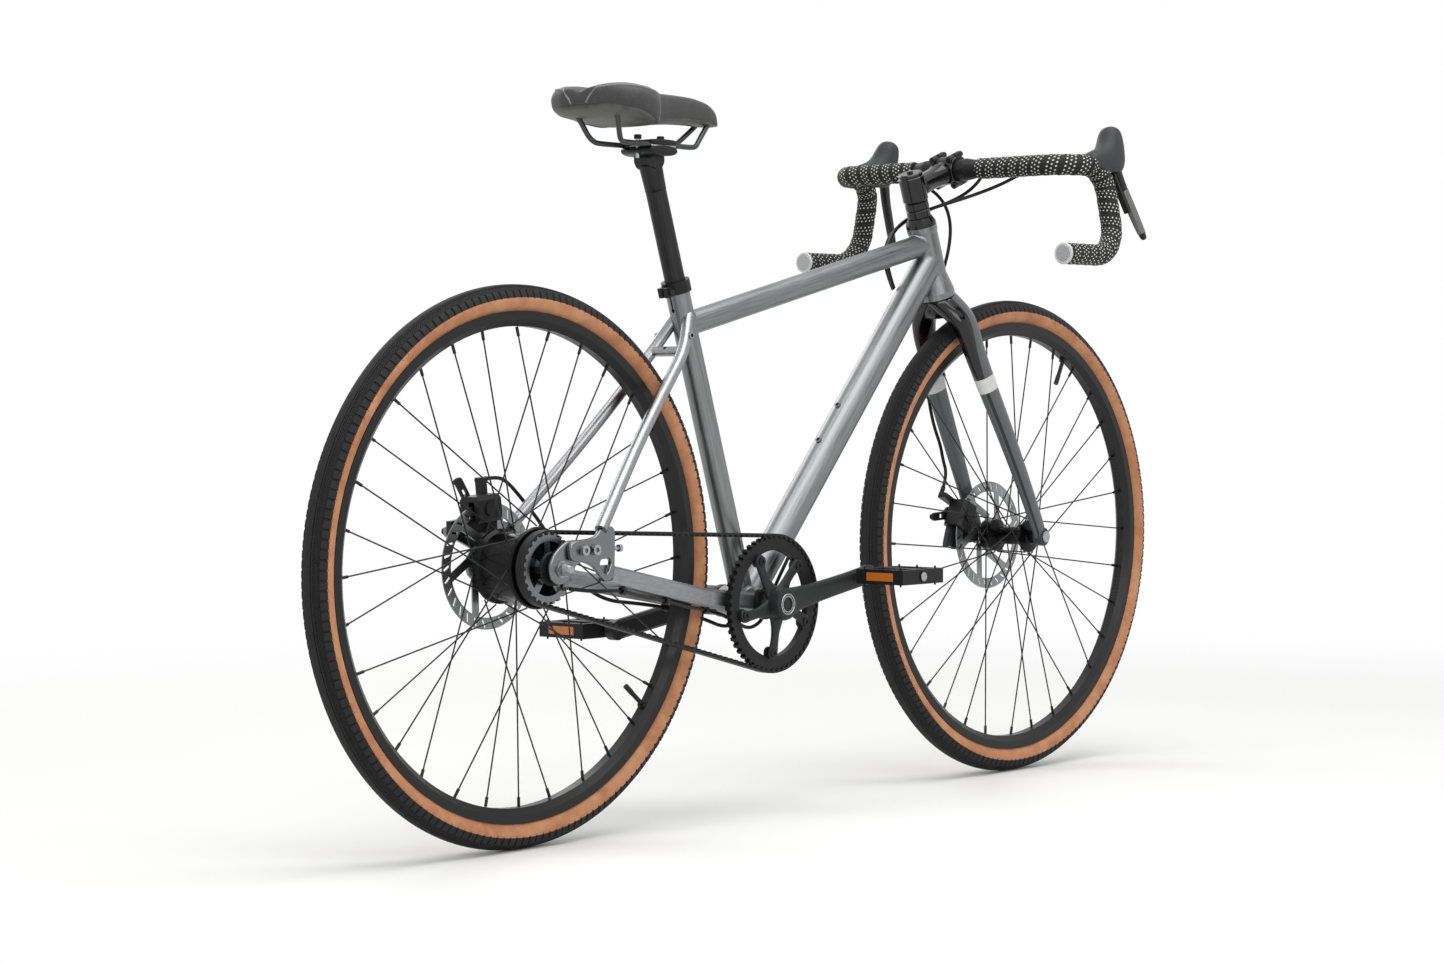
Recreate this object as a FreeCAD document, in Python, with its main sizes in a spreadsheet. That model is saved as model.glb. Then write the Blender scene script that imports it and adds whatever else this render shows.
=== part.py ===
import FreeCAD, Part
import Sketcher
import math
import os
from FreeCAD import Placement, Rotation, Vector

# Gravel bicycle with belt drive. X points forwards, Y to the rider's left, Z up.
# The origin is on the ground, halfway between the two axles.

doc = FreeCAD.newDocument("gravel_bike")
sheet = doc.addObject("Spreadsheet::Sheet", "Sizes")

# Driving dimensions, in millimetres and degrees, one group for each sub-assembly
layout_sizes = dict(
    wheelbase=1048, wheel_radius=350, chainstay_length=438, bb_drop=66, seat_angle=72.2,
    head_angle=70, fork_rake=50, fork_length=392, crank_angle=11, running_gap=0.05, skin_gap=0.15,
    body_gap=0.4, crown_gap=1, bolt_clear=1, overrun=60)
frame_sizes = dict(
    bb_shell_radius=21, bb_shell_width=68, bb_shell_bore=17, bb_cup_radius=22, bb_cup_width=8,
    bb_cup_side_share=0.8, bb_cup_face_share=0.85,
    seat_tube_radius=15.9, seat_tube_length=446, seat_slot_length=34, seat_slot_width=2.6,
    top_tube_radius=15.9, top_tube_wall=1.8, top_tube_seat_joint=388, top_tube_head_joint=80,
    down_tube_radius=21, down_tube_wall=1.8, down_tube_head_joint=54,
    head_tube_length=107, head_tube_top_radius=22, head_tube_waist_radius=21, head_tube_foot_radius=27,
    head_tube_foot_height=34, head_tube_bore=19.4, head_tube_seat_depth=9, head_foot_bore=24.5,
    boss_radius=4.4, boss_height=2.2, boss_bore=2.5, boss_depth=12, boss_low=268, boss_spacing=64,
    collar_height=13, collar_wall=3.2, collar_lug=9, collar_lug_width=7, collar_bolt_radius=2.5,
    collar_bolt_head=4.2, collar_bolt_length=20, collar_top_lip=3)
stay_sizes = dict(
    chainstay_height=25, chainstay_width=14, chainstay_bevel=3.5, chainstay_front_y=28,
    chainstay_bend_y=34.5, chainstay_bend_x=114, chainstay_tail_back=66, chainstay_bend_rise=12,
    chainstay_tail_drop=7,
    seatstay_radius=8, seatstay_tail_back=67, seatstay_tail_rise=46, seatstay_knee_share=0.52,
    seatstay_knee_y=46, seatstay_neck_back=42.6, seatstay_neck_y=28, seatstay_neck_down=23.5,
    seatstay_top_rise=13, seatstay_top_y=10, seatstay_bridge_radius=6.5, bridge_bore=2.5,
    bridge_bore_depth=9, rack_boss_radius=4.5, rack_boss_height=3, rack_bore=2.5)
dropout_sizes = dict(
    hub_half_width=67.5, slider_thickness=7, dropout_thickness=7, slider_gap=0.3,
    dropout_head_back=58, dropout_arm_length=48, dropout_arm_height=24, dropout_rise=22,
    dropout_top=50, dropout_bottom=18, dropout_front=90, dropout_round=6, dropout_edge_round=4.8,
    slider_round=7,
    dropout_slot_length=36, dropout_slot_width=8.6, slider_width=34, slider_axle_slot=10.4,
    slider_bolt_first=31, slider_bolt_pitch=20, slider_length=62,
    dropout_bolt_radius=3.9, dropout_bolt_head=6.6, dropout_bolt_head_height=6, dropout_bolt_hex=3,
    tension_radius=2.5, tension_length=34, tension_head=4.5, tension_head_height=5,
    tension_shank_share=0.7, tension_sunk_share=0.45, tension_proud_share=0.25)
steer_sizes = dict(
    steerer_radius=14.3, steerer_foot_radius=19, steerer_wall=3, steerer_taper_share=0.7, crown_drop=28,
    crown_depth=46,
    crown_half_width=46, crown_top_radius=26, crown_bevel=12, crown_bore=2.5,
    blade_top_depth=44, blade_top_width=24, blade_knee_depth=40, blade_knee_width=20,
    blade_mid_depth=33, blade_mid_width=18, blade_foot_depth=25, blade_foot_width=13.4,
    blade_top_drop=18, blade_knee_drop=84, blade_mid_drop=202, blade_foot_at=6, blade_bevel=5.5,
    blade_top_y=36, blade_knee_y=41.5, blade_mid_y=50, blade_foot_y=57, blade_top_lead=3,
    blade_knee_lead=6, blade_mid_lead=22, blade_foot_lead=48, fork_tip_radius=13.5,
    eyelet_drop=250, eyelet_bore=2.5, eyelet_depth=8,
    bearing_height=7, cover_height=13, cover_top_radius=17.5, spacer_radius=17, spacer_height=12,
    spacer_groove=1.2,
    spacer_count=2, stem_height=37, stem_clamp_radius=18.5, top_cap_height=5, top_cap_radius=17.5,
    cap_bolt_radius=4.5, cap_bolt_height=2.5,
    stem_length=88, stem_neck_depth=31, stem_neck_width=30, stem_bar_radius=20.5, stem_bar_width=42,
    faceplate_gap=1.6, stem_bolt_radius=2.5, stem_bolt_head=4.2, stem_bolt_length=29,
    stem_bolt_head_height=4.5, stem_bolt_rise=14.2, stem_bolt_side=14.5, stem_ear_spread=1.35,
    stem_ear_wall=1.25)
bar_sizes = dict(
    bar_clamp_radius=15.9, bar_neck=22, bar_radius=11.9, bar_wall=2, bar_half_width=209,
    bar_corner_radius=45, bar_ramp=2, bar_front_radius=40, bar_hook_radius=50, bar_drop=130,
    bar_tail=80, bar_flare=10.4, tape_thickness=3.4, tape_start=58, plug_flange=2.5, plug_length=16,
    plug_lip=1.2)
hood_sizes = dict(
    hood_heel_back=58, hood_heel_drop=17, hood_root_at=8, hood_root_rise=1, hood_root_width=33,
    hood_root_depth=35, hood_throat_at=27, hood_throat_rise=6, hood_throat_depth=42, hood_grip_at=55,
    hood_grip_rise=13, hood_grip_depth=48, hood_front_at=77, hood_front_rise=16, hood_nose_at=89,
    hood_nose_rise=20, hood_width=35, hood_horn_at=73, hood_horn_rise=60, hood_horn_width=27,
    hood_horn_depth=34, hood_bevel=9.5, lever_pivot_reach=74, lever_pivot_rise=6, lever_pin_radius=2.6,
    lever_boss_radius=7.5, lever_boss_width=13, lever_reach=49, lever_drop=106,
    lever_top_depth=13, lever_tip_depth=8, lever_bow=10, lever_slot_gap=0.8, lever_slot_radius=13,
    lever_slot_back=21.5, lever_slot_under=5, lever_pin_share=0.8, lever_root_share=0.75,
    lever_heel_share=0.3,
    lever_bend_share=0.5, lever_front_share=0.55, lever_back_share=0.6, paddle_pin_share=0.7,
    ferrule_rise=18.2,
    paddle_length=58, paddle_width=9, paddle_depth=5, paddle_boss=5.5, paddle_back=6,
    ferrule_radius=4, ferrule_length=18, ferrule_gap=1.1)
wheel_sizes = dict(
    tyre_half_width=20, tyre_shoulder_radius=333, tyre_wall_share=0.32, tyre_bulge_share=0.75,
    bead_radius=311.4,
    bead_half_width=11.3, tyre_wall=2.6, tread_depth=5, rim_edge_radius=317, rim_half_width=13.5,
    rim_bed_radius=306, rim_wall=2, rim_nose_radius=298, rim_nose_half=6.5, spoke_radius=1,
    spoke_pairs=8, spoke_seat_radius=297.3, spoke_offset=1.15, spoke_rim_y=1.2, nipple_radius=2,
    nipple_length=12, valve_radius=3.1,
    valve_length=42, valve_cap_radius=3.6, valve_cap_length=14, valve_flange_radius=6,
    rear_valve_angle=-39.375, front_valve_angle=61.875, rear_cross=45, front_cross=67.5)
front_hub_sizes = dict(
    front_hub_half=50, front_axle_radius=6, front_axle_length=129, front_axle_head=8.5,
    front_axle_head_length=3, front_flange_left=24, front_flange_right=34, front_flange_radius=24,
    front_flange_width=4, front_barrel_radius=13, front_cap_radius=10, front_rotor_y=39.5)
rear_hub_sizes = dict(
    rear_axle_radius=5, rear_axle_half=92, axle_nut_radius=8.5, axle_nut_height=9, axle_cap_radius=6,
    axle_cap_height=9, axle_washer_radius=10.2, axle_cap_side=6.3, hub_barrel_radius=43,
    hub_cover_radius=51, hub_flange_radius=47,
    hub_flange_left=30, hub_flange_right=34, hub_flange_width=4, hub_cover_width=6, hub_neck_radius=31,
    rear_rotor_y=52.2, hub_end=66, rotor_seat=17.75, rotor_shoulder=20)
rotor_sizes = dict(
    rotor_radius=80, rotor_thickness=1.8, rotor_track=15, rotor_hub_radius=24, rotor_arm_width=11,
    rotor_slot_count=30, rotor_slot_length=11, rotor_slot_width=3, lockring_radius=20,
    lockring_height=3.5, lockring_side=2.45, lockring_face=18, rotor_arms=6, rotor_lean=32,
    rotor_arm_share=1.3)
drive_sizes = dict(
    belt_pitch=11, ring_teeth=52, sprocket_teeth=26, belt_plane=48.5, belt_width=12, belt_back=2.6,
    belt_tooth_depth=3, belt_tooth_base=5.6, belt_tooth_tip=4.2, belt_pitch_inset=0.6, tooth_gap=0.25,
    ring_width=9, ring_inner_radius=71, ring_bolt_circle=66, ring_tab_radius=8.5, ring_bolt_radius=4,
    ring_bolt_head=6.2, ring_bolt_socket=2.4, ring_bolt_head_height=1.6, sprocket_width=9,
    sprocket_inner_radius=34,
    sprocket_boss_radius=19, sprocket_arm_width=10, sprocket_arms=5,
    crank_length=170, crank_boss_radius=20, crank_boss_face=78, crank_plane=68.5, spider_thickness=6,
    spider_arm_width=15, spider_arm_root=24, crank_root_width=33, crank_end_width=26, crank_depth=13,
    crank_bevel=3.5, crank_end_plane=81.5, spindle_radius=12, spindle_bore=9.5,
    left_crank_plane=62, crank_waist_at=0.55, crank_waist_out=0.4, crank_waist_share=1.02,
    pedal_axle_radius=4.8, pedal_axle_length=93, pedal_start=97, pedal_width=79, pedal_length=90,
    pedal_height=20, pedal_rail=13, pedal_end=9, pedal_barrel_radius=10.5, pedal_cap_radius=7.5,
    pedal_cap_height=1.4, pin_radius=1.4, pin_height=3, reflector_width=46, reflector_height=12,
    reflector_depth=3, pulley_radius=21, pulley_width=8, pulley_near=56.5, pulley_arm=12,
    pulley_arm_width=8)
brake_sizes = dict(
    pad_radius=69, rear_caliper_angle=96, front_caliper_angle=155, caliper_length=40, caliper_inner=14,
    caliper_outer=20, caliper_half_width=20, caliper_inboard=13, caliper_slot=5.2, caliper_bridge=7,
    caliper_round=5,
    caliper_foot_span=74, front_foot_span=30, front_foot_shift=-24, caliper_foot_radius=7,
    caliper_foot_height=9, foot_bolt_radius=2.8,
    foot_bolt_head=4.6, foot_bolt_length=12, foot_bolt_head_height=5, knob_radius=9, knob_height=2,
    arm_pin_radius=5, arm_pin_head=7, arm_pin_head_height=2.5, arm_rise=6,
    pad_thickness=3.6, pad_length=18, pad_height=14, pad_clearance=0.35, arm_thickness=4,
    arm_boss_radius=12, arm_length=36, arm_tip_radius=6, arm_lean=28, arm_bar_radius=4, arm_gap=0.5,
    stop_radius=3.4, stop_length=16, stop_post=8, stop_rise=36, stop_start=14, stop_lead=20, stop_seat=5.1,
    arm_window_at=0.58)
seat_sizes = dict(
    post_radius=13.6, post_wall=2.4, post_length=335, post_head_at=601, post_barrel_rise=10.5,
    post_barrel_radius=13, post_head_width=30, rail_rise=17.8, rail_radius=3.5, rail_half_gap=22,
    rail_clear=0.2,
    cradle_length=62, cradle_height=12, cradle_width=56, clamp_plate_height=6, clamp_plate_length=60,
    clamp_bolt_radius=3, clamp_bolt_head=5, clamp_bolt_length=30, clamp_bolt_spread=24,
    clamp_bolt_head_height=5, saddle_length=268, saddle_half_width=75,
    saddle_height=46, saddle_base_rise=20, saddle_setback=130,
    saddle_channel_depth=7, cover_channel_share=0.16, cover_foot_share=0.84, cover_shoulder_share=0.8,
    cover_lip_share=0.35, cover_side_share=0.45, cover_rise_share=0.84, cover_crown_share=0.48,
    saddle_base_height=6, rail_end_drop=0.3, rail_tail=18, rail_tail_half=34,
    rail_nose=26, rail_nose_half=9, rail_back=72, rail_front=62, rail_bend=20)
line_sizes = dict(line_radius=2.5, clip_width=8, clip_wall=2.4, clip_gap=1.1, line_clear=0.6)

size_groups = (layout_sizes, frame_sizes, stay_sizes, dropout_sizes, steer_sizes, bar_sizes, hood_sizes,
               wheel_sizes, front_hub_sizes, rear_hub_sizes, rotor_sizes, drive_sizes, brake_sizes,
               seat_sizes, line_sizes)
row = 0
for sizes in size_groups:
    for alias, number in sizes.items():
        row += 1
        sheet.set(f"A{row}", alias)
        sheet.set(f"B{row}", str(number))
        sheet.setAlias(f"B{row}", alias)
doc.recompute()


class Size(float):
    """A number that remembers the sheet formula it comes from."""

    def __new__(cls, number, formula):
        size = super().__new__(cls, number)
        size.formula = formula
        return size

    def __add__(self, other):
        return Size(float(self) + float(other), f"({self.formula} + {formula_of(other)})")

    def __radd__(self, other):
        return Size(float(other) + float(self), f"({formula_of(other)} + {self.formula})")

    def __sub__(self, other):
        return Size(float(self) - float(other), f"({self.formula} - {formula_of(other)})")

    def __rsub__(self, other):
        return Size(float(other) - float(self), f"({formula_of(other)} - {self.formula})")

    def __mul__(self, other):
        return Size(float(self) * float(other), f"({self.formula} * {formula_of(other)})")

    __rmul__ = __mul__

    def __truediv__(self, other):
        return Size(float(self) / float(other), f"({self.formula} / {formula_of(other)})")

    def __neg__(self):
        return Size(-float(self), f"(-{self.formula})")


def formula_of(number):
    return number.formula if isinstance(number, Size) else repr(float(number))


class SheetSizes:
    """Reads a named size from the sheet, such as S.wheelbase."""

    def __getattr__(self, alias):
        return Size(float(sheet.get(alias)), "Sizes." + alias)


S = SheetSizes()
pieces = {}

X_AXIS, Y_AXIS, Z_AXIS = Vector(1, 0, 0), Vector(0, 1, 0), Vector(0, 0, 1)


def bind(obj, prop, value):
    setattr(obj, prop, float(value))
    if isinstance(value, Size):
        obj.setExpression(prop, value.formula)


def along(origin, axis, forward):
    """Placement whose local Y runs along axis and whose local X runs along forward."""
    side = forward.cross(axis)
    return Placement(origin, Rotation(forward, axis, side, "YXZ"))


def facing(origin, normal, right):
    """Placement whose local Z is the normal and whose local X runs along right."""
    return Placement(origin, Rotation(right, normal.cross(right), normal, "ZXY"))


def piece(label, obj):
    obj.Label = label
    pieces[label] = obj
    return obj


def cylinder(name, radius, length, origin, axis):
    obj = doc.addObject("Part::Cylinder", name)
    bind(obj, "Radius", radius)
    bind(obj, "Height", length)
    obj.Placement = Placement(origin, Rotation(Z_AXIS, axis))
    return obj


def cone(name, first, second, length, origin, axis):
    obj = doc.addObject("Part::Cone", name)
    bind(obj, "Radius1", first)
    bind(obj, "Radius2", second)
    bind(obj, "Height", length)
    obj.Placement = Placement(origin, Rotation(Z_AXIS, axis))
    return obj


def block(name, length, width, height, frame):
    """Box centred on the frame's origin."""
    obj = doc.addObject("Part::Box", name)
    bind(obj, "Length", length)
    bind(obj, "Width", width)
    bind(obj, "Height", height)
    corner = Vector(-float(length) / 2, -float(width) / 2, -float(height) / 2)
    obj.Placement = frame.multiply(Placement(corner, Rotation()))
    return obj


def fuse(name, *objs):
    obj = doc.addObject("Part::MultiFuse", name)
    obj.Shapes = list(objs)
    obj.Refine = True
    return obj


def group(name, *objs):
    obj = doc.addObject("Part::Compound", name)
    obj.Links = list(objs)
    return obj


def cut(name, base, *tools):
    obj = doc.addObject("Part::Cut", name)
    obj.Base = base
    obj.Tool = tools[0] if len(tools) == 1 else fuse(name + "_tools", *tools)
    return obj


def mirrored(name, source):
    """The same piece on the other side of the bicycle's centre plane."""
    obj = doc.addObject("Part::Mirroring", name)
    obj.Source = source
    obj.Normal = Y_AXIS
    return obj


def shaped(name, shape):
    obj = doc.addObject("Part::Feature", name)
    obj.Shape = shape
    return obj


def outline_sketch(body, outline):
    """Closed sketch through the points; a point with four numbers ends an arc through its last two."""
    sketch = body.newObject("Sketcher::SketchObject", body.Name + "_outline")
    plane = next(f for f in body.Origin.OriginFeatures if f.Role == "XY_Plane")
    sketch.AttachmentSupport = [(plane, "")]
    sketch.MapMode = "FlatFace"
    count = len(outline)
    ends = [Vector(float(p[0]), float(p[1]), 0) for p in outline]
    for i in range(count):
        follower = outline[(i + 1) % count]
        if len(follower) == 4:
            middle = Vector(float(follower[2]), float(follower[3]), 0)
            sketch.addGeometry(Part.Arc(ends[i], middle, ends[(i + 1) % count]))
        else:
            sketch.addGeometry(Part.LineSegment(ends[i], ends[(i + 1) % count]))
    first = [1 if (sketch.getPoint(i, 1) - ends[i]).Length < 1e-6 else 2 for i in range(count)]
    for i in range(count):
        j = (i + 1) % count
        sketch.addConstraint(Sketcher.Constraint("Coincident", i, 3 - first[i], j, first[j]))
    for i, point in enumerate(outline):
        for kind, value, axis in (("DistanceX", point[0], -2), ("DistanceY", point[1], -1)):
            if abs(float(value)) < 1e-9:
                sketch.addConstraint(Sketcher.Constraint("PointOnObject", i, first[i], axis))
                continue
            number = sketch.addConstraint(Sketcher.Constraint(kind, -1, 1, i, first[i], float(value)))
            if isinstance(value, Size):
                sketch.setExpression(f"Constraints[{number}]", value.formula)
    return sketch


def turned(name, outline, frame):
    """Body of revolution about the frame's local Y; the outline is in (radius, distance along the axis)."""
    body = doc.addObject("PartDesign::Body", name)
    sketch = outline_sketch(body, outline)
    turn = body.newObject("PartDesign::Revolution", name + "_turn")
    turn.Profile = sketch
    turn.ReferenceAxis = (sketch, ["V_Axis"])
    turn.Angle = 360
    body.Placement = frame
    return body


def plate(name, outline, thickness, frame, corner=None):
    """Padded outline, with the edges along the pad rounded by the corner radius."""
    body = doc.addObject("PartDesign::Body", name)
    sketch = outline_sketch(body, outline)
    pad = body.newObject("PartDesign::Pad", name + "_pad")
    pad.Profile = sketch
    bind(pad, "Length", thickness)
    if corner is not None:
        doc.recompute()
        upright = [f"Edge{i + 1}" for i, edge in enumerate(pad.Shape.Edges)
                   if len(edge.Vertexes) == 2 and abs(edge.tangentAt(edge.FirstParameter).z) > 0.999]
        fillet = body.newObject("PartDesign::Fillet", name + "_corners")
        fillet.Base = (pad, upright)
        bind(fillet, "Radius", corner)
    body.Placement = frame
    return body


def unit(vector):
    return Vector(vector).normalize()


def rounded_path(points, radii=None):
    """Straight runs joined by tangent arcs; where no radius is given each is as large as its runs allow."""
    largest_share = 0.45
    edges = []
    start = points[0]
    for i in range(1, len(points) - 1):
        before, after = points[i] - points[i - 1], points[i + 1] - points[i]
        turn = unit(before).getAngle(unit(after))
        if radii is None:
            reach = largest_share * min(before.Length, after.Length)
        else:
            reach = float(radii[i - 1]) * math.tan(turn / 2)
        radius = reach / math.tan(turn / 2)
        enter, leave = points[i] - unit(before) * reach, points[i] + unit(after) * reach
        inward = unit(unit(after) - unit(before))
        middle = points[i] + inward * (radius / math.cos(turn / 2) - radius)
        edges.append(Part.LineSegment(start, enter).toShape())
        edges.append(Part.Arc(enter, middle, leave).toShape())
        start = leave
    edges.append(Part.LineSegment(start, points[-1]).toShape())
    return Part.Wire(edges)


def swept(path, radius):
    """Round bar along a path; its volume is compared with its section times its length."""
    start = path.Edges[0].valueAt(path.Edges[0].FirstParameter)
    heading = path.Edges[0].tangentAt(path.Edges[0].FirstParameter)
    ring = Part.Wire([Part.Circle(start, heading, float(radius)).toShape()])
    bar = path.makePipeShell([ring], True, True)
    expected = math.pi * float(radius) ** 2 * path.Length
    if abs(bar.Volume / expected - 1) > 0.01:
        raise ValueError(f"swept bar has volume {bar.Volume:.0f}, not {expected:.0f}")
    return bar


def section(centre, across, up, width, height, bevel):
    """Closed eight-sided outline, a rectangle with its corners cut off."""
    half_w, half_h, b = float(width) / 2, float(height) / 2, float(bevel)
    corners = [(half_w, half_h - b), (half_w - b, half_h), (b - half_w, half_h), (-half_w, half_h - b),
               (-half_w, b - half_h), (b - half_w, -half_h), (half_w - b, -half_h), (half_w, b - half_h)]
    points = [centre + across * u + up * v for u, v in corners]
    return Part.makePolygon(points + points[:1])


# Main points of the layout
seat_turn, head_turn = math.radians(S.seat_angle), math.radians(S.head_angle)
rear_axle_point = Vector(-S.wheelbase / 2, 0, S.wheel_radius)
front_axle_point = Vector(S.wheelbase / 2, 0, S.wheel_radius)
bb_point = rear_axle_point + Vector(math.sqrt(S.chainstay_length ** 2 - S.bb_drop ** 2), 0, -S.bb_drop)
seat_up = Vector(-math.cos(seat_turn), 0, math.sin(seat_turn))
seat_ahead = Vector(math.sin(seat_turn), 0, math.cos(seat_turn))
steer_up = Vector(-math.cos(head_turn), 0, math.sin(head_turn))
steer_ahead = Vector(math.sin(head_turn), 0, math.cos(head_turn))
steer_foot = front_axle_point - steer_ahead * S.fork_rake


def on_steerer(height, lead=0, side=0):
    """Point by its height along the steering axis above the axle's foot, its lead and its side."""
    return steer_foot + steer_up * float(height) + steer_ahead * float(lead) + Y_AXIS * float(side)


def on_seat_axis(height, lead=0, side=0):
    return bb_point + seat_up * float(height) + seat_ahead * float(lead) + Y_AXIS * float(side)


def from_axle(axle, forward, up, side):
    return axle + Vector(float(forward), float(side), float(up))


upright_plate = Rotation(X_AXIS, Z_AXIS, -Y_AXIS, "ZXY")
head_low = S.fork_length + S.crown_gap
head_high = head_low + S.head_tube_length


# Frame tubes
def bar_between(name, radius, first, second):
    return cylinder(name, radius, (second - first).Length, first, unit(second - first))


steer_frame = along(on_steerer(head_low), steer_up, steer_ahead)
piece("head_tube", turned("head_tube", [
    (S.head_tube_bore, S.head_tube_seat_depth), (S.head_foot_bore, S.head_tube_seat_depth),
    (S.head_foot_bore, 0), (S.head_tube_foot_radius, 0),
    (S.head_tube_foot_radius, S.head_tube_foot_height / 4),
    (S.head_tube_waist_radius, S.head_tube_foot_height),
    (S.head_tube_waist_radius, S.head_tube_length - S.head_tube_foot_height / 3),
    (S.head_tube_top_radius, S.head_tube_length - S.head_tube_foot_height / 5),
    (S.head_tube_top_radius, S.head_tube_length), (S.head_tube_bore, S.head_tube_length)], steer_frame))
head_outside = turned("head_outside", [
    (0, -S.overrun), (S.head_tube_foot_radius, -S.overrun),
    (S.head_tube_foot_radius, S.head_tube_foot_height / 4),
    (S.head_tube_waist_radius, S.head_tube_foot_height),
    (S.head_tube_waist_radius, S.head_tube_length - S.head_tube_foot_height / 3),
    (S.head_tube_top_radius, S.head_tube_length - S.head_tube_foot_height / 5),
    (S.head_tube_top_radius, S.head_tube_length + S.overrun), (0, S.head_tube_length + S.overrun)],
    steer_frame)

seat_top_joint = on_seat_axis(S.top_tube_seat_joint)
head_top_joint = on_steerer(head_low + S.top_tube_head_joint)
head_down_joint = on_steerer(head_low + S.down_tube_head_joint)
seat_outside = bar_between("seat_outside", S.seat_tube_radius, bb_point, on_seat_axis(S.seat_tube_length))
top_outside = bar_between("top_outside", S.top_tube_radius, seat_top_joint, head_top_joint)
top_inside = bar_between("top_inside", S.top_tube_radius - S.top_tube_wall, seat_top_joint, head_top_joint)
bb_outside = cylinder("bb_outside", S.bb_shell_radius, S.bb_shell_width,
                      bb_point - Y_AXIS * (S.bb_shell_width / 2), Y_AXIS)
bb_inside = cylinder("bb_inside", S.bb_shell_bore, S.bb_shell_width,
                     bb_point - Y_AXIS * (S.bb_shell_width / 2), Y_AXIS)
down_outside = bar_between("down_outside", S.down_tube_radius, bb_point, head_down_joint)
down_inside = bar_between("down_inside", S.down_tube_radius - S.down_tube_wall, bb_point, head_down_joint)
down_along = unit(head_down_joint - bb_point)
down_above = Vector(-down_along.z, 0, down_along.x)

piece("bottom_bracket_shell", cut("bottom_bracket_shell", bb_outside, bb_inside))
seat_bore = cylinder("seat_bore", S.post_radius + S.running_gap, S.seat_tube_length, bb_point, seat_up)
slot_start = S.seat_tube_length - S.seat_slot_length
seat_slot = block("seat_slot", S.seat_tube_radius * 2, S.seat_slot_width, S.seat_slot_length * 2, facing(
    on_seat_axis(S.seat_tube_length, -S.seat_tube_radius), seat_up, seat_ahead))
slot_end = cylinder("slot_end", S.seat_slot_width, S.seat_tube_radius * 2,
                    on_seat_axis(slot_start, -S.seat_tube_radius * 2), seat_ahead)
piece("seat_tube", cut("seat_tube", seat_outside, seat_bore, bb_outside, seat_slot, slot_end))
piece("top_tube", cut("top_tube", cut("top_hollow", top_outside, top_inside), seat_outside, head_outside))

bosses, boss_bores = [], []
for number in range(2):
    foot = bb_point + down_along * (S.boss_low + S.boss_spacing * number)
    seat = foot + down_above * (S.down_tube_radius + S.boss_height)
    bosses.append(cylinder(f"boss_{number}", S.boss_radius, S.boss_depth, seat, -down_above))
    boss_bores.append(cylinder(f"boss_bore_{number}", S.boss_bore, S.boss_depth, seat, -down_above))
down_hollow = cut("down_hollow", down_outside, down_inside)
piece("down_tube", cut("down_tube", fuse("down_bossed", down_hollow, *bosses), *boss_bores,
                       bb_outside, seat_outside, top_outside, head_outside))

# Seat collar with its lugs and pinch bolt
collar_foot = on_seat_axis(S.seat_tube_length - S.collar_height)
collar_out = S.seat_tube_radius + S.collar_wall
collar_ring = cylinder("collar_ring", collar_out, S.collar_height + S.collar_top_lip, collar_foot, seat_up)
collar_lug = block("collar_lugs", S.collar_lug * 2, S.collar_lug_width * 2 + S.seat_slot_width,
                   S.collar_height,
                   facing(on_seat_axis(S.seat_tube_length - S.collar_height / 2, -collar_out), seat_up,
                          seat_ahead))
collar_bore = cylinder("collar_bore", S.seat_tube_radius + S.skin_gap, S.collar_height, collar_foot,
                       seat_up)
collar_lip_bore = cylinder("collar_lip_bore", S.post_radius + S.body_gap, S.overrun, collar_foot, seat_up)
collar_slit = block("collar_slit", S.collar_lug * 4, S.seat_slot_width, S.collar_height * 4, facing(
    on_seat_axis(S.seat_tube_length, -collar_out - S.collar_lug), seat_up, seat_ahead))
bolt_centre = on_seat_axis(S.seat_tube_length - S.collar_height / 2, -collar_out - S.collar_lug / 3)
bolt_start = bolt_centre - Y_AXIS * (S.collar_bolt_length / 2)
collar_hole = cylinder("collar_hole", S.collar_bolt_radius + S.skin_gap, S.collar_bolt_length, bolt_start,
                       Y_AXIS)
collar_head_start = bolt_centre - Y_AXIS * (S.collar_lug_width + S.seat_slot_width / 2 + S.skin_gap)
collar_bolt = fuse("collar_bolt",
                   cylinder("collar_shank", S.collar_bolt_radius, S.collar_bolt_length, bolt_start, Y_AXIS),
                   cylinder("collar_bolt_head", S.collar_bolt_head, S.collar_bolt_head, collar_head_start,
                            -Y_AXIS))
piece("seat_collar", group("seat_collar", cut("collar", fuse("collar_solid", collar_ring, collar_lug),
                                              collar_bore, collar_lip_bore, collar_slit, collar_hole),
                                              collar_bolt))

# Bearings: two in the head tube and the two screwed bottom bracket cups
bearing_rings = []
for name, height, inner, outer in (
        ("lower_bearing", head_low, S.steerer_foot_radius, S.head_foot_bore),
        ("upper_bearing", head_high - S.bearing_height, S.steerer_radius, S.head_tube_bore)):
    bearing_rings.append(turned(name, [
        (inner + S.running_gap, 0), (outer - S.skin_gap, 0), (outer - S.skin_gap, S.bearing_height),
        (inner + S.running_gap, S.bearing_height)], along(on_steerer(height), steer_up, steer_ahead)))
for name, side in (("right_cup", -1), ("left_cup", 1)):
    frame = along(bb_point + Y_AXIS * (side * S.bb_shell_width / 2), Y_AXIS * side, X_AXIS)
    bearing_rings.append(turned(name, [
        (S.spindle_radius + S.running_gap, -S.bb_cup_width * 2),
        (S.bb_shell_bore - S.skin_gap, -S.bb_cup_width * 2),
        (S.bb_shell_bore - S.skin_gap, 0), (S.bb_cup_radius, 0),
        (S.bb_cup_radius, S.bb_cup_width * S.bb_cup_side_share),
        (S.bb_cup_radius * S.bb_cup_face_share, S.bb_cup_width),
        (S.spindle_radius + S.running_gap, S.bb_cup_width)], frame))
piece("bearings", group("bearings", *bearing_rings))

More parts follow.
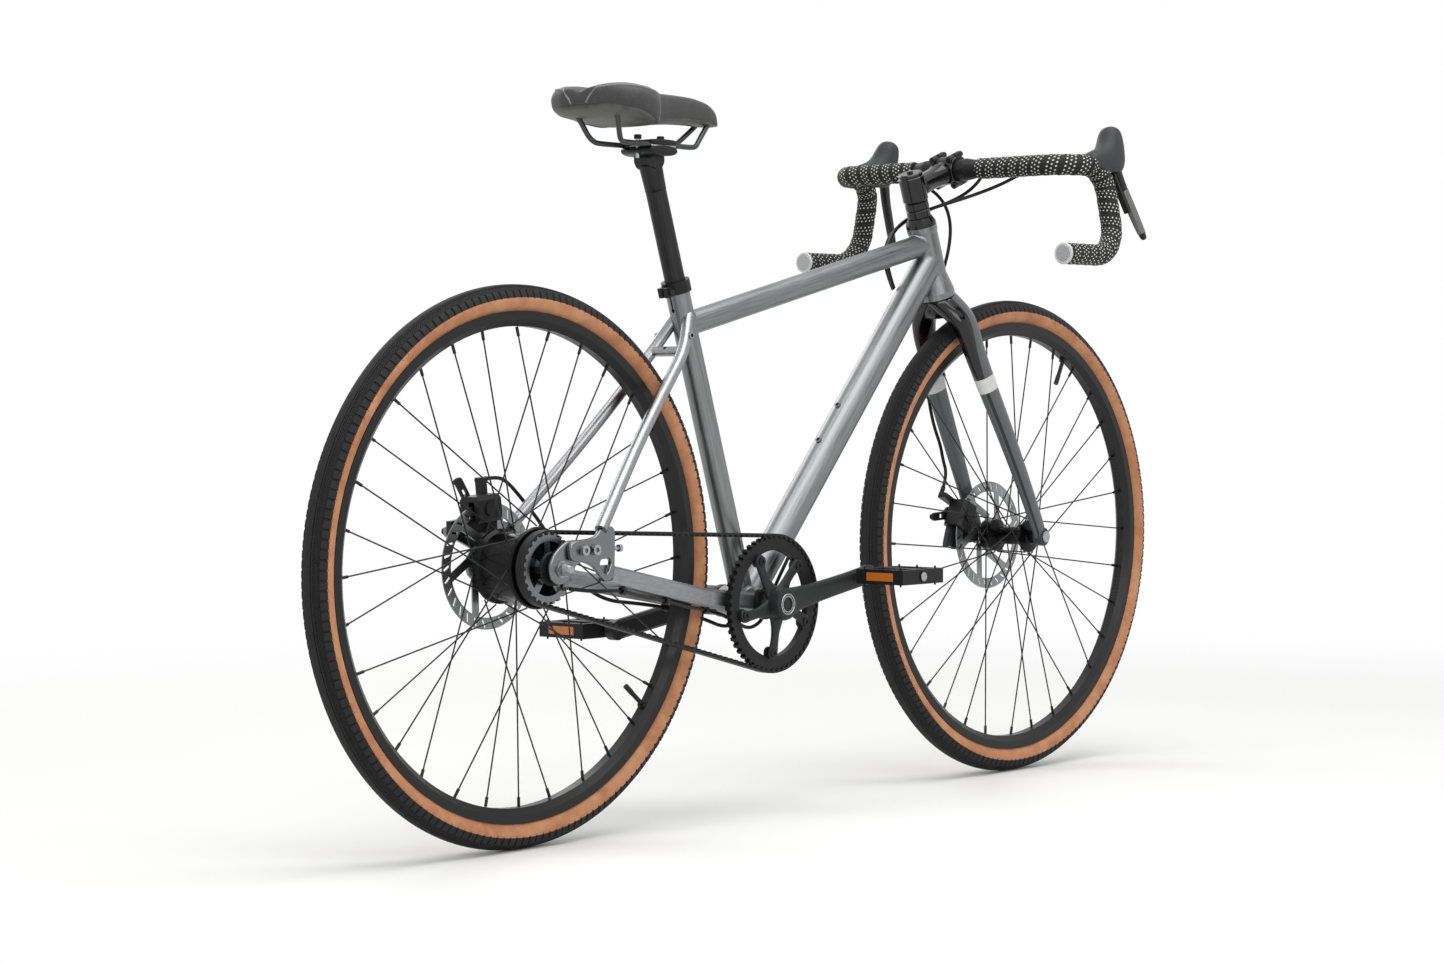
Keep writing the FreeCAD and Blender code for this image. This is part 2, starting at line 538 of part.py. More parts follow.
# Rear triangle
dropout_inner = S.hub_half_width + S.slider_thickness + S.slider_gap
dropout_mid = dropout_inner + S.dropout_thickness / 2


def chainstay_shape():
    """Right chainstay: a bevelled box tube, close to the tyre at the front and wide at the tail."""
    stations = [bb_point + Vector(0, -S.chainstay_front_y, 0),
                bb_point + Vector(-S.chainstay_bend_x, -S.chainstay_bend_y, S.chainstay_bend_rise),
                from_axle(rear_axle_point, S.chainstay_tail_back, -S.chainstay_tail_drop, -dropout_mid)]
    widths = (S.chainstay_width, S.chainstay_width, S.dropout_thickness)
    wires = [section(point, Y_AXIS, Z_AXIS, width, S.chainstay_height, S.chainstay_bevel)
             for point, width in zip(stations, widths)]
    return Part.makeLoft(wires, True, True)


def seatstay_path():
    tail = from_axle(rear_axle_point, S.seatstay_tail_back, S.seatstay_tail_rise, -dropout_mid)
    neck = on_seat_axis(S.top_tube_seat_joint - S.seatstay_neck_down, -S.seatstay_neck_back,
                        -S.seatstay_neck_y)
    knee = tail + (neck - tail) * float(S.seatstay_knee_share)
    knee.y = -float(S.seatstay_knee_y)
    top = on_seat_axis(S.top_tube_seat_joint + S.seatstay_top_rise, 0, -S.seatstay_top_y)
    return rounded_path([tail, knee, neck, top])


stay_path = seatstay_path()
dropout_frame = Placement(rear_axle_point - Y_AXIS * dropout_inner, upright_plate)
arm_back = S.dropout_head_back - S.dropout_arm_length
arm_low, arm_high = S.dropout_rise - S.dropout_arm_height / 2, S.dropout_rise + S.dropout_arm_height / 2
head_step = S.dropout_round + S.dropout_round / 3
right_plate = plate("right_dropout_plate", [
    (arm_back, arm_low), (arm_back, arm_high), (S.dropout_head_back, arm_high),
    (S.dropout_head_back + head_step, S.dropout_top), (S.dropout_front, S.dropout_top),
    (S.dropout_front, -S.dropout_bottom), (S.dropout_head_back + head_step, -S.dropout_bottom),
    (S.dropout_head_back, arm_low)], S.dropout_thickness, dropout_frame, S.dropout_edge_round)


def radial(angle):
    return Vector(math.cos(math.radians(angle)), 0, math.sin(math.radians(angle)))


def caliper_frame(axle, angle, rotor_y):
    """Frame at the pads' centre: local Y along the axle, local Z outwards along the wheel's radius."""
    outward = radial(float(angle))
    return Placement(axle + outward * float(S.pad_radius) + Y_AXIS * float(rotor_y),
                     Rotation(Y_AXIS.cross(outward), Y_AXIS, outward, "ZYX"))


foot_level = -S.caliper_inner - S.caliper_foot_radius - S.body_gap


def foot_points(frame, span, shift):
    """The two bolt places of a caliper's ear, in the plane of the rotor."""
    return [frame.multVec(Vector(float(shift + side * span / 2), 0, float(foot_level))) for side in (-1, 1)]


rear_caliper_place = caliper_frame(rear_axle_point, S.rear_caliper_angle, S.rear_rotor_y)
front_caliper_place = caliper_frame(front_axle_point, S.front_caliper_angle, S.front_rotor_y)
rear_foot_points = foot_points(rear_caliper_place, S.caliper_foot_span, 0)
front_foot_points = foot_points(front_caliper_place, S.front_foot_span, S.front_foot_shift)
rear_feet = [point - rear_axle_point for point in rear_foot_points]
foot_edge = float(S.caliper_foot_radius)
left_outline = [
    (arm_back, arm_low), (rear_feet[0].x - foot_edge, rear_feet[0].z - foot_edge),
    (rear_feet[0].x - foot_edge, rear_feet[0].z + foot_edge),
    (rear_feet[1].x + foot_edge, rear_feet[1].z + foot_edge),
    (S.dropout_head_back + head_step, S.dropout_top), (S.dropout_front, S.dropout_top),
    (S.dropout_front, -S.dropout_bottom), (S.dropout_head_back + head_step, -S.dropout_bottom),
    (S.dropout_head_back, arm_low)]
left_plate = plate("left_dropout_plate", left_outline, S.dropout_thickness, Placement(
    rear_axle_point + Y_AXIS * (dropout_inner + S.dropout_thickness), upright_plate), S.dropout_edge_round)


def slot_tool(name, axle, side):
    """Long hole that the two axle-plate bolts slide in."""
    middle = from_axle(axle, S.slider_bolt_first + S.slider_bolt_pitch / 2, S.dropout_rise, 0)
    start = middle + Y_AXIS * float(side * (dropout_inner - S.slider_gap))
    run = (S.dropout_slot_length - S.dropout_slot_width) / 2
    ends = [cylinder(f"{name}_{k}", S.dropout_slot_width / 2, S.overrun, start + X_AXIS * float(run * k),
                     Y_AXIS * side) for k in (-1, 1)]
    body = block(name + "_body", run * 2, S.overrun, S.dropout_slot_width,
                 Placement(start + Y_AXIS * float(side * S.overrun / 2), Rotation()))
    return ends + [body]


def side_bores(name, points, radius, start_y):
    return [cylinder(f"{name}_{k}", radius, S.overrun, Vector(p.x, float(start_y), p.z), Y_AXIS)
            for k, p in enumerate(points)]


tension_bores, tension_screws, axle_plates, axle_bolts = [], [], [], []
for side, word in ((-1, "right"), (1, "left")):
    front = from_axle(rear_axle_point, S.dropout_front, S.dropout_rise, side * dropout_mid)
    tension_bores.append(cylinder(word + "_tension_bore", S.tension_radius + S.skin_gap, S.tension_length,
                                  front - X_AXIS * (S.tension_length / 2), X_AXIS))
    screw = cylinder(word + "_tension_shank", S.tension_radius, S.tension_length * S.tension_shank_share,
                     front - X_AXIS * (S.tension_length * S.tension_sunk_share), X_AXIS)
    head = cylinder(word + "_tension_head", S.tension_head, S.tension_head_height,
                    front + X_AXIS * (S.tension_length * S.tension_proud_share), X_AXIS)
    tension_screws.append(fuse(word + "_tension_screw", screw, head))
    inner_face = side * S.hub_half_width if side < 0 else side * (S.hub_half_width + S.slider_thickness)
    frame = Placement(rear_axle_point + Y_AXIS * float(inner_face), upright_plate)
    half = S.slider_width / 2
    blank = plate(word + "_slider_blank", [
        (-half, -half), (-half, half), (arm_back, arm_high), (S.slider_length, arm_high),
        (S.slider_length, arm_low), (half, -half)], S.slider_thickness, frame, S.slider_round)
    axle_bore = cylinder(word + "_slider_bore", S.slider_axle_slot / 2, S.overrun * 4,
                         rear_axle_point - Y_AXIS * (S.overrun * 2), Y_AXIS)
    axle_mouth = block(word + "_slider_mouth", S.slider_axle_slot, S.overrun * 4, S.slider_width,
                       Placement(rear_axle_point - Z_AXIS * half, Rotation()))
    holes = []
    for number in range(2):
        reach = S.slider_bolt_first + S.slider_bolt_pitch * number
        inner = from_axle(rear_axle_point, reach, S.dropout_rise, side * S.hub_half_width)
        outer = from_axle(rear_axle_point, reach, S.dropout_rise,
                          side * (dropout_inner + S.dropout_thickness + S.skin_gap))
        name = f"{word}_axle_bolt_{number}"
        holes.append(cylinder(name + "_hole", S.dropout_bolt_radius + S.skin_gap, S.overrun, inner,
                              Y_AXIS * side))
        shank = cylinder(name + "_shank", S.dropout_bolt_radius, (outer - inner).Length, inner,
                         Y_AXIS * side)
        head = cylinder(name + "_head", S.dropout_bolt_head, S.dropout_bolt_head_height, outer,
                        Y_AXIS * side)
        socket = cylinder(name + "_socket", S.dropout_bolt_hex, S.dropout_bolt_head_height,
                          outer + Y_AXIS * (side * S.dropout_bolt_head_height / 3), Y_AXIS * side)
        axle_bolts.append(cut(name, fuse(name + "_solid", shank, head), socket))
    axle_plates.append(cut(word + "_slider", blank, axle_bore, axle_mouth, *holes))

rear_foot_bores = side_bores("rear_foot_bore", rear_foot_points,
                             S.foot_bolt_radius + S.skin_gap, S.hub_half_width)
stay_outside = shaped("stay_outside", swept(stay_path, S.seatstay_radius))
right_dropout = cut("right_dropout", right_plate, *slot_tool("right_slot", rear_axle_point, -1),
                    tension_bores[0])
left_dropout = cut("left_dropout", left_plate, *slot_tool("left_slot", rear_axle_point, 1),
                   tension_bores[1],
                   *rear_foot_bores)
piece("dropouts", group("dropouts", right_dropout, left_dropout))
piece("axle_plates", group("axle_plates", *axle_plates))
piece("dropout_bolts", group("dropout_bolts", *axle_bolts, *tension_screws))
chainstay_outside = shaped("chainstay_outside", chainstay_shape())
cup_room = cylinder("cup_room", S.bb_cup_radius + S.body_gap, S.overrun,
                    bb_point - Y_AXIS * (S.bb_shell_width / 2), -Y_AXIS)
right_chainstay = cut("right_chainstay", chainstay_outside, bb_outside, cup_room, seat_outside, right_plate)
piece("chainstays", group("chainstays", right_chainstay, mirrored("left_chainstay", right_chainstay)))
rack_point = stay_path.Edges[-1].valueAt(stay_path.Edges[-1].FirstParameter)
rack_boss = cylinder("rack_boss", S.rack_boss_radius, S.seatstay_radius + S.rack_boss_height, rack_point,
                     -Y_AXIS)
rack_hole = cylinder("rack_hole", S.rack_bore, S.overrun, rack_point, -Y_AXIS)
bossed_stay = cut("bossed_stay", fuse("bossed_stay_solid", stay_outside, rack_boss), rack_hole,
                  seat_outside, top_outside)
right_seatstay = cut("right_seatstay", bossed_stay, right_plate)
left_seatstay = cut("left_seatstay", mirrored("left_bossed_stay", bossed_stay), left_plate)
left_stay_outside = mirrored("left_stay_outside", stay_outside)
neck_edge = stay_path.Edges[-2]
neck_point = neck_edge.valueAt((neck_edge.FirstParameter + neck_edge.LastParameter) / 2)
bridge_bar = cylinder("bridge_bar", S.seatstay_bridge_radius, -neck_point.y * 2, neck_point, Y_AXIS)
bridge_mouth = Vector(neck_point.x, 0, neck_point.z)
bridge_reach = unit(bridge_mouth - rear_axle_point)
bridge_out = Vector(-bridge_reach.z, 0, bridge_reach.x)
bridge_hole = cylinder("bridge_hole", S.bridge_bore, S.bridge_bore_depth + S.seatstay_bridge_radius,
                       bridge_mouth + bridge_out * (S.seatstay_bridge_radius - S.bridge_bore_depth),
                       bridge_out)
stay_bridge = cut("stay_bridge", bridge_bar, stay_outside, left_stay_outside, bridge_hole)
piece("seatstays", group("seatstays", right_seatstay, left_seatstay, stay_bridge))

# Rear axle with its nuts
rear_axle = cylinder("axle_rod", S.rear_axle_radius, S.rear_axle_half * 2,
                     rear_axle_point - Y_AXIS * S.rear_axle_half, Y_AXIS)
axle_nuts = []
for side, word in ((-1, "right"), (1, "left")):
    nut_frame = along(rear_axle_point + Y_AXIS * (side * (S.hub_half_width + S.slider_thickness + S.skin_gap)),
                      Y_AXIS * side, X_AXIS)
    axle_nuts.append(turned(word + "_axle_nut", [
        (S.rear_axle_radius + S.running_gap, 0), (S.axle_washer_radius, 0),
        (S.axle_washer_radius, S.axle_nut_height / 4), (S.axle_nut_radius, S.axle_nut_height / 4),
        (S.axle_nut_radius, S.axle_nut_height),
        (S.axle_cap_radius + S.axle_cap_height / 5, S.axle_nut_height),
        (S.axle_cap_radius, S.axle_nut_height + S.axle_cap_side),
        (S.rear_axle_radius + S.running_gap, S.axle_nut_height + S.axle_cap_height)], nut_frame))
piece("rear_axle", group("rear_axle", rear_axle, *axle_nuts))


# Fork
def blade_shape(side):
    stations = [(S.fork_length - S.blade_top_drop, S.blade_top_lead, S.blade_top_y, S.blade_top_width,
                 S.blade_top_depth),
                (S.fork_length - S.blade_knee_drop, S.blade_knee_lead, S.blade_knee_y, S.blade_knee_width,
                 S.blade_knee_depth),
                (S.fork_length - S.blade_mid_drop, S.blade_mid_lead, S.blade_mid_y, S.blade_mid_width,
                 S.blade_mid_depth),
                (S.blade_foot_at, S.blade_foot_lead, S.blade_foot_y, S.blade_foot_width,
                 S.blade_foot_depth)]
    wires = [section(on_steerer(at, lead, side * out), Y_AXIS, steer_ahead, width, depth, S.blade_bevel)
             for at, lead, out, width, depth in stations]
    return Part.makeLoft(wires, True, True)


def crown_shape():
    """Crown: a wide bevelled arch block below, drawn in to the round seat of the lower bearing."""
    low = section(on_steerer(S.fork_length - S.crown_drop, S.blade_top_lead), Y_AXIS, steer_ahead,
                  S.crown_half_width * 2, S.crown_depth, S.crown_bevel)
    high = section(on_steerer(S.fork_length), Y_AXIS, steer_ahead, S.crown_top_radius * 2,
                   S.crown_top_radius * 2,
                   S.crown_top_radius * (2 - math.sqrt(2)))
    return Part.makeLoft([low, high], True, True)


fork_solids = [shaped("fork_crown", crown_shape())]
for side, word in ((-1, "right"), (1, "left")):
    fork_solids.append(shaped(word + "_blade", blade_shape(side)))
    fork_solids.append(cylinder(word + "_fork_tip", S.fork_tip_radius, S.blade_foot_width,
                                front_axle_point + Y_AXIS
                                * (side * S.blade_foot_y - S.blade_foot_width / 2), Y_AXIS))
steerer_top = head_high + S.cover_height + S.spacer_height * S.spacer_count + S.stem_height
fork_solids.append(cone("steerer_foot", S.steerer_foot_radius, S.steerer_radius,
                        S.head_tube_length * S.steerer_taper_share,
                        on_steerer(S.fork_length + S.bearing_height + S.crown_gap), steer_up))
fork_solids.append(cylinder("steerer_seat", S.steerer_foot_radius, S.bearing_height + S.crown_gap * 2,
                            on_steerer(S.fork_length - S.crown_gap), steer_up))
fork_solids.append(cylinder("steerer_rod", S.steerer_radius, steerer_top - S.fork_length,
                            on_steerer(S.fork_length), steer_up))
front_feet = [point - front_axle_point for point in front_foot_points]
mount_face = S.blade_foot_y - S.blade_foot_width / 2
fork_tab = plate("fork_caliper_tab", [
    (front_feet[0].x - foot_edge, front_feet[0].z - foot_edge / 2),
    (front_feet[0].x - foot_edge / 2, front_feet[0].z + foot_edge),
    (front_feet[1].x - foot_edge / 2, front_feet[1].z + foot_edge),
    (front_feet[1].x + foot_edge, front_feet[1].z + foot_edge),
    (0, S.fork_tip_radius), (0, -S.fork_tip_radius), (front_feet[0].x, front_feet[0].z - foot_edge)],
    S.dropout_thickness,
    Placement(front_axle_point + Y_AXIS * (mount_face + S.dropout_thickness), upright_plate))
fork_tools = [
    cylinder("steerer_bore", S.steerer_radius - S.steerer_wall, steerer_top - S.fork_length,
             on_steerer(S.fork_length), steer_up),
    cylinder("fork_axle_bore", S.front_axle_radius + S.running_gap, S.overrun * 4,
             front_axle_point - Y_AXIS * (S.overrun * 2), Y_AXIS),
    cylinder("crown_bore", S.crown_bore, S.crown_depth * 2,
             on_steerer(S.fork_length - S.crown_drop / 2, S.blade_top_lead - S.crown_depth),
             steer_ahead)]
for side, word in ((-1, "right"), (1, "left")):
    mouth = on_steerer(S.fork_length - S.eyelet_drop, S.blade_mid_lead + S.blade_mid_lead / 3,
                       side * (S.blade_foot_y + S.blade_mid_y) / 2)
    fork_tools.append(cylinder(word + "_eyelet", S.eyelet_bore, S.overrun,
                               mouth + Y_AXIS * float(side * S.eyelet_depth / 8), Y_AXIS * side))
fork_tools += side_bores("front_foot_bore", front_foot_points,
                         S.foot_bolt_radius + S.skin_gap, mount_face - S.skin_gap)
piece("fork", cut("fork", fuse("fork_solid", *fork_solids, fork_tab), *fork_tools))

# Headset cover, spacers and top cap
stack_bore = S.steerer_radius + S.running_gap
stack = [turned("headset_cover", [
    (stack_bore, S.body_gap), (S.head_tube_top_radius, S.body_gap),
    (S.head_tube_top_radius, S.cover_height / 3),
    (S.cover_top_radius, S.cover_height), (stack_bore, S.cover_height)],
    along(on_steerer(head_high), steer_up, steer_ahead))]
for number in range(int(S.spacer_count)):
    foot = head_high + S.cover_height + S.spacer_height * number
    groove = S.spacer_groove
    stack.append(turned(f"spacer_{number}", [
        (stack_bore, 0), (S.spacer_radius - groove, 0), (S.spacer_radius, groove),
        (S.spacer_radius, S.spacer_height - groove), (S.spacer_radius - groove, S.spacer_height),
        (stack_bore, S.spacer_height)], along(on_steerer(foot), steer_up, steer_ahead)))
cap_edge = S.top_cap_height / 3
stack.append(turned("top_cap", [
    (0, 0), (S.top_cap_radius, 0), (S.top_cap_radius, S.top_cap_height - cap_edge),
    (S.top_cap_radius - cap_edge, S.top_cap_height), (S.cap_bolt_radius, S.top_cap_height),
    (S.cap_bolt_radius, S.top_cap_height + S.cap_bolt_height),
    (S.cap_bolt_radius / 2, S.top_cap_height + S.cap_bolt_height),
    (S.cap_bolt_radius / 2, S.top_cap_height), (0, S.top_cap_height)],
    along(on_steerer(steerer_top + S.running_gap), steer_up, steer_ahead)))
piece("headset_stack", group("headset_stack", *stack))

# Stem, faceplate and bolts
stem_foot = steerer_top - S.stem_height
stem_mid = steerer_top - S.stem_height / 2
bar_centre = on_steerer(stem_mid, S.stem_length)
split_at = on_steerer(stem_mid, S.stem_length + S.faceplate_gap / 2)
neck_frame = facing(on_steerer(stem_mid, S.stem_length / 2), steer_up, steer_ahead)
stem_collar = cylinder("stem_collar", S.stem_clamp_radius, S.stem_height, on_steerer(stem_foot), steer_up)
stem_neck = shaped("stem_neck", Part.makeLoft([
    section(on_steerer(stem_mid, lead), Y_AXIS, steer_up, width, depth, S.stem_neck_depth / 4)
    for lead, width, depth in ((0, S.stem_neck_width, S.stem_neck_depth),
                               (S.stem_length, S.stem_bar_width, S.stem_neck_depth))], True, True))
bar_clamp = cylinder("bar_clamp", S.stem_bar_radius, S.stem_bar_width,
                     bar_centre - Y_AXIS * (S.stem_bar_width / 2), Y_AXIS)
bolt_ears = []
for side in (-1, 1):
    for rise in (-1, 1):
        ear = on_steerer(stem_mid + rise * S.stem_bolt_rise * S.stem_ear_spread,
                         S.stem_length - S.stem_bolt_length / 2,
                         side * S.stem_bolt_side)
        bolt_ears.append(cylinder(f"stem_ear_{side + 1}_{rise + 1}", S.stem_bolt_head * S.stem_ear_wall,
                                  S.stem_bolt_length,
                                  ear, steer_ahead))
bar_hole = cylinder("bar_hole", S.bar_clamp_radius + S.skin_gap, S.overrun * 2,
                    bar_centre - Y_AXIS * S.overrun, Y_AXIS)
steerer_hole = cylinder("steerer_hole", stack_bore, S.stem_height, on_steerer(stem_foot), steer_up)
half_space = S.overrun
front_half = block("stem_front_half", half_space, half_space * 2, half_space * 2, facing(
    on_steerer(stem_mid, S.stem_length + S.faceplate_gap / 2 + half_space / 2), steer_up, steer_ahead))
back_half = block("stem_back_half", half_space, half_space * 2, half_space * 2, facing(
    on_steerer(stem_mid, S.stem_length - S.faceplate_gap / 2 - half_space / 2), steer_up, steer_ahead))
bolt_holes, stem_bolts = [], []
for side in (-1, 1):
    for rise in (-1, 1):
        name = f"stem_bolt_{side + 1}_{rise + 1}"
        start = on_steerer(stem_mid + rise * S.stem_bolt_rise * S.stem_ear_spread,
                           S.stem_length - S.stem_bolt_length / 2 - S.bolt_clear,
                           side * S.stem_bolt_side)
        bolt_holes.append(cylinder(name + "_hole", S.stem_bolt_radius + S.skin_gap, S.overrun, start,
                                   steer_ahead))
        shank = cylinder(name + "_shank", S.stem_bolt_radius, S.stem_bolt_length, start, steer_ahead)
        head = cylinder(name + "_head", S.stem_bolt_head, S.stem_bolt_head_height,
                        start + steer_ahead * (S.stem_bolt_length + S.bolt_clear + S.skin_gap), steer_ahead)
        stem_bolts.append(fuse(name, shank, head, cylinder(
            name + "_neck", S.stem_bolt_radius, S.stem_bolt_head_height,
            start + steer_ahead * (S.stem_bolt_length - S.stem_bolt_head_height / 2), steer_ahead)))
clamp_solid = fuse("clamp_solid", bar_clamp, *bolt_ears)
clamp_back = doc.addObject("Part::Common", "clamp_back")
clamp_back.Base, clamp_back.Tool = clamp_solid, back_half
clamp_front = doc.addObject("Part::Common", "clamp_front")
clamp_front.Base, clamp_front.Tool = clamp_solid, front_half
piece("stem",
      cut("stem", fuse("stem_solid", stem_collar, stem_neck, clamp_back), front_half, bar_hole,
          steerer_hole,
                  *bolt_holes))
piece("stem_faceplate",
      group("stem_faceplate", cut("faceplate", clamp_front, bar_hole, *bolt_holes), *stem_bolts))

# Drop bar, tape and end plugs, drawn for the right side
flare = math.radians(S.bar_flare)
drop_down = Vector(0, -math.sin(flare), -math.cos(flare))
drop_in = Vector(0, math.cos(flare), -math.sin(flare))


def on_drop(reach, drop, inward=0):
    """Point in the right drop's own plane, from the bar's corner."""
    corner = bar_centre - Y_AXIS * float(S.bar_half_width)
    return corner + X_AXIS * float(reach) + drop_down * float(drop) + drop_in * float(inward)


hook_reach = S.bar_corner_radius + S.bar_ramp + S.bar_front_radius
tail_reach = hook_reach - S.bar_hook_radius - S.bar_tail
bar_corners = [on_drop(0, 0), on_drop(hook_reach, 0), on_drop(hook_reach, S.bar_drop),
               on_drop(tail_reach, S.bar_drop)]
bend_radii = [S.bar_corner_radius, S.bar_front_radius, S.bar_hook_radius]
half_path = rounded_path([Vector(bar_centre)] + bar_corners, bend_radii)
tape_path = rounded_path([bar_centre - Y_AXIS * S.tape_start] + bar_corners, bend_radii)
tape_radius = S.bar_radius + S.tape_thickness
half_bar = shaped("half_bar", swept(half_path, S.bar_radius))
half_bore = shaped("half_bore", swept(half_path, S.bar_radius - S.bar_wall))
neck_start = S.tape_start - S.bar_neck
clamp_zone = cylinder("clamp_zone", S.bar_clamp_radius, neck_start * 2, bar_centre - Y_AXIS * neck_start,
                      Y_AXIS)
bar_necks = [cone(f"bar_neck_{side + 1}", S.bar_clamp_radius, S.bar_radius, S.bar_neck,
                  bar_centre + Y_AXIS * float(side * neck_start), Y_AXIS * side) for side in (-1, 1)]
piece("handlebar",
      cut("handlebar",
          fuse("bar_solid", half_bar, mirrored("left_half_bar", half_bar), clamp_zone, *bar_necks),
                       half_bore, mirrored("left_half_bore", half_bore)))
tape_outside = shaped("tape_outside", swept(tape_path, tape_radius))
tape_inside = shaped("tape_inside", swept(tape_path, S.bar_radius + S.skin_gap))
right_tape = cut("right_tape", tape_outside, tape_inside)
piece("bar_tape", group("bar_tape", right_tape, mirrored("left_tape", right_tape)))
bar_end = on_drop(tail_reach, S.bar_drop)
plug_bore = S.bar_radius - S.bar_wall - S.skin_gap
right_plug = turned("right_plug", [
    (0, -S.plug_length), (plug_bore, -S.plug_length), (plug_bore, S.skin_gap), (tape_radius, S.skin_gap),
    (tape_radius, S.plug_flange - S.plug_lip), (tape_radius - S.plug_lip, S.plug_flange),
    (0, S.plug_flange)],
    along(bar_end, -X_AXIS, drop_down))
piece("bar_end_plugs", group("bar_end_plugs", right_plug, mirrored("left_plug", right_plug)))

# Brake hoods with their lever pins
pivot = on_drop(S.bar_corner_radius + S.lever_pivot_reach, -S.lever_pivot_rise)


def hood_shape():
    """Rubber hood: a body from the bar's ramp forwards, with a tall horn on its front end."""
    body = [section(on_drop(S.bar_corner_radius + reach, -rise), drop_in, drop_down, width, depth,
                    S.hood_bevel)
            for reach, rise, width, depth in (
                (S.hood_root_at, S.hood_root_rise, S.hood_root_width, S.hood_root_depth),
                (S.hood_throat_at, S.hood_throat_rise, S.hood_width, S.hood_throat_depth),
                (S.hood_grip_at, S.hood_grip_rise, S.hood_width, S.hood_grip_depth),
                (S.hood_front_at, S.hood_front_rise, S.hood_root_width, S.hood_grip_depth),
                (S.hood_nose_at, S.hood_nose_rise, S.hood_horn_width, S.hood_root_depth))]
    horn = [section(on_drop(S.bar_corner_radius + S.hood_horn_at, -rise), drop_in, X_AXIS, width, depth,
                    bevel)
            for rise, width, depth, bevel in (
                (S.hood_grip_rise, S.hood_root_width, S.hood_root_depth, S.hood_bevel),
                (S.hood_horn_rise - S.hood_bevel, S.hood_horn_width, S.hood_horn_depth, S.hood_bevel),
                (S.hood_horn_rise, S.hood_horn_width - S.hood_bevel, S.hood_horn_depth - S.hood_bevel,
                 S.hood_bevel / 2))]
    return Part.makeLoft(body, True, True).fuse(Part.makeLoft(horn, True, True)).removeSplitter()


hood_solid = shaped("hood_solid", hood_shape())
hood_tape_room = shaped("hood_tape_room", swept(tape_path, tape_radius + S.skin_gap))
slot_width = S.lever_boss_width + S.lever_slot_gap * 2
hood_slot = cylinder("hood_slot", S.lever_slot_radius, slot_width, pivot - drop_in * (slot_width / 2),
                     drop_in)
slot_box = block("hood_slot_box", S.lever_slot_radius * 2, slot_width, S.overrun, Placement(
    pivot + drop_down * (S.overrun / 2), Rotation(X_AXIS, drop_in, -drop_down, "ZXY")))
slot_nose = block("hood_slot_nose", S.overrun, slot_width, S.lever_slot_radius * 2, Placement(
    pivot + X_AXIS * (S.overrun / 2), Rotation(X_AXIS, drop_in, -drop_down, "ZXY")))
slot_back = block("hood_slot_back", S.lever_slot_back, slot_width, S.overrun, Placement(
    pivot - X_AXIS * (S.lever_slot_back / 2) + drop_down * (S.lever_slot_under + S.overrun / 2),
    Rotation(X_AXIS, drop_in, -drop_down, "ZXY")))
pin_length = S.hood_width * S.lever_pin_share
pin_start = pivot - drop_in * (pin_length / 2)
pin_bore = cylinder("lever_pin_bore", S.lever_pin_radius + S.running_gap, pin_length, pin_start, drop_in)
lever_pin = cylinder("lever_pin", S.lever_pin_radius, pin_length, pin_start, drop_in)
hood_heel = block("hood_heel", S.overrun, S.overrun * 2, S.overrun, Placement(
    pivot - X_AXIS * (S.hood_heel_back + S.overrun / 2) + drop_down * (S.hood_heel_drop + S.overrun / 2),
    Rotation(X_AXIS, drop_in, -drop_down, "ZXY")))
right_hood = cut("right_hood", hood_solid, hood_tape_room, hood_slot, slot_box, slot_back, slot_nose,
                 pin_bore, hood_heel)
ferrule_start = on_drop(S.bar_corner_radius + S.hood_throat_at, -S.ferrule_rise,
                        S.hood_width / 2 + S.ferrule_gap)
ferrule_out = unit(drop_in - X_AXIS / 4)
ferrule = cylinder("shift_ferrule", S.ferrule_radius, S.ferrule_length, ferrule_start, ferrule_out)
# Each hood is two cheeks beside the lever slot, a grip block behind the slot and a horn block over it
hood_axes = Rotation(X_AXIS, drop_in, -drop_down, "ZXY")
cheek_room = S.overrun * 4


def hood_room(name, forward, inward):
    """Large block whose near face lies that far ahead of the pivot or beside it."""
    shift = X_AXIS * float(forward) + drop_in * float(inward)
    return block(name, cheek_room, cheek_room, cheek_room, Placement(pivot + shift, hood_axes))


half_room = cheek_room / 2
inside_outer_cheek = hood_room("inside_outer_cheek", 0, half_room - slot_width / 2)
outside_inner_cheek = hood_room("outside_inner_cheek", 0, slot_width / 2 - half_room)
outer_side = hood_room("outer_cheek_side", 0, -half_room - slot_width / 2)
inner_side = hood_room("inner_cheek_side", 0, half_room + slot_width / 2)
ahead_of_grip = hood_room("ahead_of_grip", half_room - S.lever_slot_back, 0)
behind_horn = hood_room("behind_horn", -half_room - S.lever_slot_back, 0)
right_hood_solids = [
    cut("right_hood_outer_cheek", right_hood, inside_outer_cheek),
    cut("right_hood_inner_cheek", right_hood, outside_inner_cheek),
    cut("right_hood_grip_block", right_hood, outer_side, inner_side, ahead_of_grip),
    cut("right_hood_horn_block", right_hood, outer_side, inner_side, behind_horn)]
left_hood_solids = [mirrored(solid.Name.replace("right", "left"), solid) for solid in right_hood_solids]
piece("hoods", group("hoods", *right_hood_solids, *left_hood_solids, lever_pin,
                     mirrored("left_lever_pin", lever_pin), ferrule))


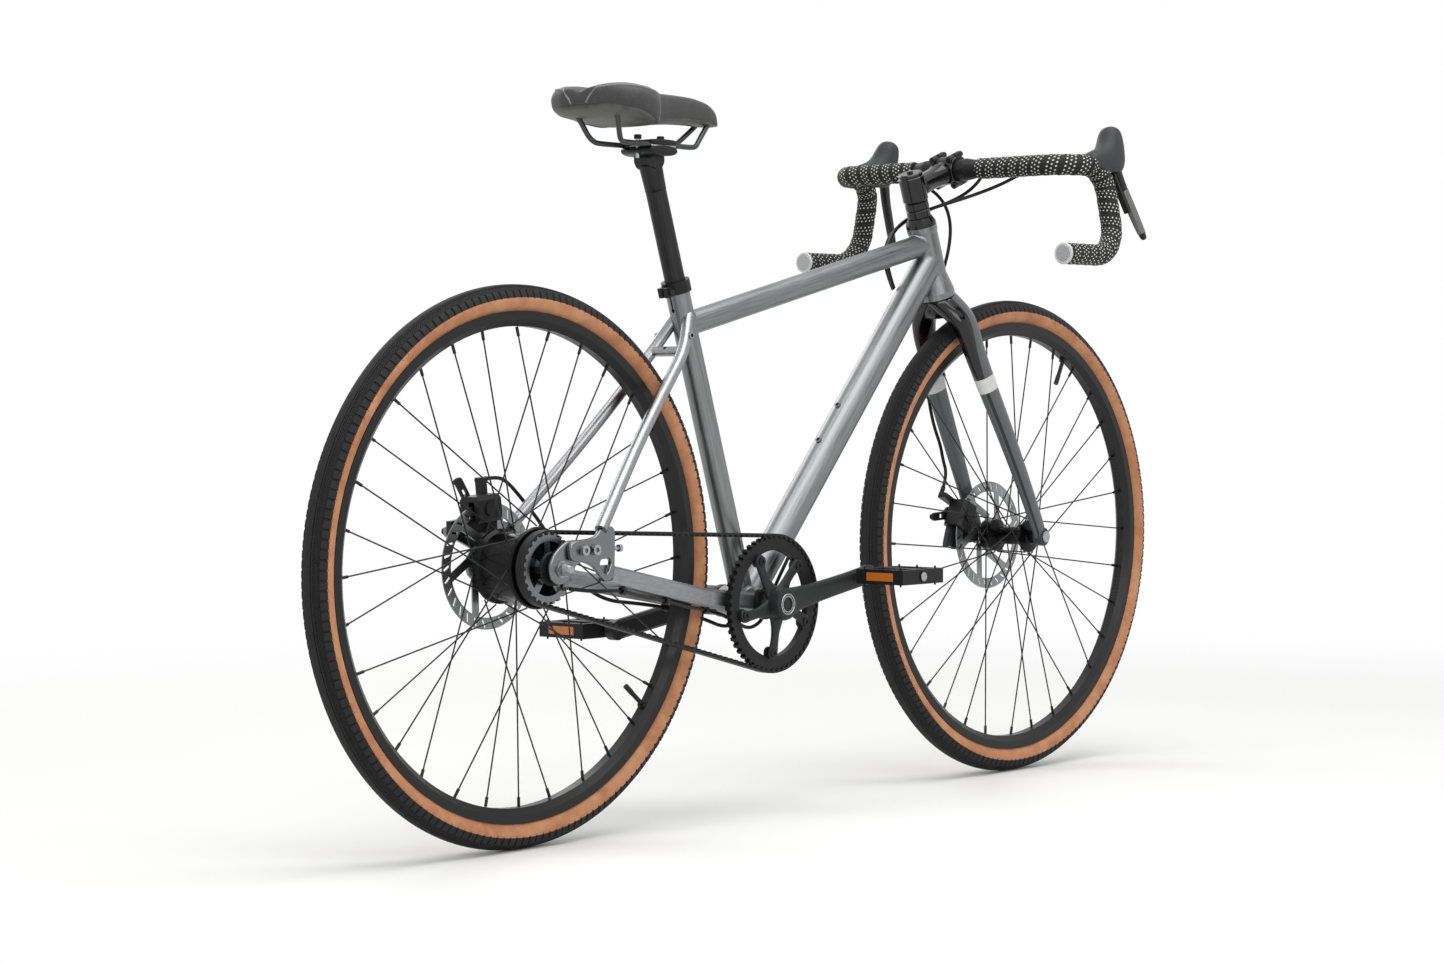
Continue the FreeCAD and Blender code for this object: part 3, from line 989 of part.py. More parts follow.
# Brake levers and the shift paddle
def lever_outline():
    boss, top, tip = S.lever_boss_radius, S.lever_top_depth, S.lever_tip_depth
    return [(-boss, 0), (boss, 0, 0, boss), (top * S.lever_root_share, -top),
            (S.lever_reach + tip / 2, -S.lever_drop + tip / 4,
             S.lever_reach * S.lever_bend_share + S.lever_bow,
             -S.lever_drop * S.lever_front_share),
            (S.lever_reach - tip / 2, -S.lever_drop - tip / 4, S.lever_reach + tip / 6,
             -S.lever_drop - tip / 3),
            (-top * S.lever_heel_share, -top, S.lever_reach * S.lever_bend_share - S.lever_bow / 2,
             -S.lever_drop * S.lever_back_share)]


lever_side = X_AXIS.cross(-drop_down)
lever_frame = Placement(pivot - lever_side * (S.lever_boss_width / 2),
                        Rotation(X_AXIS, -drop_down, lever_side, "ZXY"))
lever_blank = plate("lever_blank", lever_outline(), S.lever_boss_width, lever_frame)
lever_bore = cylinder("lever_bore", S.lever_pin_radius + S.running_gap, S.overrun,
                      pivot - drop_in * (S.overrun / 2), drop_in)
right_lever = cut("right_lever", lever_blank, lever_bore)
piece("left_brake_lever", mirrored("left_brake_lever", right_lever))
paddle_top = (pivot + drop_down * (S.lever_slot_radius + S.paddle_boss)
              - X_AXIS * (S.paddle_back + S.paddle_depth))
paddle_pin_length = S.paddle_back * 2 + S.paddle_depth
paddle_pin = cylinder("paddle_pin", S.lever_pin_radius * S.paddle_pin_share, paddle_pin_length, paddle_top,
                      X_AXIS)
piece("right_brake_lever",
      fuse("right_brake_lever", right_lever, cut("paddle_pin_clear", paddle_pin, lever_bore)))
lean_down = unit(drop_down * float(S.lever_drop) + X_AXIS * float(S.lever_reach))
lean_back = unit(drop_in.cross(lean_down))
lean_back = lean_back if lean_back.x < 0 else -lean_back
paddle_boss = cylinder("paddle_boss", S.paddle_boss, S.paddle_depth, paddle_top, X_AXIS)
paddle_blade = block("paddle_blade", S.paddle_depth, S.paddle_width, S.paddle_length, Placement(
    paddle_top + X_AXIS * (S.paddle_depth / 2) + lean_down * (S.paddle_length / 2),
    Rotation(-lean_back, drop_in, -lean_down, "ZYX")))
paddle_bore = cylinder("paddle_bore", S.lever_pin_radius * S.paddle_pin_share + S.running_gap, S.overrun,
                       paddle_top - X_AXIS * (S.overrun / 2), X_AXIS)
piece("shift_paddle", cut("shift_paddle", fuse("paddle_solid", paddle_boss, paddle_blade), paddle_bore))


# Wheels
def tyre_outline():
    bead, edge, crown = S.bead_radius, S.rim_edge_radius + S.skin_gap * 2, S.wheel_radius
    shoulder, half, wall = S.tyre_shoulder_radius, S.tyre_half_width, S.tyre_wall
    outer, inner = S.bead_half_width, S.bead_half_width - S.tyre_wall
    wall_radius = edge + (shoulder - edge) * S.tyre_wall_share
    bulge = outer + (half - outer) * S.tyre_bulge_share
    return [(bead, inner), (bead, outer), (edge, outer), (shoulder, half, wall_radius, bulge),
            (shoulder, -half, crown, 0), (edge, -outer, wall_radius, -bulge), (bead, -outer),
            (bead, -inner),
            (edge, -inner), (shoulder, wall - half, wall_radius, wall - bulge),
            (shoulder, half - wall, crown - S.tread_depth, 0), (edge, inner, wall_radius, bulge - wall)]


def rim_outline():
    edge, bed, nose = S.rim_edge_radius, S.rim_bed_radius, S.rim_nose_radius
    half, inside = S.rim_half_width, S.rim_half_width - S.rim_wall
    return [(edge, half), (edge, inside), (bed, inside), (bed, -inside), (edge, -inside), (edge, -half),
            (bed, -half), (nose, -S.rim_nose_half), (nose, S.rim_nose_half), (bed, half)]


def make_rotor(name, axle, rotor_y):
    """Brake disc: slotted track, leaning arms and the ring on the hub, with its lockring."""
    start = axle + Y_AXIS * float(rotor_y - S.rotor_thickness / 2)

    def disc(part, radius):
        return cylinder(f"{name}_{part}", radius, S.rotor_thickness, start, Y_AXIS)

    inner = S.rotor_radius - S.rotor_track
    solids = [cut(name + "_track", disc("outer", S.rotor_radius), disc("track_bore", inner)),
              cut(name + "_ring", disc("ring_outer", S.rotor_hub_radius),
                  disc("ring_bore", S.rotor_seat + S.skin_gap))]
    middle = (inner + S.rotor_hub_radius) / 2
    for number in range(int(S.rotor_arms)):
        angle = 360 / S.rotor_arms * number
        centre = axle + radial(angle) * float(middle) + Y_AXIS * float(rotor_y)
        solids.append(block(f"{name}_arm_{number}", (inner - S.rotor_hub_radius) * S.rotor_arm_share,
                            S.rotor_thickness,
                            S.rotor_arm_width,
                            Placement(centre, Rotation(Y_AXIS, -(angle + S.rotor_lean)))))
    slots = []
    for number in range(int(S.rotor_slot_count)):
        angle = 360 / S.rotor_slot_count * number
        centre = axle + radial(angle) * float(S.rotor_radius - S.rotor_track / 2) + Y_AXIS * float(rotor_y)
        slots.append(block(f"{name}_slot_{number}", S.rotor_slot_length, S.overrun / 6, S.rotor_slot_width,
                           Placement(centre, Rotation(Y_AXIS, -(angle + S.rotor_lean)))))
    clear = [disc("seat_clear", S.rotor_seat + S.skin_gap)]
    face = axle + Y_AXIS * float(rotor_y + S.rotor_thickness / 2 + S.skin_gap)
    lockring = turned(name + "_lockring", [
        (S.front_cap_radius + S.skin_gap, 0), (S.lockring_radius, 0), (S.lockring_radius, S.lockring_side),
        (S.lockring_face, S.lockring_height), (S.front_cap_radius + S.skin_gap, S.lockring_height)],
        along(face, Y_AXIS, X_AXIS))
    return group(name, cut(name + "_disc", fuse(name + "_blank", *solids), *slots, *clear), lockring)


def make_spokes(name, axle, flanges, cross):
    """Thirty-two crossed spokes with their nipples; each flange takes leading and trailing ones in turn."""
    spokes = []
    step = 180 / S.spoke_pairs
    for side, flange_y, flange_radius in flanges:
        for number in range(int(S.spoke_pairs) * 2):
            lead = 1 if number % 2 == 0 else -1
            hub_angle = step * number + (step / 2 if side > 0 else 0)
            rim_angle = hub_angle + lead * cross
            hub_y = side * flange_y + lead * S.spoke_offset
            rim_y = side * S.spoke_rim_y + lead * S.spoke_offset
            hub_end = (axle + radial(hub_angle) * float(flange_radius + S.skin_gap + S.spoke_radius)
                       + Y_AXIS * float(hub_y))
            rim_end = axle + radial(rim_angle) * float(S.spoke_seat_radius) + Y_AXIS * float(rim_y)
            heading = unit(rim_end - hub_end)
            label = f"{name}_{side + 1}_{number}"
            wire = cylinder(label + "_wire", S.spoke_radius, (rim_end - hub_end).Length, hub_end, heading)
            nipple = cylinder(label + "_nipple", S.nipple_radius, S.nipple_length,
                              rim_end - heading * float(S.nipple_length), heading)
            spokes.append(fuse(label, wire, nipple))
    return group(name, *spokes)


def make_valve(name, axle, angle):
    inward = -radial(float(angle))
    start = axle - inward * float(S.rim_nose_radius - S.skin_gap)
    stem = cylinder(name + "_stem", S.valve_radius, S.valve_length - S.valve_cap_length, start, inward)
    cap = cylinder(name + "_cap", S.valve_cap_radius, S.valve_cap_length,
                   start + inward * float(S.valve_length - S.valve_cap_length), inward)
    flange = cylinder(name + "_flange", S.valve_flange_radius, S.valve_cap_radius, start, inward)
    return fuse(name, stem, cap, flange)


front_bore, rear_bore = S.front_axle_radius + S.running_gap, S.rear_axle_radius + S.running_gap
front_seat_end = S.front_rotor_y + S.rotor_thickness / 2
half_flange = S.front_flange_width / 2
front_hub_outline = [
    (front_bore, -S.front_hub_half), (S.front_cap_radius, -S.front_hub_half),
    (S.front_cap_radius, -S.front_flange_right - half_flange * 3),
    (S.front_barrel_radius, -S.front_flange_right - half_flange * 2),
    (S.front_flange_radius, -S.front_flange_right - half_flange),
    (S.front_flange_radius, half_flange - S.front_flange_right),
    (S.front_barrel_radius, half_flange * 4 - S.front_flange_right),
    (S.front_barrel_radius, S.front_flange_left - half_flange * 4),
    (S.front_flange_radius, S.front_flange_left - half_flange),
    (S.front_flange_radius, S.front_flange_left + half_flange),
    (S.rotor_shoulder, S.front_flange_left + half_flange * 2),
    (S.rotor_shoulder, S.front_rotor_y - S.rotor_thickness / 2 - S.skin_gap),
    (S.rotor_seat, S.front_rotor_y - S.rotor_thickness / 2 - S.skin_gap), (S.rotor_seat, front_seat_end),
    (S.front_cap_radius, front_seat_end), (S.front_cap_radius, S.front_hub_half),
    (front_bore, S.front_hub_half)]
half_flange = S.hub_flange_width / 2
cover_out = S.hub_flange_right + S.hub_cover_width / 2
rear_seat_end = S.rear_rotor_y + S.rotor_thickness / 2
rear_hub_outline = [
    (rear_bore, -cover_out), (S.hub_neck_radius, -cover_out),
    (S.hub_cover_radius - half_flange, -cover_out),
    (S.hub_cover_radius, half_flange - cover_out), (S.hub_cover_radius, half_flange - S.hub_flange_right),
    (S.hub_barrel_radius, half_flange * 4 - S.hub_flange_right),
    (S.hub_barrel_radius, S.hub_flange_left - half_flange * 3),
    (S.hub_flange_radius, S.hub_flange_left - half_flange),
    (S.hub_flange_radius, S.hub_flange_left + half_flange),
    (S.hub_neck_radius, S.hub_flange_left + half_flange * 4),
    (S.rotor_shoulder, S.rear_rotor_y - S.hub_cover_width),
    (S.rotor_shoulder, S.rear_rotor_y - S.rotor_thickness / 2 - S.skin_gap),
    (S.rotor_seat, S.rear_rotor_y - S.rotor_thickness / 2 - S.skin_gap), (S.rotor_seat, rear_seat_end),
    (S.front_cap_radius, rear_seat_end), (S.front_cap_radius, S.hub_end), (rear_bore, S.hub_end)]
wheel_plans = (
    ("front", front_axle_point, front_hub_outline, S.front_rotor_y, S.front_cross, S.front_valve_angle,
     ((-1, S.front_flange_right, S.front_flange_radius), (1, S.front_flange_left, S.front_flange_radius))),
    ("rear", rear_axle_point, rear_hub_outline, S.rear_rotor_y, S.rear_cross, S.rear_valve_angle,
     ((-1, S.hub_flange_right, S.hub_cover_radius), (1, S.hub_flange_left, S.hub_flange_radius))))
for word, axle, hub_outline, rotor_y, cross, valve_angle, flanges in wheel_plans:
    wheel_frame = along(axle, Y_AXIS, X_AXIS)
    piece(word + "_tyre", turned(word + "_tyre", tyre_outline(), wheel_frame))
    rim = turned(word + "_rim_ring", rim_outline(), wheel_frame)
    piece(word + "_rim", group(word + "_rim", rim, make_valve(word + "_valve", axle, valve_angle)))
    piece(word + "_spokes", make_spokes(word + "_spokes", axle, flanges, cross))
    piece(word + "_hub", turned(word + "_hub", hub_outline, wheel_frame))
    piece(word + "_rotor", make_rotor(word + "_rotor", axle, rotor_y))
axle_rod = cylinder("front_axle_rod", S.front_axle_radius, S.front_axle_length,
                    front_axle_point - Y_AXIS * (S.front_axle_length / 2), Y_AXIS)
axle_heads = [cylinder(f"front_axle_head_{side + 1}", S.front_axle_head, S.front_axle_head_length,
                       front_axle_point
                       + Y_AXIS * float(side * (S.blade_foot_y + S.blade_foot_width / 2 + S.skin_gap)),
                       Y_AXIS * side)
              for side in (-1, 1)]
piece("front_axle", fuse("front_axle", axle_rod, *axle_heads))

# Belt drive
ring_pitch_radius = S.belt_pitch * S.ring_teeth / (2 * math.pi)
sprocket_pitch_radius = S.belt_pitch * S.sprocket_teeth / (2 * math.pi)
to_ring = bb_point - rear_axle_point
drive_angle = math.degrees(math.atan2(to_ring.z, to_ring.x))
wrap_lean = math.degrees(math.asin((ring_pitch_radius - sprocket_pitch_radius) / S.chainstay_length))
ring_wrap, sprocket_wrap = 90 + wrap_lean, 90 - wrap_lean
ring_arc = ring_pitch_radius * math.radians(ring_wrap)
sprocket_arc = sprocket_pitch_radius * math.radians(sprocket_wrap)
free_run = S.chainstay_length * math.cos(math.radians(wrap_lean))
belt_length = 2 * (float(ring_arc) + float(sprocket_arc) + float(free_run))
belt_teeth = round(belt_length / S.belt_pitch)


def belt_point(distance, depth):
    """Point on the loop: distance from the ring's front round over the top, and depth inside the pitch line."""
    distance = (distance + belt_length / 2) % belt_length - belt_length / 2
    over = 1 if distance >= 0 else -1
    rest = abs(distance)
    if rest <= ring_arc:
        angle = drive_angle + over * math.degrees(rest / ring_pitch_radius)
        return bb_point + radial(angle) * (ring_pitch_radius - depth)
    rest -= float(ring_arc)
    tangent_angle = drive_angle + over * ring_wrap
    if rest <= free_run:
        start = bb_point + radial(tangent_angle) * (ring_pitch_radius - depth)
        return start + radial(tangent_angle + over * 90) * rest
    rest -= float(free_run)
    angle = tangent_angle + over * math.degrees(rest / sprocket_pitch_radius)
    return rear_axle_point + radial(angle) * (sprocket_pitch_radius - depth)


def toothed_points(pitch_radius, teeth, phase, centre):
    """Outline of a belt wheel: lands between grooves that the belt's teeth drop into."""
    top = pitch_radius - S.belt_pitch_inset - S.tooth_gap
    root = top - S.belt_tooth_depth - S.tooth_gap
    mouth, floor = S.belt_tooth_base / 2 + S.tooth_gap, S.belt_tooth_tip / 2 + S.tooth_gap
    points = []
    for number in range(int(teeth)):
        angle = phase + 360 / teeth * number
        for radius, across in ((top, -mouth), (root, -floor), (root, floor), (top, mouth)):
            points.append(centre + radial(angle + math.degrees(across / radius)) * float(radius))
    return points


def prism(points, first_y, width):
    """Solid between two side planes from an outline round the drive's plane."""
    loop = [Vector(p.x, float(first_y), p.z) for p in points]
    return Part.Face(Part.makePolygon(loop + loop[:1])).extrude(Y_AXIS * float(width))


belt_base = S.belt_pitch_inset
belt_edge = -S.belt_plane - S.belt_width / 2
inner_loop = []
for number in range(belt_teeth):
    place = belt_length / belt_teeth * number
    for along_belt, depth in ((-S.belt_tooth_base / 2, belt_base),
                              (-S.belt_tooth_tip / 2, belt_base + S.belt_tooth_depth),
                              (S.belt_tooth_tip / 2, belt_base + S.belt_tooth_depth),
                              (S.belt_tooth_base / 2, belt_base)):
        inner_loop.append(belt_point(place + along_belt, depth))
outside = belt_base - S.belt_back
tangent_spots = [float(ring_arc), float(ring_arc + free_run)]
ring_top, sprocket_top = [belt_point(spot, outside) for spot in tangent_spots]
ring_foot, sprocket_foot = [belt_point(-spot, outside) for spot in tangent_spots]
outer_edges = [Part.Arc(ring_foot, belt_point(0, outside), ring_top).toShape(),
               Part.LineSegment(ring_top, sprocket_top).toShape(),
               Part.Arc(sprocket_top, belt_point(belt_length / 2, outside), sprocket_foot).toShape(),
               Part.LineSegment(sprocket_foot, ring_foot).toShape()]
outer_face = Part.Face(Part.Wire(outer_edges))
outer_face.translate(Y_AXIS * float(belt_edge))
belt_outside = shaped("belt_outside", outer_face.extrude(Y_AXIS * float(S.belt_width)))
belt_inside = shaped("belt_inside",
                     prism(inner_loop, belt_edge - S.skin_gap, S.belt_width + S.skin_gap * 2))
piece("drive_belt", cut("drive_belt", belt_outside, belt_inside))


def spider(name, centre, arms, first_angle, root, tip, width, first_y, thickness):
    """Arms round a centre, each a bar from the root radius to the tip radius."""
    bars = []
    for number in range(int(arms)):
        angle = first_angle + 360 / arms * number
        middle = centre + radial(angle) * float((root + tip) / 2) + Y_AXIS * float(first_y + thickness / 2)
        bars.append(block(f"{name}_{number}", tip - root, thickness, width,
                          Placement(middle, Rotation(Y_AXIS, -float(angle)))))
    return bars


def circle_points(centre, radius, first_angle, count):
    return [centre + radial(first_angle + 360 / count * k) * float(radius) for k in range(int(count))]


ring_start = -S.belt_plane - S.ring_width / 2
ring_blank = shaped("ring_blank",
                    prism(toothed_points(ring_pitch_radius, S.ring_teeth, drive_angle, bb_point),
                                        ring_start, S.ring_width))
ring_hole = cylinder("ring_hole", S.ring_inner_radius, S.ring_width, bb_point + Y_AXIS * float(ring_start),
                     Y_AXIS)
spider_angle = float(S.crank_angle) + 36
bolt_spots = circle_points(bb_point, S.ring_bolt_circle, spider_angle, S.sprocket_arms)
ring_tabs = [cylinder(f"ring_tab_{k}", S.ring_tab_radius, S.ring_width / 2, p + Y_AXIS * float(ring_start),
                      Y_AXIS)
             for k, p in enumerate(bolt_spots)]
spider_outer = ring_start - S.skin_gap - S.spider_thickness
ring_bolt_bores, spider_bores, ring_bolts = [], [], []
for number, spot in enumerate(bolt_spots):
    outer = spot + Y_AXIS * float(spider_outer - S.skin_gap)
    reach = S.spider_thickness + S.skin_gap * 2 + S.ring_width / 2
    for bores, word in ((ring_bolt_bores, "ring"), (spider_bores, "spider")):
        bores.append(cylinder(f"{word}_bolt_bore_{number}", S.ring_bolt_radius + S.skin_gap, S.overrun,
                              outer - Y_AXIS * float(S.overrun / 2), Y_AXIS))
    shank = cylinder(f"ring_bolt_shank_{number}", S.ring_bolt_radius, reach, outer, Y_AXIS)
    head = cylinder(f"ring_bolt_head_{number}", S.ring_bolt_head, S.ring_bolt_head_height, outer, -Y_AXIS)
    socket = cylinder(f"ring_bolt_socket_{number}", S.ring_bolt_socket, S.ring_bolt_radius, outer
                      - Y_AXIS * float(S.ring_bolt_head_height), Y_AXIS)
    ring_bolts.append(cut(f"ring_bolt_{number}", fuse(f"ring_bolt_solid_{number}", shank, head), socket))
belt_ring = cut("belt_wheel", fuse("belt_wheel_solid", cut("ring_band", ring_blank, ring_hole), *ring_tabs),
                *ring_bolt_bores)
piece("belt_ring", group("belt_ring", belt_ring, *ring_bolts))


# Cranks
def crank_bar(name, side, angle, root_plane):
    """Crank arm that bows outwards from the axle to the pedal, with its round ends."""
    out = radial(angle)
    up = Y_AXIS.cross(out)
    pedal_end = bb_point + out * float(S.crank_length)
    spots = [(bb_point, root_plane, S.crank_root_width),
             (bb_point + out * float(S.crank_length * S.crank_waist_at),
             root_plane + (S.crank_end_plane - root_plane) * S.crank_waist_out,
             S.crank_end_width * S.crank_waist_share),
             (pedal_end, S.crank_end_plane, S.crank_end_width)]
    wires = [section(spot + Y_AXIS * float(side * plane), Y_AXIS, up, S.crank_depth, width, S.crank_bevel)
             for spot, plane, width in spots]
    bar = shaped(name + "_bar", Part.makeLoft(wires, True, True))
    end = cylinder(name + "_end", S.crank_end_width / 2, S.crank_depth, pedal_end
                   + Y_AXIS * float(side * (S.crank_end_plane - S.crank_depth / 2)), Y_AXIS * side)
    axle_start = pedal_end + Y_AXIS * float(side * (S.crank_end_plane - S.crank_depth / 2 + S.crank_bevel))
    bore = cylinder(name + "_pedal_bore", S.pedal_axle_radius + S.skin_gap, S.overrun, axle_start,
                    Y_AXIS * side)
    axle = cylinder(name + "_pedal_axle", S.pedal_axle_radius, S.pedal_axle_length, axle_start,
                    Y_AXIS * side)
    return bar, end, bore, axle


boss_inner = S.bb_shell_width / 2 + S.bb_cup_width + S.body_gap
spindle_place = bb_point - Y_AXIS * float(S.crank_boss_face)
spindle_length = S.crank_boss_face + S.left_crank_plane + S.crank_depth
spindle_bore = cylinder("spindle_bore", S.spindle_bore, spindle_length, spindle_place, Y_AXIS)
spindle_rod = cylinder("spindle_rod", S.spindle_radius, spindle_length, spindle_place, Y_AXIS)
right_bar, right_end, right_bore, right_axle = crank_bar("right_crank", -1, float(S.crank_angle),
                                                         S.crank_plane)
right_boss = cylinder("right_crank_boss", S.crank_boss_radius, S.crank_boss_face - boss_inner,
                      spindle_place, Y_AXIS)
spider_bars = spider("spider_arm", bb_point, S.sprocket_arms, spider_angle, 0, S.ring_bolt_circle,
                     S.spider_arm_width, spider_outer, S.spider_thickness)
spider_ends = [cylinder(f"spider_end_{k}", S.ring_tab_radius, S.spider_thickness,
                        p + Y_AXIS * float(spider_outer), Y_AXIS)
               for k, p in enumerate(bolt_spots)]
spider_hub = cylinder("spider_hub", S.spider_arm_root, S.spider_thickness,
                      bb_point + Y_AXIS * float(spider_outer), Y_AXIS)
right_solid = fuse("right_crank_solid", right_bar, right_end, right_boss, spindle_rod, spider_hub,
                   *spider_bars, *spider_ends)
piece("right_crank",
      group("right_crank", cut("right_crank_arm", right_solid, spindle_bore, right_bore, *spider_bores),
            right_axle))
left_bar, left_end, left_bore, left_axle = crank_bar("left_crank", 1, float(S.crank_angle) + 180,
                                                     S.left_crank_plane)
left_boss = cylinder("left_crank_boss", S.crank_boss_radius,
                     S.left_crank_plane + S.crank_depth - boss_inner,
                     bb_point + Y_AXIS * float(boss_inner), Y_AXIS)
spindle_hole = cylinder("spindle_hole", S.spindle_radius + S.running_gap, S.overrun * 3,
                        bb_point, Y_AXIS)
piece("left_crank",
      group("left_crank", cut("left_crank_arm", fuse("left_crank_solid", left_bar, left_end, left_boss),
                                            spindle_hole, left_bore), left_axle))


# Pedals
def make_pedal(name, side, angle):
    centre = (bb_point + radial(angle) * float(S.crank_length)
              + Y_AXIS * float(side * (S.pedal_start + S.pedal_width / 2)))
    frame = Placement(centre, Rotation())
    start = centre - Y_AXIS * float(side * S.pedal_width / 2)
    body = block(name + "_body", S.pedal_length, S.pedal_width, S.pedal_height, frame)
    window = (S.pedal_length - S.pedal_rail * 2 - S.pedal_barrel_radius * 2) / 2
    windows, pins, lamps, pockets = [], [], [], []
    for end in (-1, 1):
        middle = centre + X_AXIS * float(end * (S.pedal_barrel_radius + window / 2))
        windows.append(block(f"{name}_window_{end + 1}", window, S.pedal_width - S.pedal_end * 2, S.overrun,
                             Placement(middle, Rotation())))
        face = centre + X_AXIS * float(end * S.pedal_length / 2)
        pocket_room = S.skin_gap * 2
        pockets.append(block(f"{name}_pocket_{end + 1}", (S.reflector_depth + S.skin_gap) * 2,
                             S.reflector_width + pocket_room,
                             S.reflector_height + pocket_room, Placement(face, Rotation())))
        lamps.append(block(f"{name}_reflector_{end + 1}", S.reflector_depth, S.reflector_width,
                           S.reflector_height,
                           Placement(face - X_AXIS * float(end * S.reflector_depth / 2), Rotation())))
        for across in (-1, 0, 1):
            for above in (-1, 1):
                foot = (face - X_AXIS * float(end * S.pedal_rail / 2)
                        + Y_AXIS * float(across * (S.pedal_width / 2 - S.pedal_end))
                        + Z_AXIS * float(above * (S.pedal_height / 2 - S.pin_height)))
                pins.append(cylinder(f"{name}_pin_{end + 1}_{across + 1}_{above + 1}", S.pin_radius,
                                     S.pin_height * 2,
                                     foot, Z_AXIS * above))
    bore = cylinder(name + "_bore", S.pedal_axle_radius + S.running_gap, S.pedal_width - S.pedal_end / 3,
                    start, Y_AXIS * side)
    cap = cylinder(name + "_cap", S.pedal_cap_radius, S.pedal_cap_height,
                   start + Y_AXIS * float(side * S.pedal_width), Y_AXIS * side)
    return group(name,
                 cut(name + "_frame", fuse(name + "_solid", body, cap, *pins), bore, *windows, *pockets),
                 *lamps)


piece("right_pedal", make_pedal("right_pedal", -1, float(S.crank_angle)))
piece("left_pedal", make_pedal("left_pedal", 1, float(S.crank_angle) + 180))

# Rear sprocket and the gear hub's cable pulley
sprocket_start = -S.belt_plane - S.sprocket_width / 2
sprocket_phase = drive_angle + 180 + 180 / S.sprocket_teeth
sprocket_blank = shaped("sprocket_blank", prism(
    toothed_points(sprocket_pitch_radius, S.sprocket_teeth, float(sprocket_phase), rear_axle_point),
    sprocket_start, S.sprocket_width))
sprocket_hole = cylinder("sprocket_hole", S.sprocket_inner_radius, S.sprocket_width,
                         rear_axle_point + Y_AXIS * float(sprocket_start), Y_AXIS)
sprocket_arms = spider("sprocket_arm", rear_axle_point, S.sprocket_arms, 18, 0,
                       S.sprocket_inner_radius + S.pin_height,
                       S.sprocket_arm_width, sprocket_start + S.sprocket_width / 4, S.sprocket_width / 2)
sprocket_boss_start = -S.pulley_near + S.body_gap * 2
sprocket_boss = cylinder("sprocket_boss", S.sprocket_boss_radius,
                         -cover_out - S.body_gap - sprocket_boss_start,
                         rear_axle_point + Y_AXIS * float(sprocket_boss_start), Y_AXIS)
sprocket_bore = cylinder("sprocket_bore", rear_bore, S.overrun * 2,
                         rear_axle_point - Y_AXIS * float(S.overrun * 2), Y_AXIS)
piece("rear_sprocket",
      cut("rear_sprocket", fuse("sprocket_solid", cut("sprocket_band", sprocket_blank, sprocket_hole),
                                                 sprocket_boss, *sprocket_arms), sprocket_bore))
pulley_start = rear_axle_point - Y_AXIS * float(S.pulley_near + S.pulley_width)
groove_depth = S.pulley_width / 4
pulley_disc = turned("pulley_disc", [
    (rear_bore, 0), (S.pulley_radius, 0), (S.pulley_radius, groove_depth),
    (S.pulley_radius - groove_depth, S.pulley_width / 2),
    (S.pulley_radius, S.pulley_width - groove_depth), (S.pulley_radius, S.pulley_width),
    (rear_bore, S.pulley_width)],
    along(pulley_start, Y_AXIS, X_AXIS))
pulley_lug = block("pulley_lug", S.pulley_arm, S.pulley_width, S.pulley_arm_width, Placement(
    pulley_start + Y_AXIS * float(S.pulley_width / 2) - X_AXIS * float(S.pulley_radius), Rotation()))
piece("gear_pulley", fuse("gear_pulley", pulley_disc, pulley_lug))


# Disc brakes
def inside(frame, x=0, y=0, z=0):
    """Placement at a point given in the frame's own directions."""
    return Placement(frame.multVec(Vector(float(x), float(y), float(z))), frame.Rotation)


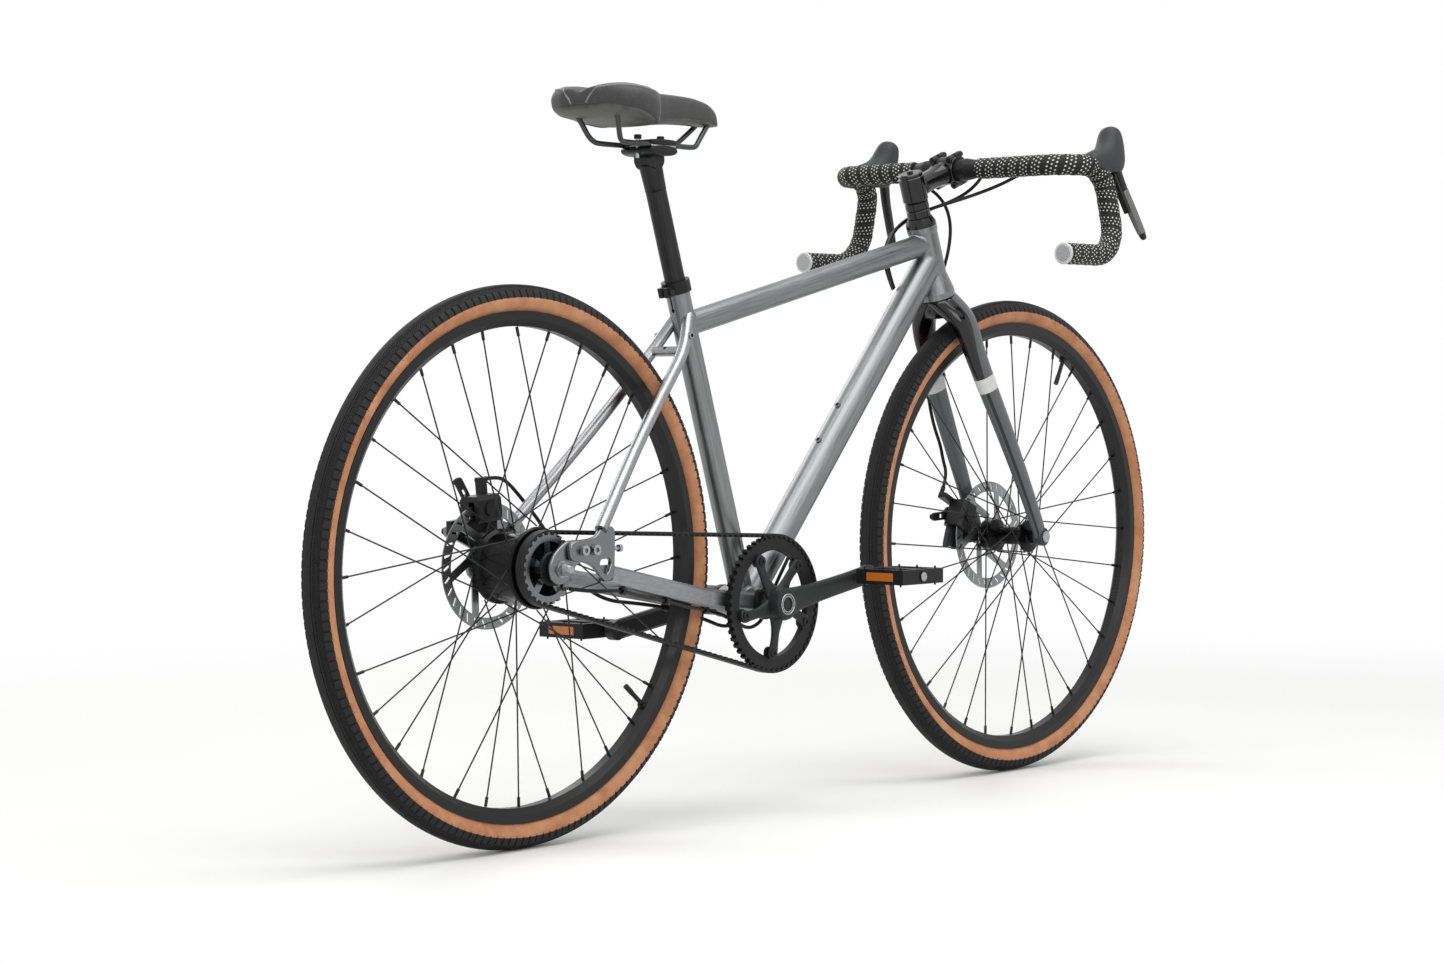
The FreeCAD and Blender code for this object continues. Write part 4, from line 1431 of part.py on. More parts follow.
def make_caliper(word, frame, mount_y, feet, span, shift):
    """Caliper body with its mounting ear, fixed pad, bolts, arm pin and cable stop."""
    name = word + "_caliper"
    turn = frame.Rotation
    ahead, outward = turn.multVec(X_AXIS), turn.multVec(Z_AXIS)
    side_y = (S.caliper_half_width - S.caliper_inboard) / 2
    side_z = (S.caliper_outer - S.caliper_inner) / 2
    wires = [section(inside(frame, end * S.caliper_length / 2, side_y, side_z).Base, Y_AXIS, outward,
                     S.caliper_half_width + S.caliper_inboard, S.caliper_outer + S.caliper_inner,
                     S.caliper_round)
             for end in (-1, 1)]
    shell = shaped(name + "_shell", Part.makeLoft(wires, True, True))
    ear_inner = max(S.caliper_slot, mount_y - S.caliper_foot_height)
    ear_width = mount_y - ear_inner
    ear_rise = S.caliper_foot_radius * 2 + S.caliper_bridge
    ear = block(name + "_ear", span + S.caliper_foot_radius * 2, ear_width, ear_rise,
                inside(frame, shift, ear_inner + ear_width / 2, foot_level + S.caliper_bridge / 2))
    knob = cylinder(name + "_knob", S.knob_radius, S.knob_height,
                    inside(frame, 0, -S.caliper_inboard, side_z).Base, -Y_AXIS)
    arm_room = S.arm_gap * 2 + S.arm_thickness
    pin = cylinder(name + "_arm_pin", S.arm_pin_radius, arm_room,
                   inside(frame, 0, S.caliper_half_width, S.arm_rise).Base, Y_AXIS)
    pin_head = cylinder(name + "_arm_pin_head", S.arm_pin_head, S.arm_pin_head_height,
                        inside(frame, 0, S.caliper_half_width + arm_room, S.arm_rise).Base, Y_AXIS)
    post_width = S.stop_post + arm_room
    post_y = S.caliper_half_width - S.stop_post + post_width / 2
    post = block(name + "_stop_post", S.stop_post, post_width, S.stop_rise - S.stop_radius,
                 inside(frame, S.stop_start + S.stop_post / 2, post_y, S.stop_rise / 2 + S.stop_seat))
    stop_y = S.caliper_half_width + S.arm_gap + S.arm_thickness / 2
    stop = cylinder(name + "_stop", S.stop_radius, S.stop_length + S.stop_post / 4,
                    inside(frame, S.stop_start, stop_y, S.stop_rise).Base, ahead)
    room = block(name + "_rotor_room", S.overrun * 2, S.caliper_slot * 2, S.overrun, inside(
        frame, 0, 0, S.caliper_outer - S.caliper_bridge - S.overrun / 2))
    bolts, bores = [], []
    for number, foot in enumerate(feet):
        seat = foot + Y_AXIS * float(mount_y + S.skin_gap + S.dropout_thickness + S.skin_gap)
        bores.append(cylinder(f"{name}_bore_{number}", S.foot_bolt_radius + S.skin_gap, S.overrun, seat,
                              -Y_AXIS))
        shank = cylinder(f"{name}_shank_{number}", S.foot_bolt_radius, S.foot_bolt_length, seat, -Y_AXIS)
        head = cylinder(f"{name}_head_{number}", S.foot_bolt_head, S.foot_bolt_head_height, seat, Y_AXIS)
        bolts.append(fuse(f"{name}_bolt_{number}", shank, head))
    pad_face = S.rotor_thickness / 2 + S.pad_clearance
    pad_depth = S.caliper_slot - S.skin_gap - pad_face
    fixed_pad = block(name + "_fixed_pad", S.pad_length, pad_depth, S.pad_height,
                      inside(frame, 0, -pad_face - pad_depth / 2))
    open_shell = cut(name + "_open_shell", shell, room)
    body = cut(name + "_body", fuse(name + "_solid", open_shell, ear, knob, pin, pin_head, post, stop),
               *bores)
    piece(name, group(name, body, fixed_pad, *bolts))
    piece(word + "_pad", block(word + "_pad", S.pad_length, S.pad_thickness, S.pad_height,
                               inside(frame, 0, pad_face + S.pad_thickness / 2)))
    arm_y = S.caliper_half_width + S.arm_gap
    lean = math.radians(S.arm_lean)
    reach = outward * math.cos(lean) - ahead * math.sin(lean)
    hinge = inside(frame, 0, arm_y, S.arm_rise).Base
    tip = hinge + reach * float(S.arm_length)
    boss = cylinder(word + "_arm_boss", S.arm_boss_radius, S.arm_thickness, hinge, Y_AXIS)
    end = cylinder(word + "_arm_end", S.arm_tip_radius, S.arm_thickness, tip, Y_AXIS)
    bar_middle = (hinge + tip) / 2 + Y_AXIS * float(S.arm_thickness / 2)
    bar = block(word + "_arm_bar", S.arm_tip_radius * 2, S.arm_thickness, S.arm_length,
                Placement(bar_middle, Rotation(Y_AXIS.cross(reach), Y_AXIS, reach, "ZYX")))
    anchor = cylinder(word + "_arm_anchor", S.arm_bar_radius, S.arm_thickness * 2, tip, Y_AXIS)
    hinge_bore = cylinder(word + "_arm_bore", S.arm_pin_radius + S.running_gap, S.overrun,
                          hinge - Y_AXIS * float(S.overrun / 2), Y_AXIS)
    window = block(word + "_arm_window", S.arm_tip_radius, S.overrun, S.arm_length / 4, Placement(
        hinge + reach * float(S.arm_length * S.arm_window_at),
        Rotation(Y_AXIS.cross(reach), Y_AXIS, reach, "ZYX")))
    piece(word + "_brake_arm",
          cut(word + "_brake_arm", fuse(word + "_arm_solid", boss, end, bar, anchor), hinge_bore, window))
    line_start = S.stop_start + S.stop_length + S.stop_post / 4 + S.line_clear
    return [inside(frame, line_start + run, stop_y, S.stop_rise).Base for run in (S.stop_lead, 0)]


rear_stop = make_caliper("rear", rear_caliper_place, dropout_inner - S.skin_gap - S.rear_rotor_y,
                         rear_foot_points, S.caliper_foot_span, 0)
front_stop = make_caliper("front", front_caliper_place, mount_face - S.skin_gap - S.front_rotor_y,
                          front_foot_points, S.front_foot_span, S.front_foot_shift)

# Seatpost with the barrel that the saddle clamp tilts on
barrel_centre = on_seat_axis(S.post_head_at + S.post_barrel_rise)
post_foot = on_seat_axis(S.post_head_at - S.post_length)
post_rod = cylinder("post_rod", S.post_radius, S.post_length, post_foot, seat_up)
post_bore = cylinder("post_bore", S.post_radius - S.post_wall, S.post_length - S.post_radius, post_foot,
                     seat_up)
post_barrel = cylinder("post_barrel", S.post_barrel_radius, S.post_head_width,
                       barrel_centre - Y_AXIS * float(S.post_head_width / 2), Y_AXIS)
piece("seatpost", fuse("seatpost", cut("post_tube", post_rod, post_bore), post_barrel))

# Saddle clamp: cradle below the rails, clamp plate above, two bolts
rail_height = Vector(barrel_centre.x, 0, barrel_centre.z + float(S.rail_rise))


def over_rail(x, y, z):
    return rail_height + Vector(float(x), float(y), float(z))


cradle_block = block("cradle_block", S.cradle_length, S.cradle_width, S.cradle_height, Placement(
    over_rail(0, 0, -S.rail_clear - S.cradle_height / 2), Rotation()))
barrel_room = cylinder("barrel_room", S.post_barrel_radius + S.body_gap, S.overrun * 2,
                       barrel_centre - Y_AXIS * float(S.overrun), Y_AXIS)
plate_block = block("clamp_block", S.clamp_plate_length, S.cradle_width, S.clamp_plate_height, Placement(
    over_rail(0, 0, S.rail_clear + S.clamp_plate_height / 2), Rotation()))
grooves = [cylinder(f"rail_groove_{side + 1}", S.rail_radius + S.rail_clear, S.overrun * 3,
                    over_rail(-S.overrun * 3 / 2, side * S.rail_half_gap, 0), X_AXIS) for side in (-1, 1)]
clamp_bolts, clamp_bores = [], []
for side in (-1, 1):
    top = over_rail(side * S.clamp_bolt_spread, 0, S.rail_clear + S.clamp_plate_height + S.skin_gap)
    clamp_bores.append(cylinder(f"clamp_bore_{side + 1}", S.clamp_bolt_radius + S.skin_gap, S.overrun * 2,
                                top - Z_AXIS * float(S.overrun), Z_AXIS))
    shank = cylinder(f"clamp_shank_{side + 1}", S.clamp_bolt_radius, S.clamp_bolt_length, top, -Z_AXIS)
    head = cylinder(f"clamp_head_{side + 1}", S.clamp_bolt_head, S.clamp_bolt_head_height, top, Z_AXIS)
    clamp_bolts.append(fuse(f"clamp_bolt_{side + 1}", shank, head))
piece("saddle_cradle", cut("saddle_cradle", cradle_block, barrel_room, *grooves, *clamp_bores))
piece("saddle_clamp",
      group("saddle_clamp", cut("clamp_plate", plate_block, *grooves, *clamp_bores), *clamp_bolts))

# Saddle: rails, base and padded cover
tail_x = -S.saddle_setback
nose_x = tail_x + S.saddle_length
rail_end_z = S.saddle_base_rise - S.rail_radius - S.rail_end_drop
rail_route = [over_rail(tail_x + S.rail_tail, -S.rail_tail_half, rail_end_z),
              over_rail(-S.rail_back, -S.rail_half_gap, 0),
              over_rail(S.rail_front, -S.rail_half_gap, 0),
              over_rail(nose_x - S.rail_nose, -S.rail_nose_half, rail_end_z)]
right_rail = shaped("right_rail",
                    swept(rounded_path(rail_route, [S.rail_bend, S.rail_bend]), S.rail_radius))
piece("saddle_rails", group("saddle_rails", right_rail, mirrored("left_rail", right_rail)))
base_shares = ((0.03, 0.5), (0.14, 0.78), (0.36, 0.66), (0.56, 0.3), (0.86, 0.18), (0.95, 0.12))
base_half = [(S.saddle_length * x, S.saddle_half_width * y) for x, y in base_shares]
base_outline = base_half + [(x, -y) for x, y in reversed(base_half)]
base_outline.reverse()
base_place = Placement(over_rail(tail_x, 0, S.saddle_base_rise), Rotation())
piece("saddle_base", plate("saddle_base", base_outline, S.saddle_base_height, base_place))
cover_floor = over_rail(tail_x, 0, S.saddle_base_rise + S.saddle_base_height + S.body_gap)
# share of the length, of the half width and of the height, then the channel's share of its depth
cover_shares = (
    (0.0, 0.5, 0.6, 0.9), (0.05, 0.78, 0.86, 1.1), (0.17, 1.0, 1.0, 1.1), (0.33, 0.9, 0.96, 1.0),
    (0.5, 0.56, 0.84, 0.85), (0.68, 0.35, 0.75, 0.6), (0.88, 0.28, 0.68, 0.3), (0.97, 0.22, 0.58, 0.15),
    (1.0, 0.14, 0.46, 0.1))


def cover_section(place, half, height, depth):
    """Closed outline across the cover: drawn-in sides, a crown each side and the channel between."""
    channel = half * S.cover_channel_share
    centre = cover_floor + X_AXIS * float(place)

    def at(y, z):
        return centre + Vector(0, float(y), float(z))

    foot, shoulder = half * S.cover_foot_share, half * S.cover_shoulder_share
    lip = height - depth * S.cover_lip_share
    side, rise, crest = height * S.cover_side_share, height * S.cover_rise_share, half * S.cover_crown_share
    edges = [Part.Arc(at(-foot, 0), at(-half, side), at(-shoulder, rise)),
             Part.Arc(at(-shoulder, rise), at(-crest, height), at(-channel, lip)),
             Part.Arc(at(-channel, lip), at(0, height - depth), at(channel, lip)),
             Part.Arc(at(channel, lip), at(crest, height), at(shoulder, rise)),
             Part.Arc(at(shoulder, rise), at(half, side), at(foot, 0)),
             Part.LineSegment(at(foot, 0), at(-foot, 0))]
    return Part.Wire([edge.toShape() for edge in edges])


cover_height = S.saddle_height
piece("saddle_cushion", shaped("saddle_cushion", Part.makeLoft([
    cover_section(S.saddle_length * x, S.saddle_half_width * w, cover_height * h,
                  S.saddle_channel_depth * d)
    for x, w, h, d in cover_shares], True, False)))


# Gear and brake lines, each a hand-chosen route
def make_line(name, points):
    path = rounded_path([Vector(*point) for point in points])
    radii = [edge.Curve.Radius for edge in path.Edges if isinstance(edge.Curve, Part.Circle)]
    print(f"{name}: length {path.Length:.0f} mm, smallest bend radius {min(radii):.0f} mm")
    return shaped(name, swept(path, S.line_radius))


def near_bar(*offsets):
    """Points of a line beside the bar, as forward, left and upward offsets from the bar's centre."""
    return [bar_centre + Vector(*(float(n) for n in offset)) for offset in offsets]


ferrule_end = ferrule_start + ferrule_out * float(S.ferrule_length + S.line_clear)
gear_loop = make_line("gear_loop", [ferrule_end] + near_bar(
    (54.28, -138, 11), (42.28, -105, -5), (28.28, -72, -23), (2.28, -38, -39), (-28.72, -4, -53),
    (-48.72, 25, -65), (-78.72, 34, -84), (-98.72, 34, -110), (-107.72, 28, -135), (-108.72, 21.5, -157),
    (-102.22, 20, -172)))
rear_brake_loop = make_line("rear_brake_loop", near_bar(
    (3.28, -55, -14.8), (16.28, -34, -26), (6.28, -8, -43), (-23.72, 17, -57), (-51.72, 37, -73),
    (-82.72, 44, -95), (-99.72, 40, -123), (-102.72, 33, -150), (-95.72, 26.5, -174)))
piece("steering_loops", group("steering_loops", gear_loop, rear_brake_loop))
blade_run = [on_steerer(*spot) for spot in (
    (325, 29, 58), (280, 13, 59.5), (235, 8, 61.3), (190, 9, 63.6), (156, 18, 66))]
front_line = make_line("front_line", near_bar(
    (3.28, 55, -14.8), (21.28, 43, -25), (30.28, 26, -47), (25.28, 13, -77), (17.28, 10, -109),
    (12.28, 16, -141), (14.28, 33, -171), (21.28, 50, -201)) + blade_run + [(446, 65.5, 464)] + front_stop)
piece("front_brake_line", front_line)
stay_low = float(S.chainstay_height / 2 + S.line_radius + S.line_clear)
stay_front = bb_point + Vector(-S.chainstay_bend_x, -S.chainstay_bend_y, S.chainstay_bend_rise)
stay_tail = from_axle(rear_axle_point, S.chainstay_tail_back, -S.chainstay_tail_drop, -dropout_mid)


def under_stay(share, sag, side):
    spot = stay_front + (stay_tail - stay_front) * share
    return (spot.x, spot.y * -side, spot.z - stay_low - sag)


def from_down_tube(side):
    """Route from the exit in the down tube, below the bottom bracket, to the chainstay's underside."""
    offsets = ((96, 12, 76), (70, 13, 45), (43, 14, 10), (21, 17, -25), (-13, 20, -36), (-49, 27, -22),
               (-83, 31.5, -11))
    return [bb_point + Vector(forward, side * left, up) for forward, left, up in offsets]


def near_rear_axle(*offsets):
    """Points of a line as forward, left and upward offsets from the rear axle's centre."""
    return [rear_axle_point + Vector(*offset) for offset in offsets]


gear_frame_line = make_line("gear_frame_line", from_down_tube(-1) + [
    under_stay(0.02, 0, -1), under_stay(0.2, 2, -1), under_stay(0.4, 0, -1), under_stay(0.6, 2, -1),
    under_stay(0.8, 0.5, -1)] + near_rear_axle((84, -71.5, -31), (56, -66, -30), (29, -61, -26)))
brake_frame_line = make_line("brake_frame_line", from_down_tube(1) + [
    under_stay(0.02, 0, 1), under_stay(0.2, 1, 1)] + near_rear_axle(
        (224, 58, -56), (188, 68.5, -34), (156, 75, 4), (124, 79, 48), (95, 84.5, 80), (66, 81, 102)) + rear_stop)
piece("frame_lines", group("frame_lines", gear_frame_line, brake_frame_line))
clips = []
stay_heading = unit(stay_tail - stay_front)
left_chainstay = mirrored("left_chainstay_outside", chainstay_outside)
for number, (share, sag, side) in enumerate(((0.02, 0, -1), (0.4, 0, -1), (0.8, 0.5, -1), (0.02, 0, 1))):
    spot = Vector(*under_stay(share, sag, side))
    heading = Vector(stay_heading.x, -side * stay_heading.y, stay_heading.z)
    start = spot - heading * float(S.clip_width / 2)
    outside_tube = cylinder(f"clip_outside_{number}", S.line_radius + S.clip_wall, S.clip_width, start,
                            heading)
    inside_tube = cylinder(f"clip_inside_{number}", S.line_radius + S.clip_gap, S.clip_width, start,
                           heading)
    stay = chainstay_outside if side < 0 else left_chainstay
    clips.append(cut(f"clip_{number}", outside_tube, inside_tube, stay))
piece("line_clips", group("line_clips", *clips))

# Every piece is checked and then written under its own name
doc.recompute()
for obj in doc.Objects:
    if "Invalid" in obj.State or "Error" in obj.State:
        raise ValueError(f"{obj.Label} did not recompute")
for label, obj in pieces.items():
    if obj.Shape.isNull() or not obj.Shape.isValid():
        raise ValueError(f"{label} has no valid shape")
os.makedirs("parts", exist_ok=True)
for label, obj in pieces.items():
    obj.Shape.exportStep(f"parts/{label}.step")
print(len(pieces), "pieces written")
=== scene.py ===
import math

import bmesh
import bpy
import numpy as np
from mathutils import Matrix, Vector


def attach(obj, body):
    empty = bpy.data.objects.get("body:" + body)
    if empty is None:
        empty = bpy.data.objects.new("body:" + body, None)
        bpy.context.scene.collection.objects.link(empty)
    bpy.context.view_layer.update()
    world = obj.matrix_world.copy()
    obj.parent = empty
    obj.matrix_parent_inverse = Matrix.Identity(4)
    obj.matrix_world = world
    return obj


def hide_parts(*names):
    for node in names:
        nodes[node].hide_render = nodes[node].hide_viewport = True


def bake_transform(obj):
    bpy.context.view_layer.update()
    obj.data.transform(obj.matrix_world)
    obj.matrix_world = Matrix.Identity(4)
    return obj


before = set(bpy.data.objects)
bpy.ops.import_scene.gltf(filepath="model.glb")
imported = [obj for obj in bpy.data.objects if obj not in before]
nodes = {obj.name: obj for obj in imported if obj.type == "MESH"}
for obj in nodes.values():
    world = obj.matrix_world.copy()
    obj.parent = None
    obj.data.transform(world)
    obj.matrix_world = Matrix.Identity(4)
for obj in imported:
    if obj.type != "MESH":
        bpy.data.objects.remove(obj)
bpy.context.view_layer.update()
scene = bpy.context.scene
mm = 0.001
ahead, leftward, upward = np.eye(3)  # X forwards, Y to the rider's left, Z up
twoSides = (("right", -1), ("left", 1))
mirrors = (("right", 1), ("left", -1))  # for shapes drawn on the right

# main points of the bicycle in millimetres, and its angles in degrees
layout = {name: np.array(place, float) for name, place in dict(
    rearAxle=(-524, 0, 350), frontAxle=(524, 0, 350), bracket=(-91, 0, 284), steerFoot=(477.02, 0, 332.9),
    barCentre=(369.72, 0, 885), barCorner=(369.72, -209, 885), seatJoint=(-209.61, 0, 653.43),
    headTopJoint=(315.24, 0, 777.37), headDownJoint=(324.13, 0, 752.94)).items()}
angles = dict(head=70, seat=72.2, flare=10.4)


def leaning(degrees):
    turn = math.radians(degrees)
    return np.array([-math.cos(turn), 0, math.sin(turn)])


steerUp, seatUp = leaning(angles["head"]), leaning(angles["seat"])
steerAhead = np.array([steerUp[2], 0, -steerUp[0]])
flare = math.radians(angles["flare"])
dropDown = np.array([0, -math.sin(flare), -math.cos(flare)])
dropIn = np.array([0, -dropDown[2], dropDown[1]])


scaled = np.multiply.outer  # a direction times each number of a list


def onSteerer(height, lead=0, side=0):
    # points up the steerer's line, ahead of it and beside it
    return layout["steerFoot"] + scaled(height, steerUp) + scaled(lead, steerAhead) + scaled(side, leftward)


def onDrop(reach, drop, inward):
    # points in the right drop's own plane, from the bar's corner
    return layout["barCorner"] + scaled(reach, ahead) + scaled(drop, dropDown) + scaled(inward, dropIn)


def unit(vectors):
    return vectors / np.maximum(np.linalg.norm(vectors, axis=-1, keepdims=True), 1e-6)


def linear(hexText):
    # sRGB hex to linear RGBA
    parts = [int(hexText[i:i + 2], 16) / 255 for i in (1, 3, 5)]
    return tuple(c / 12.92 if c < 0.04045 else ((c + 0.055) / 1.055) ** 2.4 for c in parts) + (1.0,)


def feed(tree, node, values):
    # links each input that is given another node's output, and sets every other property or input
    for key, value in values.items():
        if isinstance(value, bpy.types.NodeSocket):
            tree.links.new(value, node.inputs[key])
        elif isinstance(key, str) and hasattr(node, key):
            setattr(node, key, value)
        else:
            node.inputs[key].default_value = value
    return node


def put(tree, kind, values=None):
    return feed(tree, tree.nodes.new(kind), values or {})


def maths(tree, operation, *terms):
    # one sum; each term is a number or another node's output
    return put(tree, "ShaderNodeMath", {"operation": operation, **dict(enumerate(terms))}).outputs[0]


def ranged(tree, value, low=0.0, high=1.0, toLow=0.0, toHigh=1.0):
    # a value carried from one range to another
    return put(tree, "ShaderNodeMapRange", {"Value": value, "From Min": low, "From Max": high,
                                            "To Min": toLow, "To Max": toHigh}).outputs[0]


def between(tree, share, low, high):
    # a colour between two tones, each a hex text or another node's colour
    low, high = (linear(tone) if isinstance(tone, str) else tone for tone in (low, high))
    return put(tree, "ShaderNodeMix", {"data_type": "RGBA", 0: share, 6: low, 7: high}).outputs[2]


def bumped(tree, height, strength, depth, invert=False):
    # a shallow relief, its depth in metres
    return put(tree, "ShaderNodeBump", {"invert": invert, "Strength": strength, "Distance": depth,
                                        "Height": height}).outputs["Normal"]


def objectPlace(tree, size, centre=(0, 0, 0), turn=(0, 0, 0)):
    # Object coordinates counted in a size in millimetres, from a centre and along turned axes
    coord = put(tree, "ShaderNodeTexCoord")
    return put(tree, "ShaderNodeMapping", {
        "vector_type": "TEXTURE", "Location": tuple(np.array(centre) * mm), "Rotation": tuple(turn),
        "Scale": tuple(np.broadcast_to(size, 3) * mm), "Vector": coord.outputs["Object"]}).outputs[0]


def objectNoise(tree, scale, detail, rough=0.5):
    coord = put(tree, "ShaderNodeTexCoord")
    return put(tree, "ShaderNodeTexNoise", {"Scale": scale, "Detail": detail, "Roughness": rough,
                                            "Vector": coord.outputs["Object"]}).outputs["Fac"]


def uvParts(tree):
    # the two parts of the mesh's own UV map
    uvMap = put(tree, "ShaderNodeUVMap", {"uv_map": "UVMap"})
    return put(tree, "ShaderNodeSeparateXYZ", {0: uvMap.outputs[0]}).outputs[:2]


def newFinish(name, colour, rough, metal=0.0, shine=0.5, coat=0.0):
    material = bpy.data.materials.new(name)
    material.use_nodes = True
    tree = material.node_tree
    shader = feed(tree, tree.nodes["Principled BSDF"], {
        "Base Color": linear(colour), "Roughness": rough, "Metallic": metal, "Specular IOR Level": shine,
        "Coat Weight": coat})
    return material, tree, shader


def mottle(tree, shader, place, tones, rough, bump, depth=0.0002, detail=4.0, scale=1.0, height=None):
    # one noise drives the colour between two tones, the roughness between two values, and a shallow bump
    noise = put(tree, "ShaderNodeTexNoise", {"Scale": scale, "Detail": detail, "Roughness": 0.6,
                                             "Vector": place}).outputs["Fac"]
    spread = ranged(tree, noise, 0.3, 0.7)
    feed(tree, shader, {
        "Base Color": between(tree, spread, *tones), "Roughness": ranged(tree, spread, 0, 1, *rough),
        "Normal": bumped(tree, noise if height is None else height, bump, depth)})


def grained(name, low, high, roughLow, roughHigh, grain, bump=0.1, depth=0.0002, **values):
    # an even grain, its size in millimetres, over Object coordinates
    material, tree, shader = newFinish(name, low, roughLow, **values)
    mottle(tree, shader, objectPlace(tree, grain), (low, high), (roughLow, roughHigh), bump, depth)
    return material


def brushed(name, along, low, high, roughLow=0.3, roughHigh=0.46, length=70, width=2.4):
    # raw metal sanded along one direction: streaks some 70 mm long, drawn 2.4 mm wide so that they show
    material, tree, shader = newFinish(name, low, roughLow, metal=1.0)
    turn = Vector(ahead).rotation_difference(Vector(along)).to_euler()
    place = objectPlace(tree, (length, width, width), turn=turn)
    mottle(tree, shader, place, (low, high), (roughLow, roughHigh), 0.05, detail=6.0)
    return material


def turnedMetal(name, centre, low, high, roughLow, roughHigh, spacing, **values):
    # turned or ground metal: fine rings about an axle, spacing in millimetres
    material, tree, shader = newFinish(name, low, roughLow, **values)
    rings = put(tree, "ShaderNodeTexWave", {
        "wave_type": "RINGS", "rings_direction": "Y", "Scale": 0.3, "Distortion": 1.5, "Detail": 2.0,
        "Vector": objectPlace(tree, spacing, centre)}).outputs["Fac"]
    feed(tree, shader, {"Base Color": between(tree, rings, low, high),
                        "Roughness": ranged(tree, rings, 0, 1, roughLow, roughHigh)})
    return material


def gridMesh(name, points, wrapU=False, wrapV=False, caps=False, uv=None, sharp=None, kinds=None):
    # a grid of points in millimetres becomes quads; caps fan each end ring to its middle; uv is per grid corner
    points = np.asarray(points, float) * mm
    countU, countV = points.shape[:2]
    verts = points.reshape(-1, 3)
    spanU, spanV = countU - (not wrapU), countV - (not wrapV)
    rows, cols = (part.ravel() for part in np.meshgrid(np.arange(spanU), np.arange(spanV), indexing="ij"))
    corners = np.stack([np.stack([rows + i, cols + j], 1) for i, j in ((0, 0), (1, 0), (1, 1), (0, 1))], 1)
    quads = corners[..., 0] % countU * countV + corners[..., 1] % countV
    fans = np.zeros((0, 3), int)
    if caps:
        ring = np.arange(countV)
        after = (ring + 1) % countV
        verts = np.concatenate([verts, points[0].mean(0)[None], points[-1].mean(0)[None]])
        first, last = np.full(countV, len(verts) - 2), np.full(countV, len(verts) - 1)
        base = (countU - 1) * countV
        fans = np.concatenate([np.stack([first, ring, after], 1), np.stack([last, base + after, base + ring], 1)])
    faces = np.concatenate([quads[:, [0, 1, 2]], quads[:, [0, 2, 3]], fans])
    a, b, c = verts[faces[:, 0]], verts[faces[:, 1]], verts[faces[:, 2]]
    if np.einsum("ij,ij->", a, np.cross(b, c)) < 0:  # a negative volume: the faces look inwards
        quads, corners, fans = quads[:, ::-1], corners[:, ::-1], fans[:, ::-1]
    mesh = bpy.data.meshes.new(name)
    mesh.from_pydata(verts.tolist(), [], quads.tolist() + fans.tolist(), shade_flat=False)
    if kinds is not None:
        mesh.polygons.foreach_set("material_index", np.tile(kinds, spanU).astype(np.int32))
    if uv is not None:
        flat = np.zeros((quads.size + fans.size, 2))
        flat[:quads.size] = uv[corners[..., 0].ravel(), corners[..., 1].ravel()]
        mesh.uv_layers.new(name="UVMap").data.foreach_set("uv", flat.ravel())
    if sharp:
        mesh.set_sharp_from_angle(angle=math.radians(sharp))
    return mesh


def addPiece(name, mesh, finishes, body, slot, stands=()):
    piece = bpy.data.objects.new(name, mesh)
    scene.collection.objects.link(piece)
    for finish in finishes if isinstance(finishes, (list, tuple)) else [finishes]:
        mesh.materials.append(finish)
    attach(piece, body)
    if stands:
        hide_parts(*stands)
    return piece


def addTube(name, grid, finish, body, slot, stands=(), **look):
    # a skin of closed rings, capped at both ends
    return addPiece(name, gridMesh(name, grid, wrapV=True, caps=True, **look), finish, body, slot, stands)


def addTurned(name, profile, axle, count, finish, body, slot, sharp=None):
    # a closed section of (radius, side) turned about an axle: angle runs first, section second
    angle = np.linspace(0, 2 * np.pi, count, endpoint=False)[:, None]
    radius, side = np.array(profile, float).T
    grid = axle + np.stack(np.broadcast_arrays(radius * np.cos(angle), side, radius * np.sin(angle)), -1)
    addPiece(name, gridMesh(name, grid, wrapU=True, wrapV=True, sharp=sharp), finish, body, slot)


def addRod(name, start, end, radius, finish, body, slot, around=20, bevel=0.4, stands=()):
    # a round rod with a small bevel on both ends
    heading = unit(np.array(end, float) - start)
    across = unit(np.cross(heading, [0.3, 0.5, 0.81]))
    stations = np.array([start, start + heading * bevel, end - heading * bevel, end])
    size = np.array([radius - bevel, radius, radius, radius - bevel])
    grid = carried(stations, across, np.cross(heading, across), roundedOutline(size, size, 2, around))
    addTube(name, grid, finish, body, slot, stands, sharp=35)


def flowing(keys, values, at):
    # cubic curve through the key values, with slopes from their neighbours
    keys, values, at = np.asarray(keys, float), np.asarray(values, float), np.asarray(at, float)
    slopes = np.gradient(values, keys, axis=0)
    k = np.clip(np.searchsorted(keys, at, "right") - 1, 0, len(keys) - 2)
    span = keys[k + 1] - keys[k]
    t = (at - keys[k]) / span
    if values.ndim > 1:
        t, span = t[:, None], span[:, None]
    return ((2 * t ** 3 - 3 * t ** 2 + 1) * values[k] + (t ** 3 - 2 * t ** 2 + t) * span * slopes[k]
            + (3 * t ** 2 - 2 * t ** 3) * values[k + 1] + (t ** 3 - t ** 2) * span * slopes[k + 1])


def evenly(values, at):
    # the same curve with its key values spread evenly from 0 to 1
    return flowing(np.linspace(0, 1, len(values)), values, at)


def smoothLoop(values, count):
    # closed cubic curve through the listed values, evenly by index
    values = np.asarray(values, float)
    keys = np.arange(-3, len(values) + 3)
    return flowing(keys, values[keys % len(values)], np.linspace(0, len(values), count, endpoint=False))


def carried(centres, across, up, outline):
    # a flat outline of (across, up) carried along a path, with its own two directions at each station
    outline = np.broadcast_to(outline, (len(centres),) + np.shape(outline)[-2:])
    return (centres[:, None] + outline[..., :1] * np.asarray(across)[..., None, :]
            + outline[..., 1:] * np.asarray(up)[..., None, :])


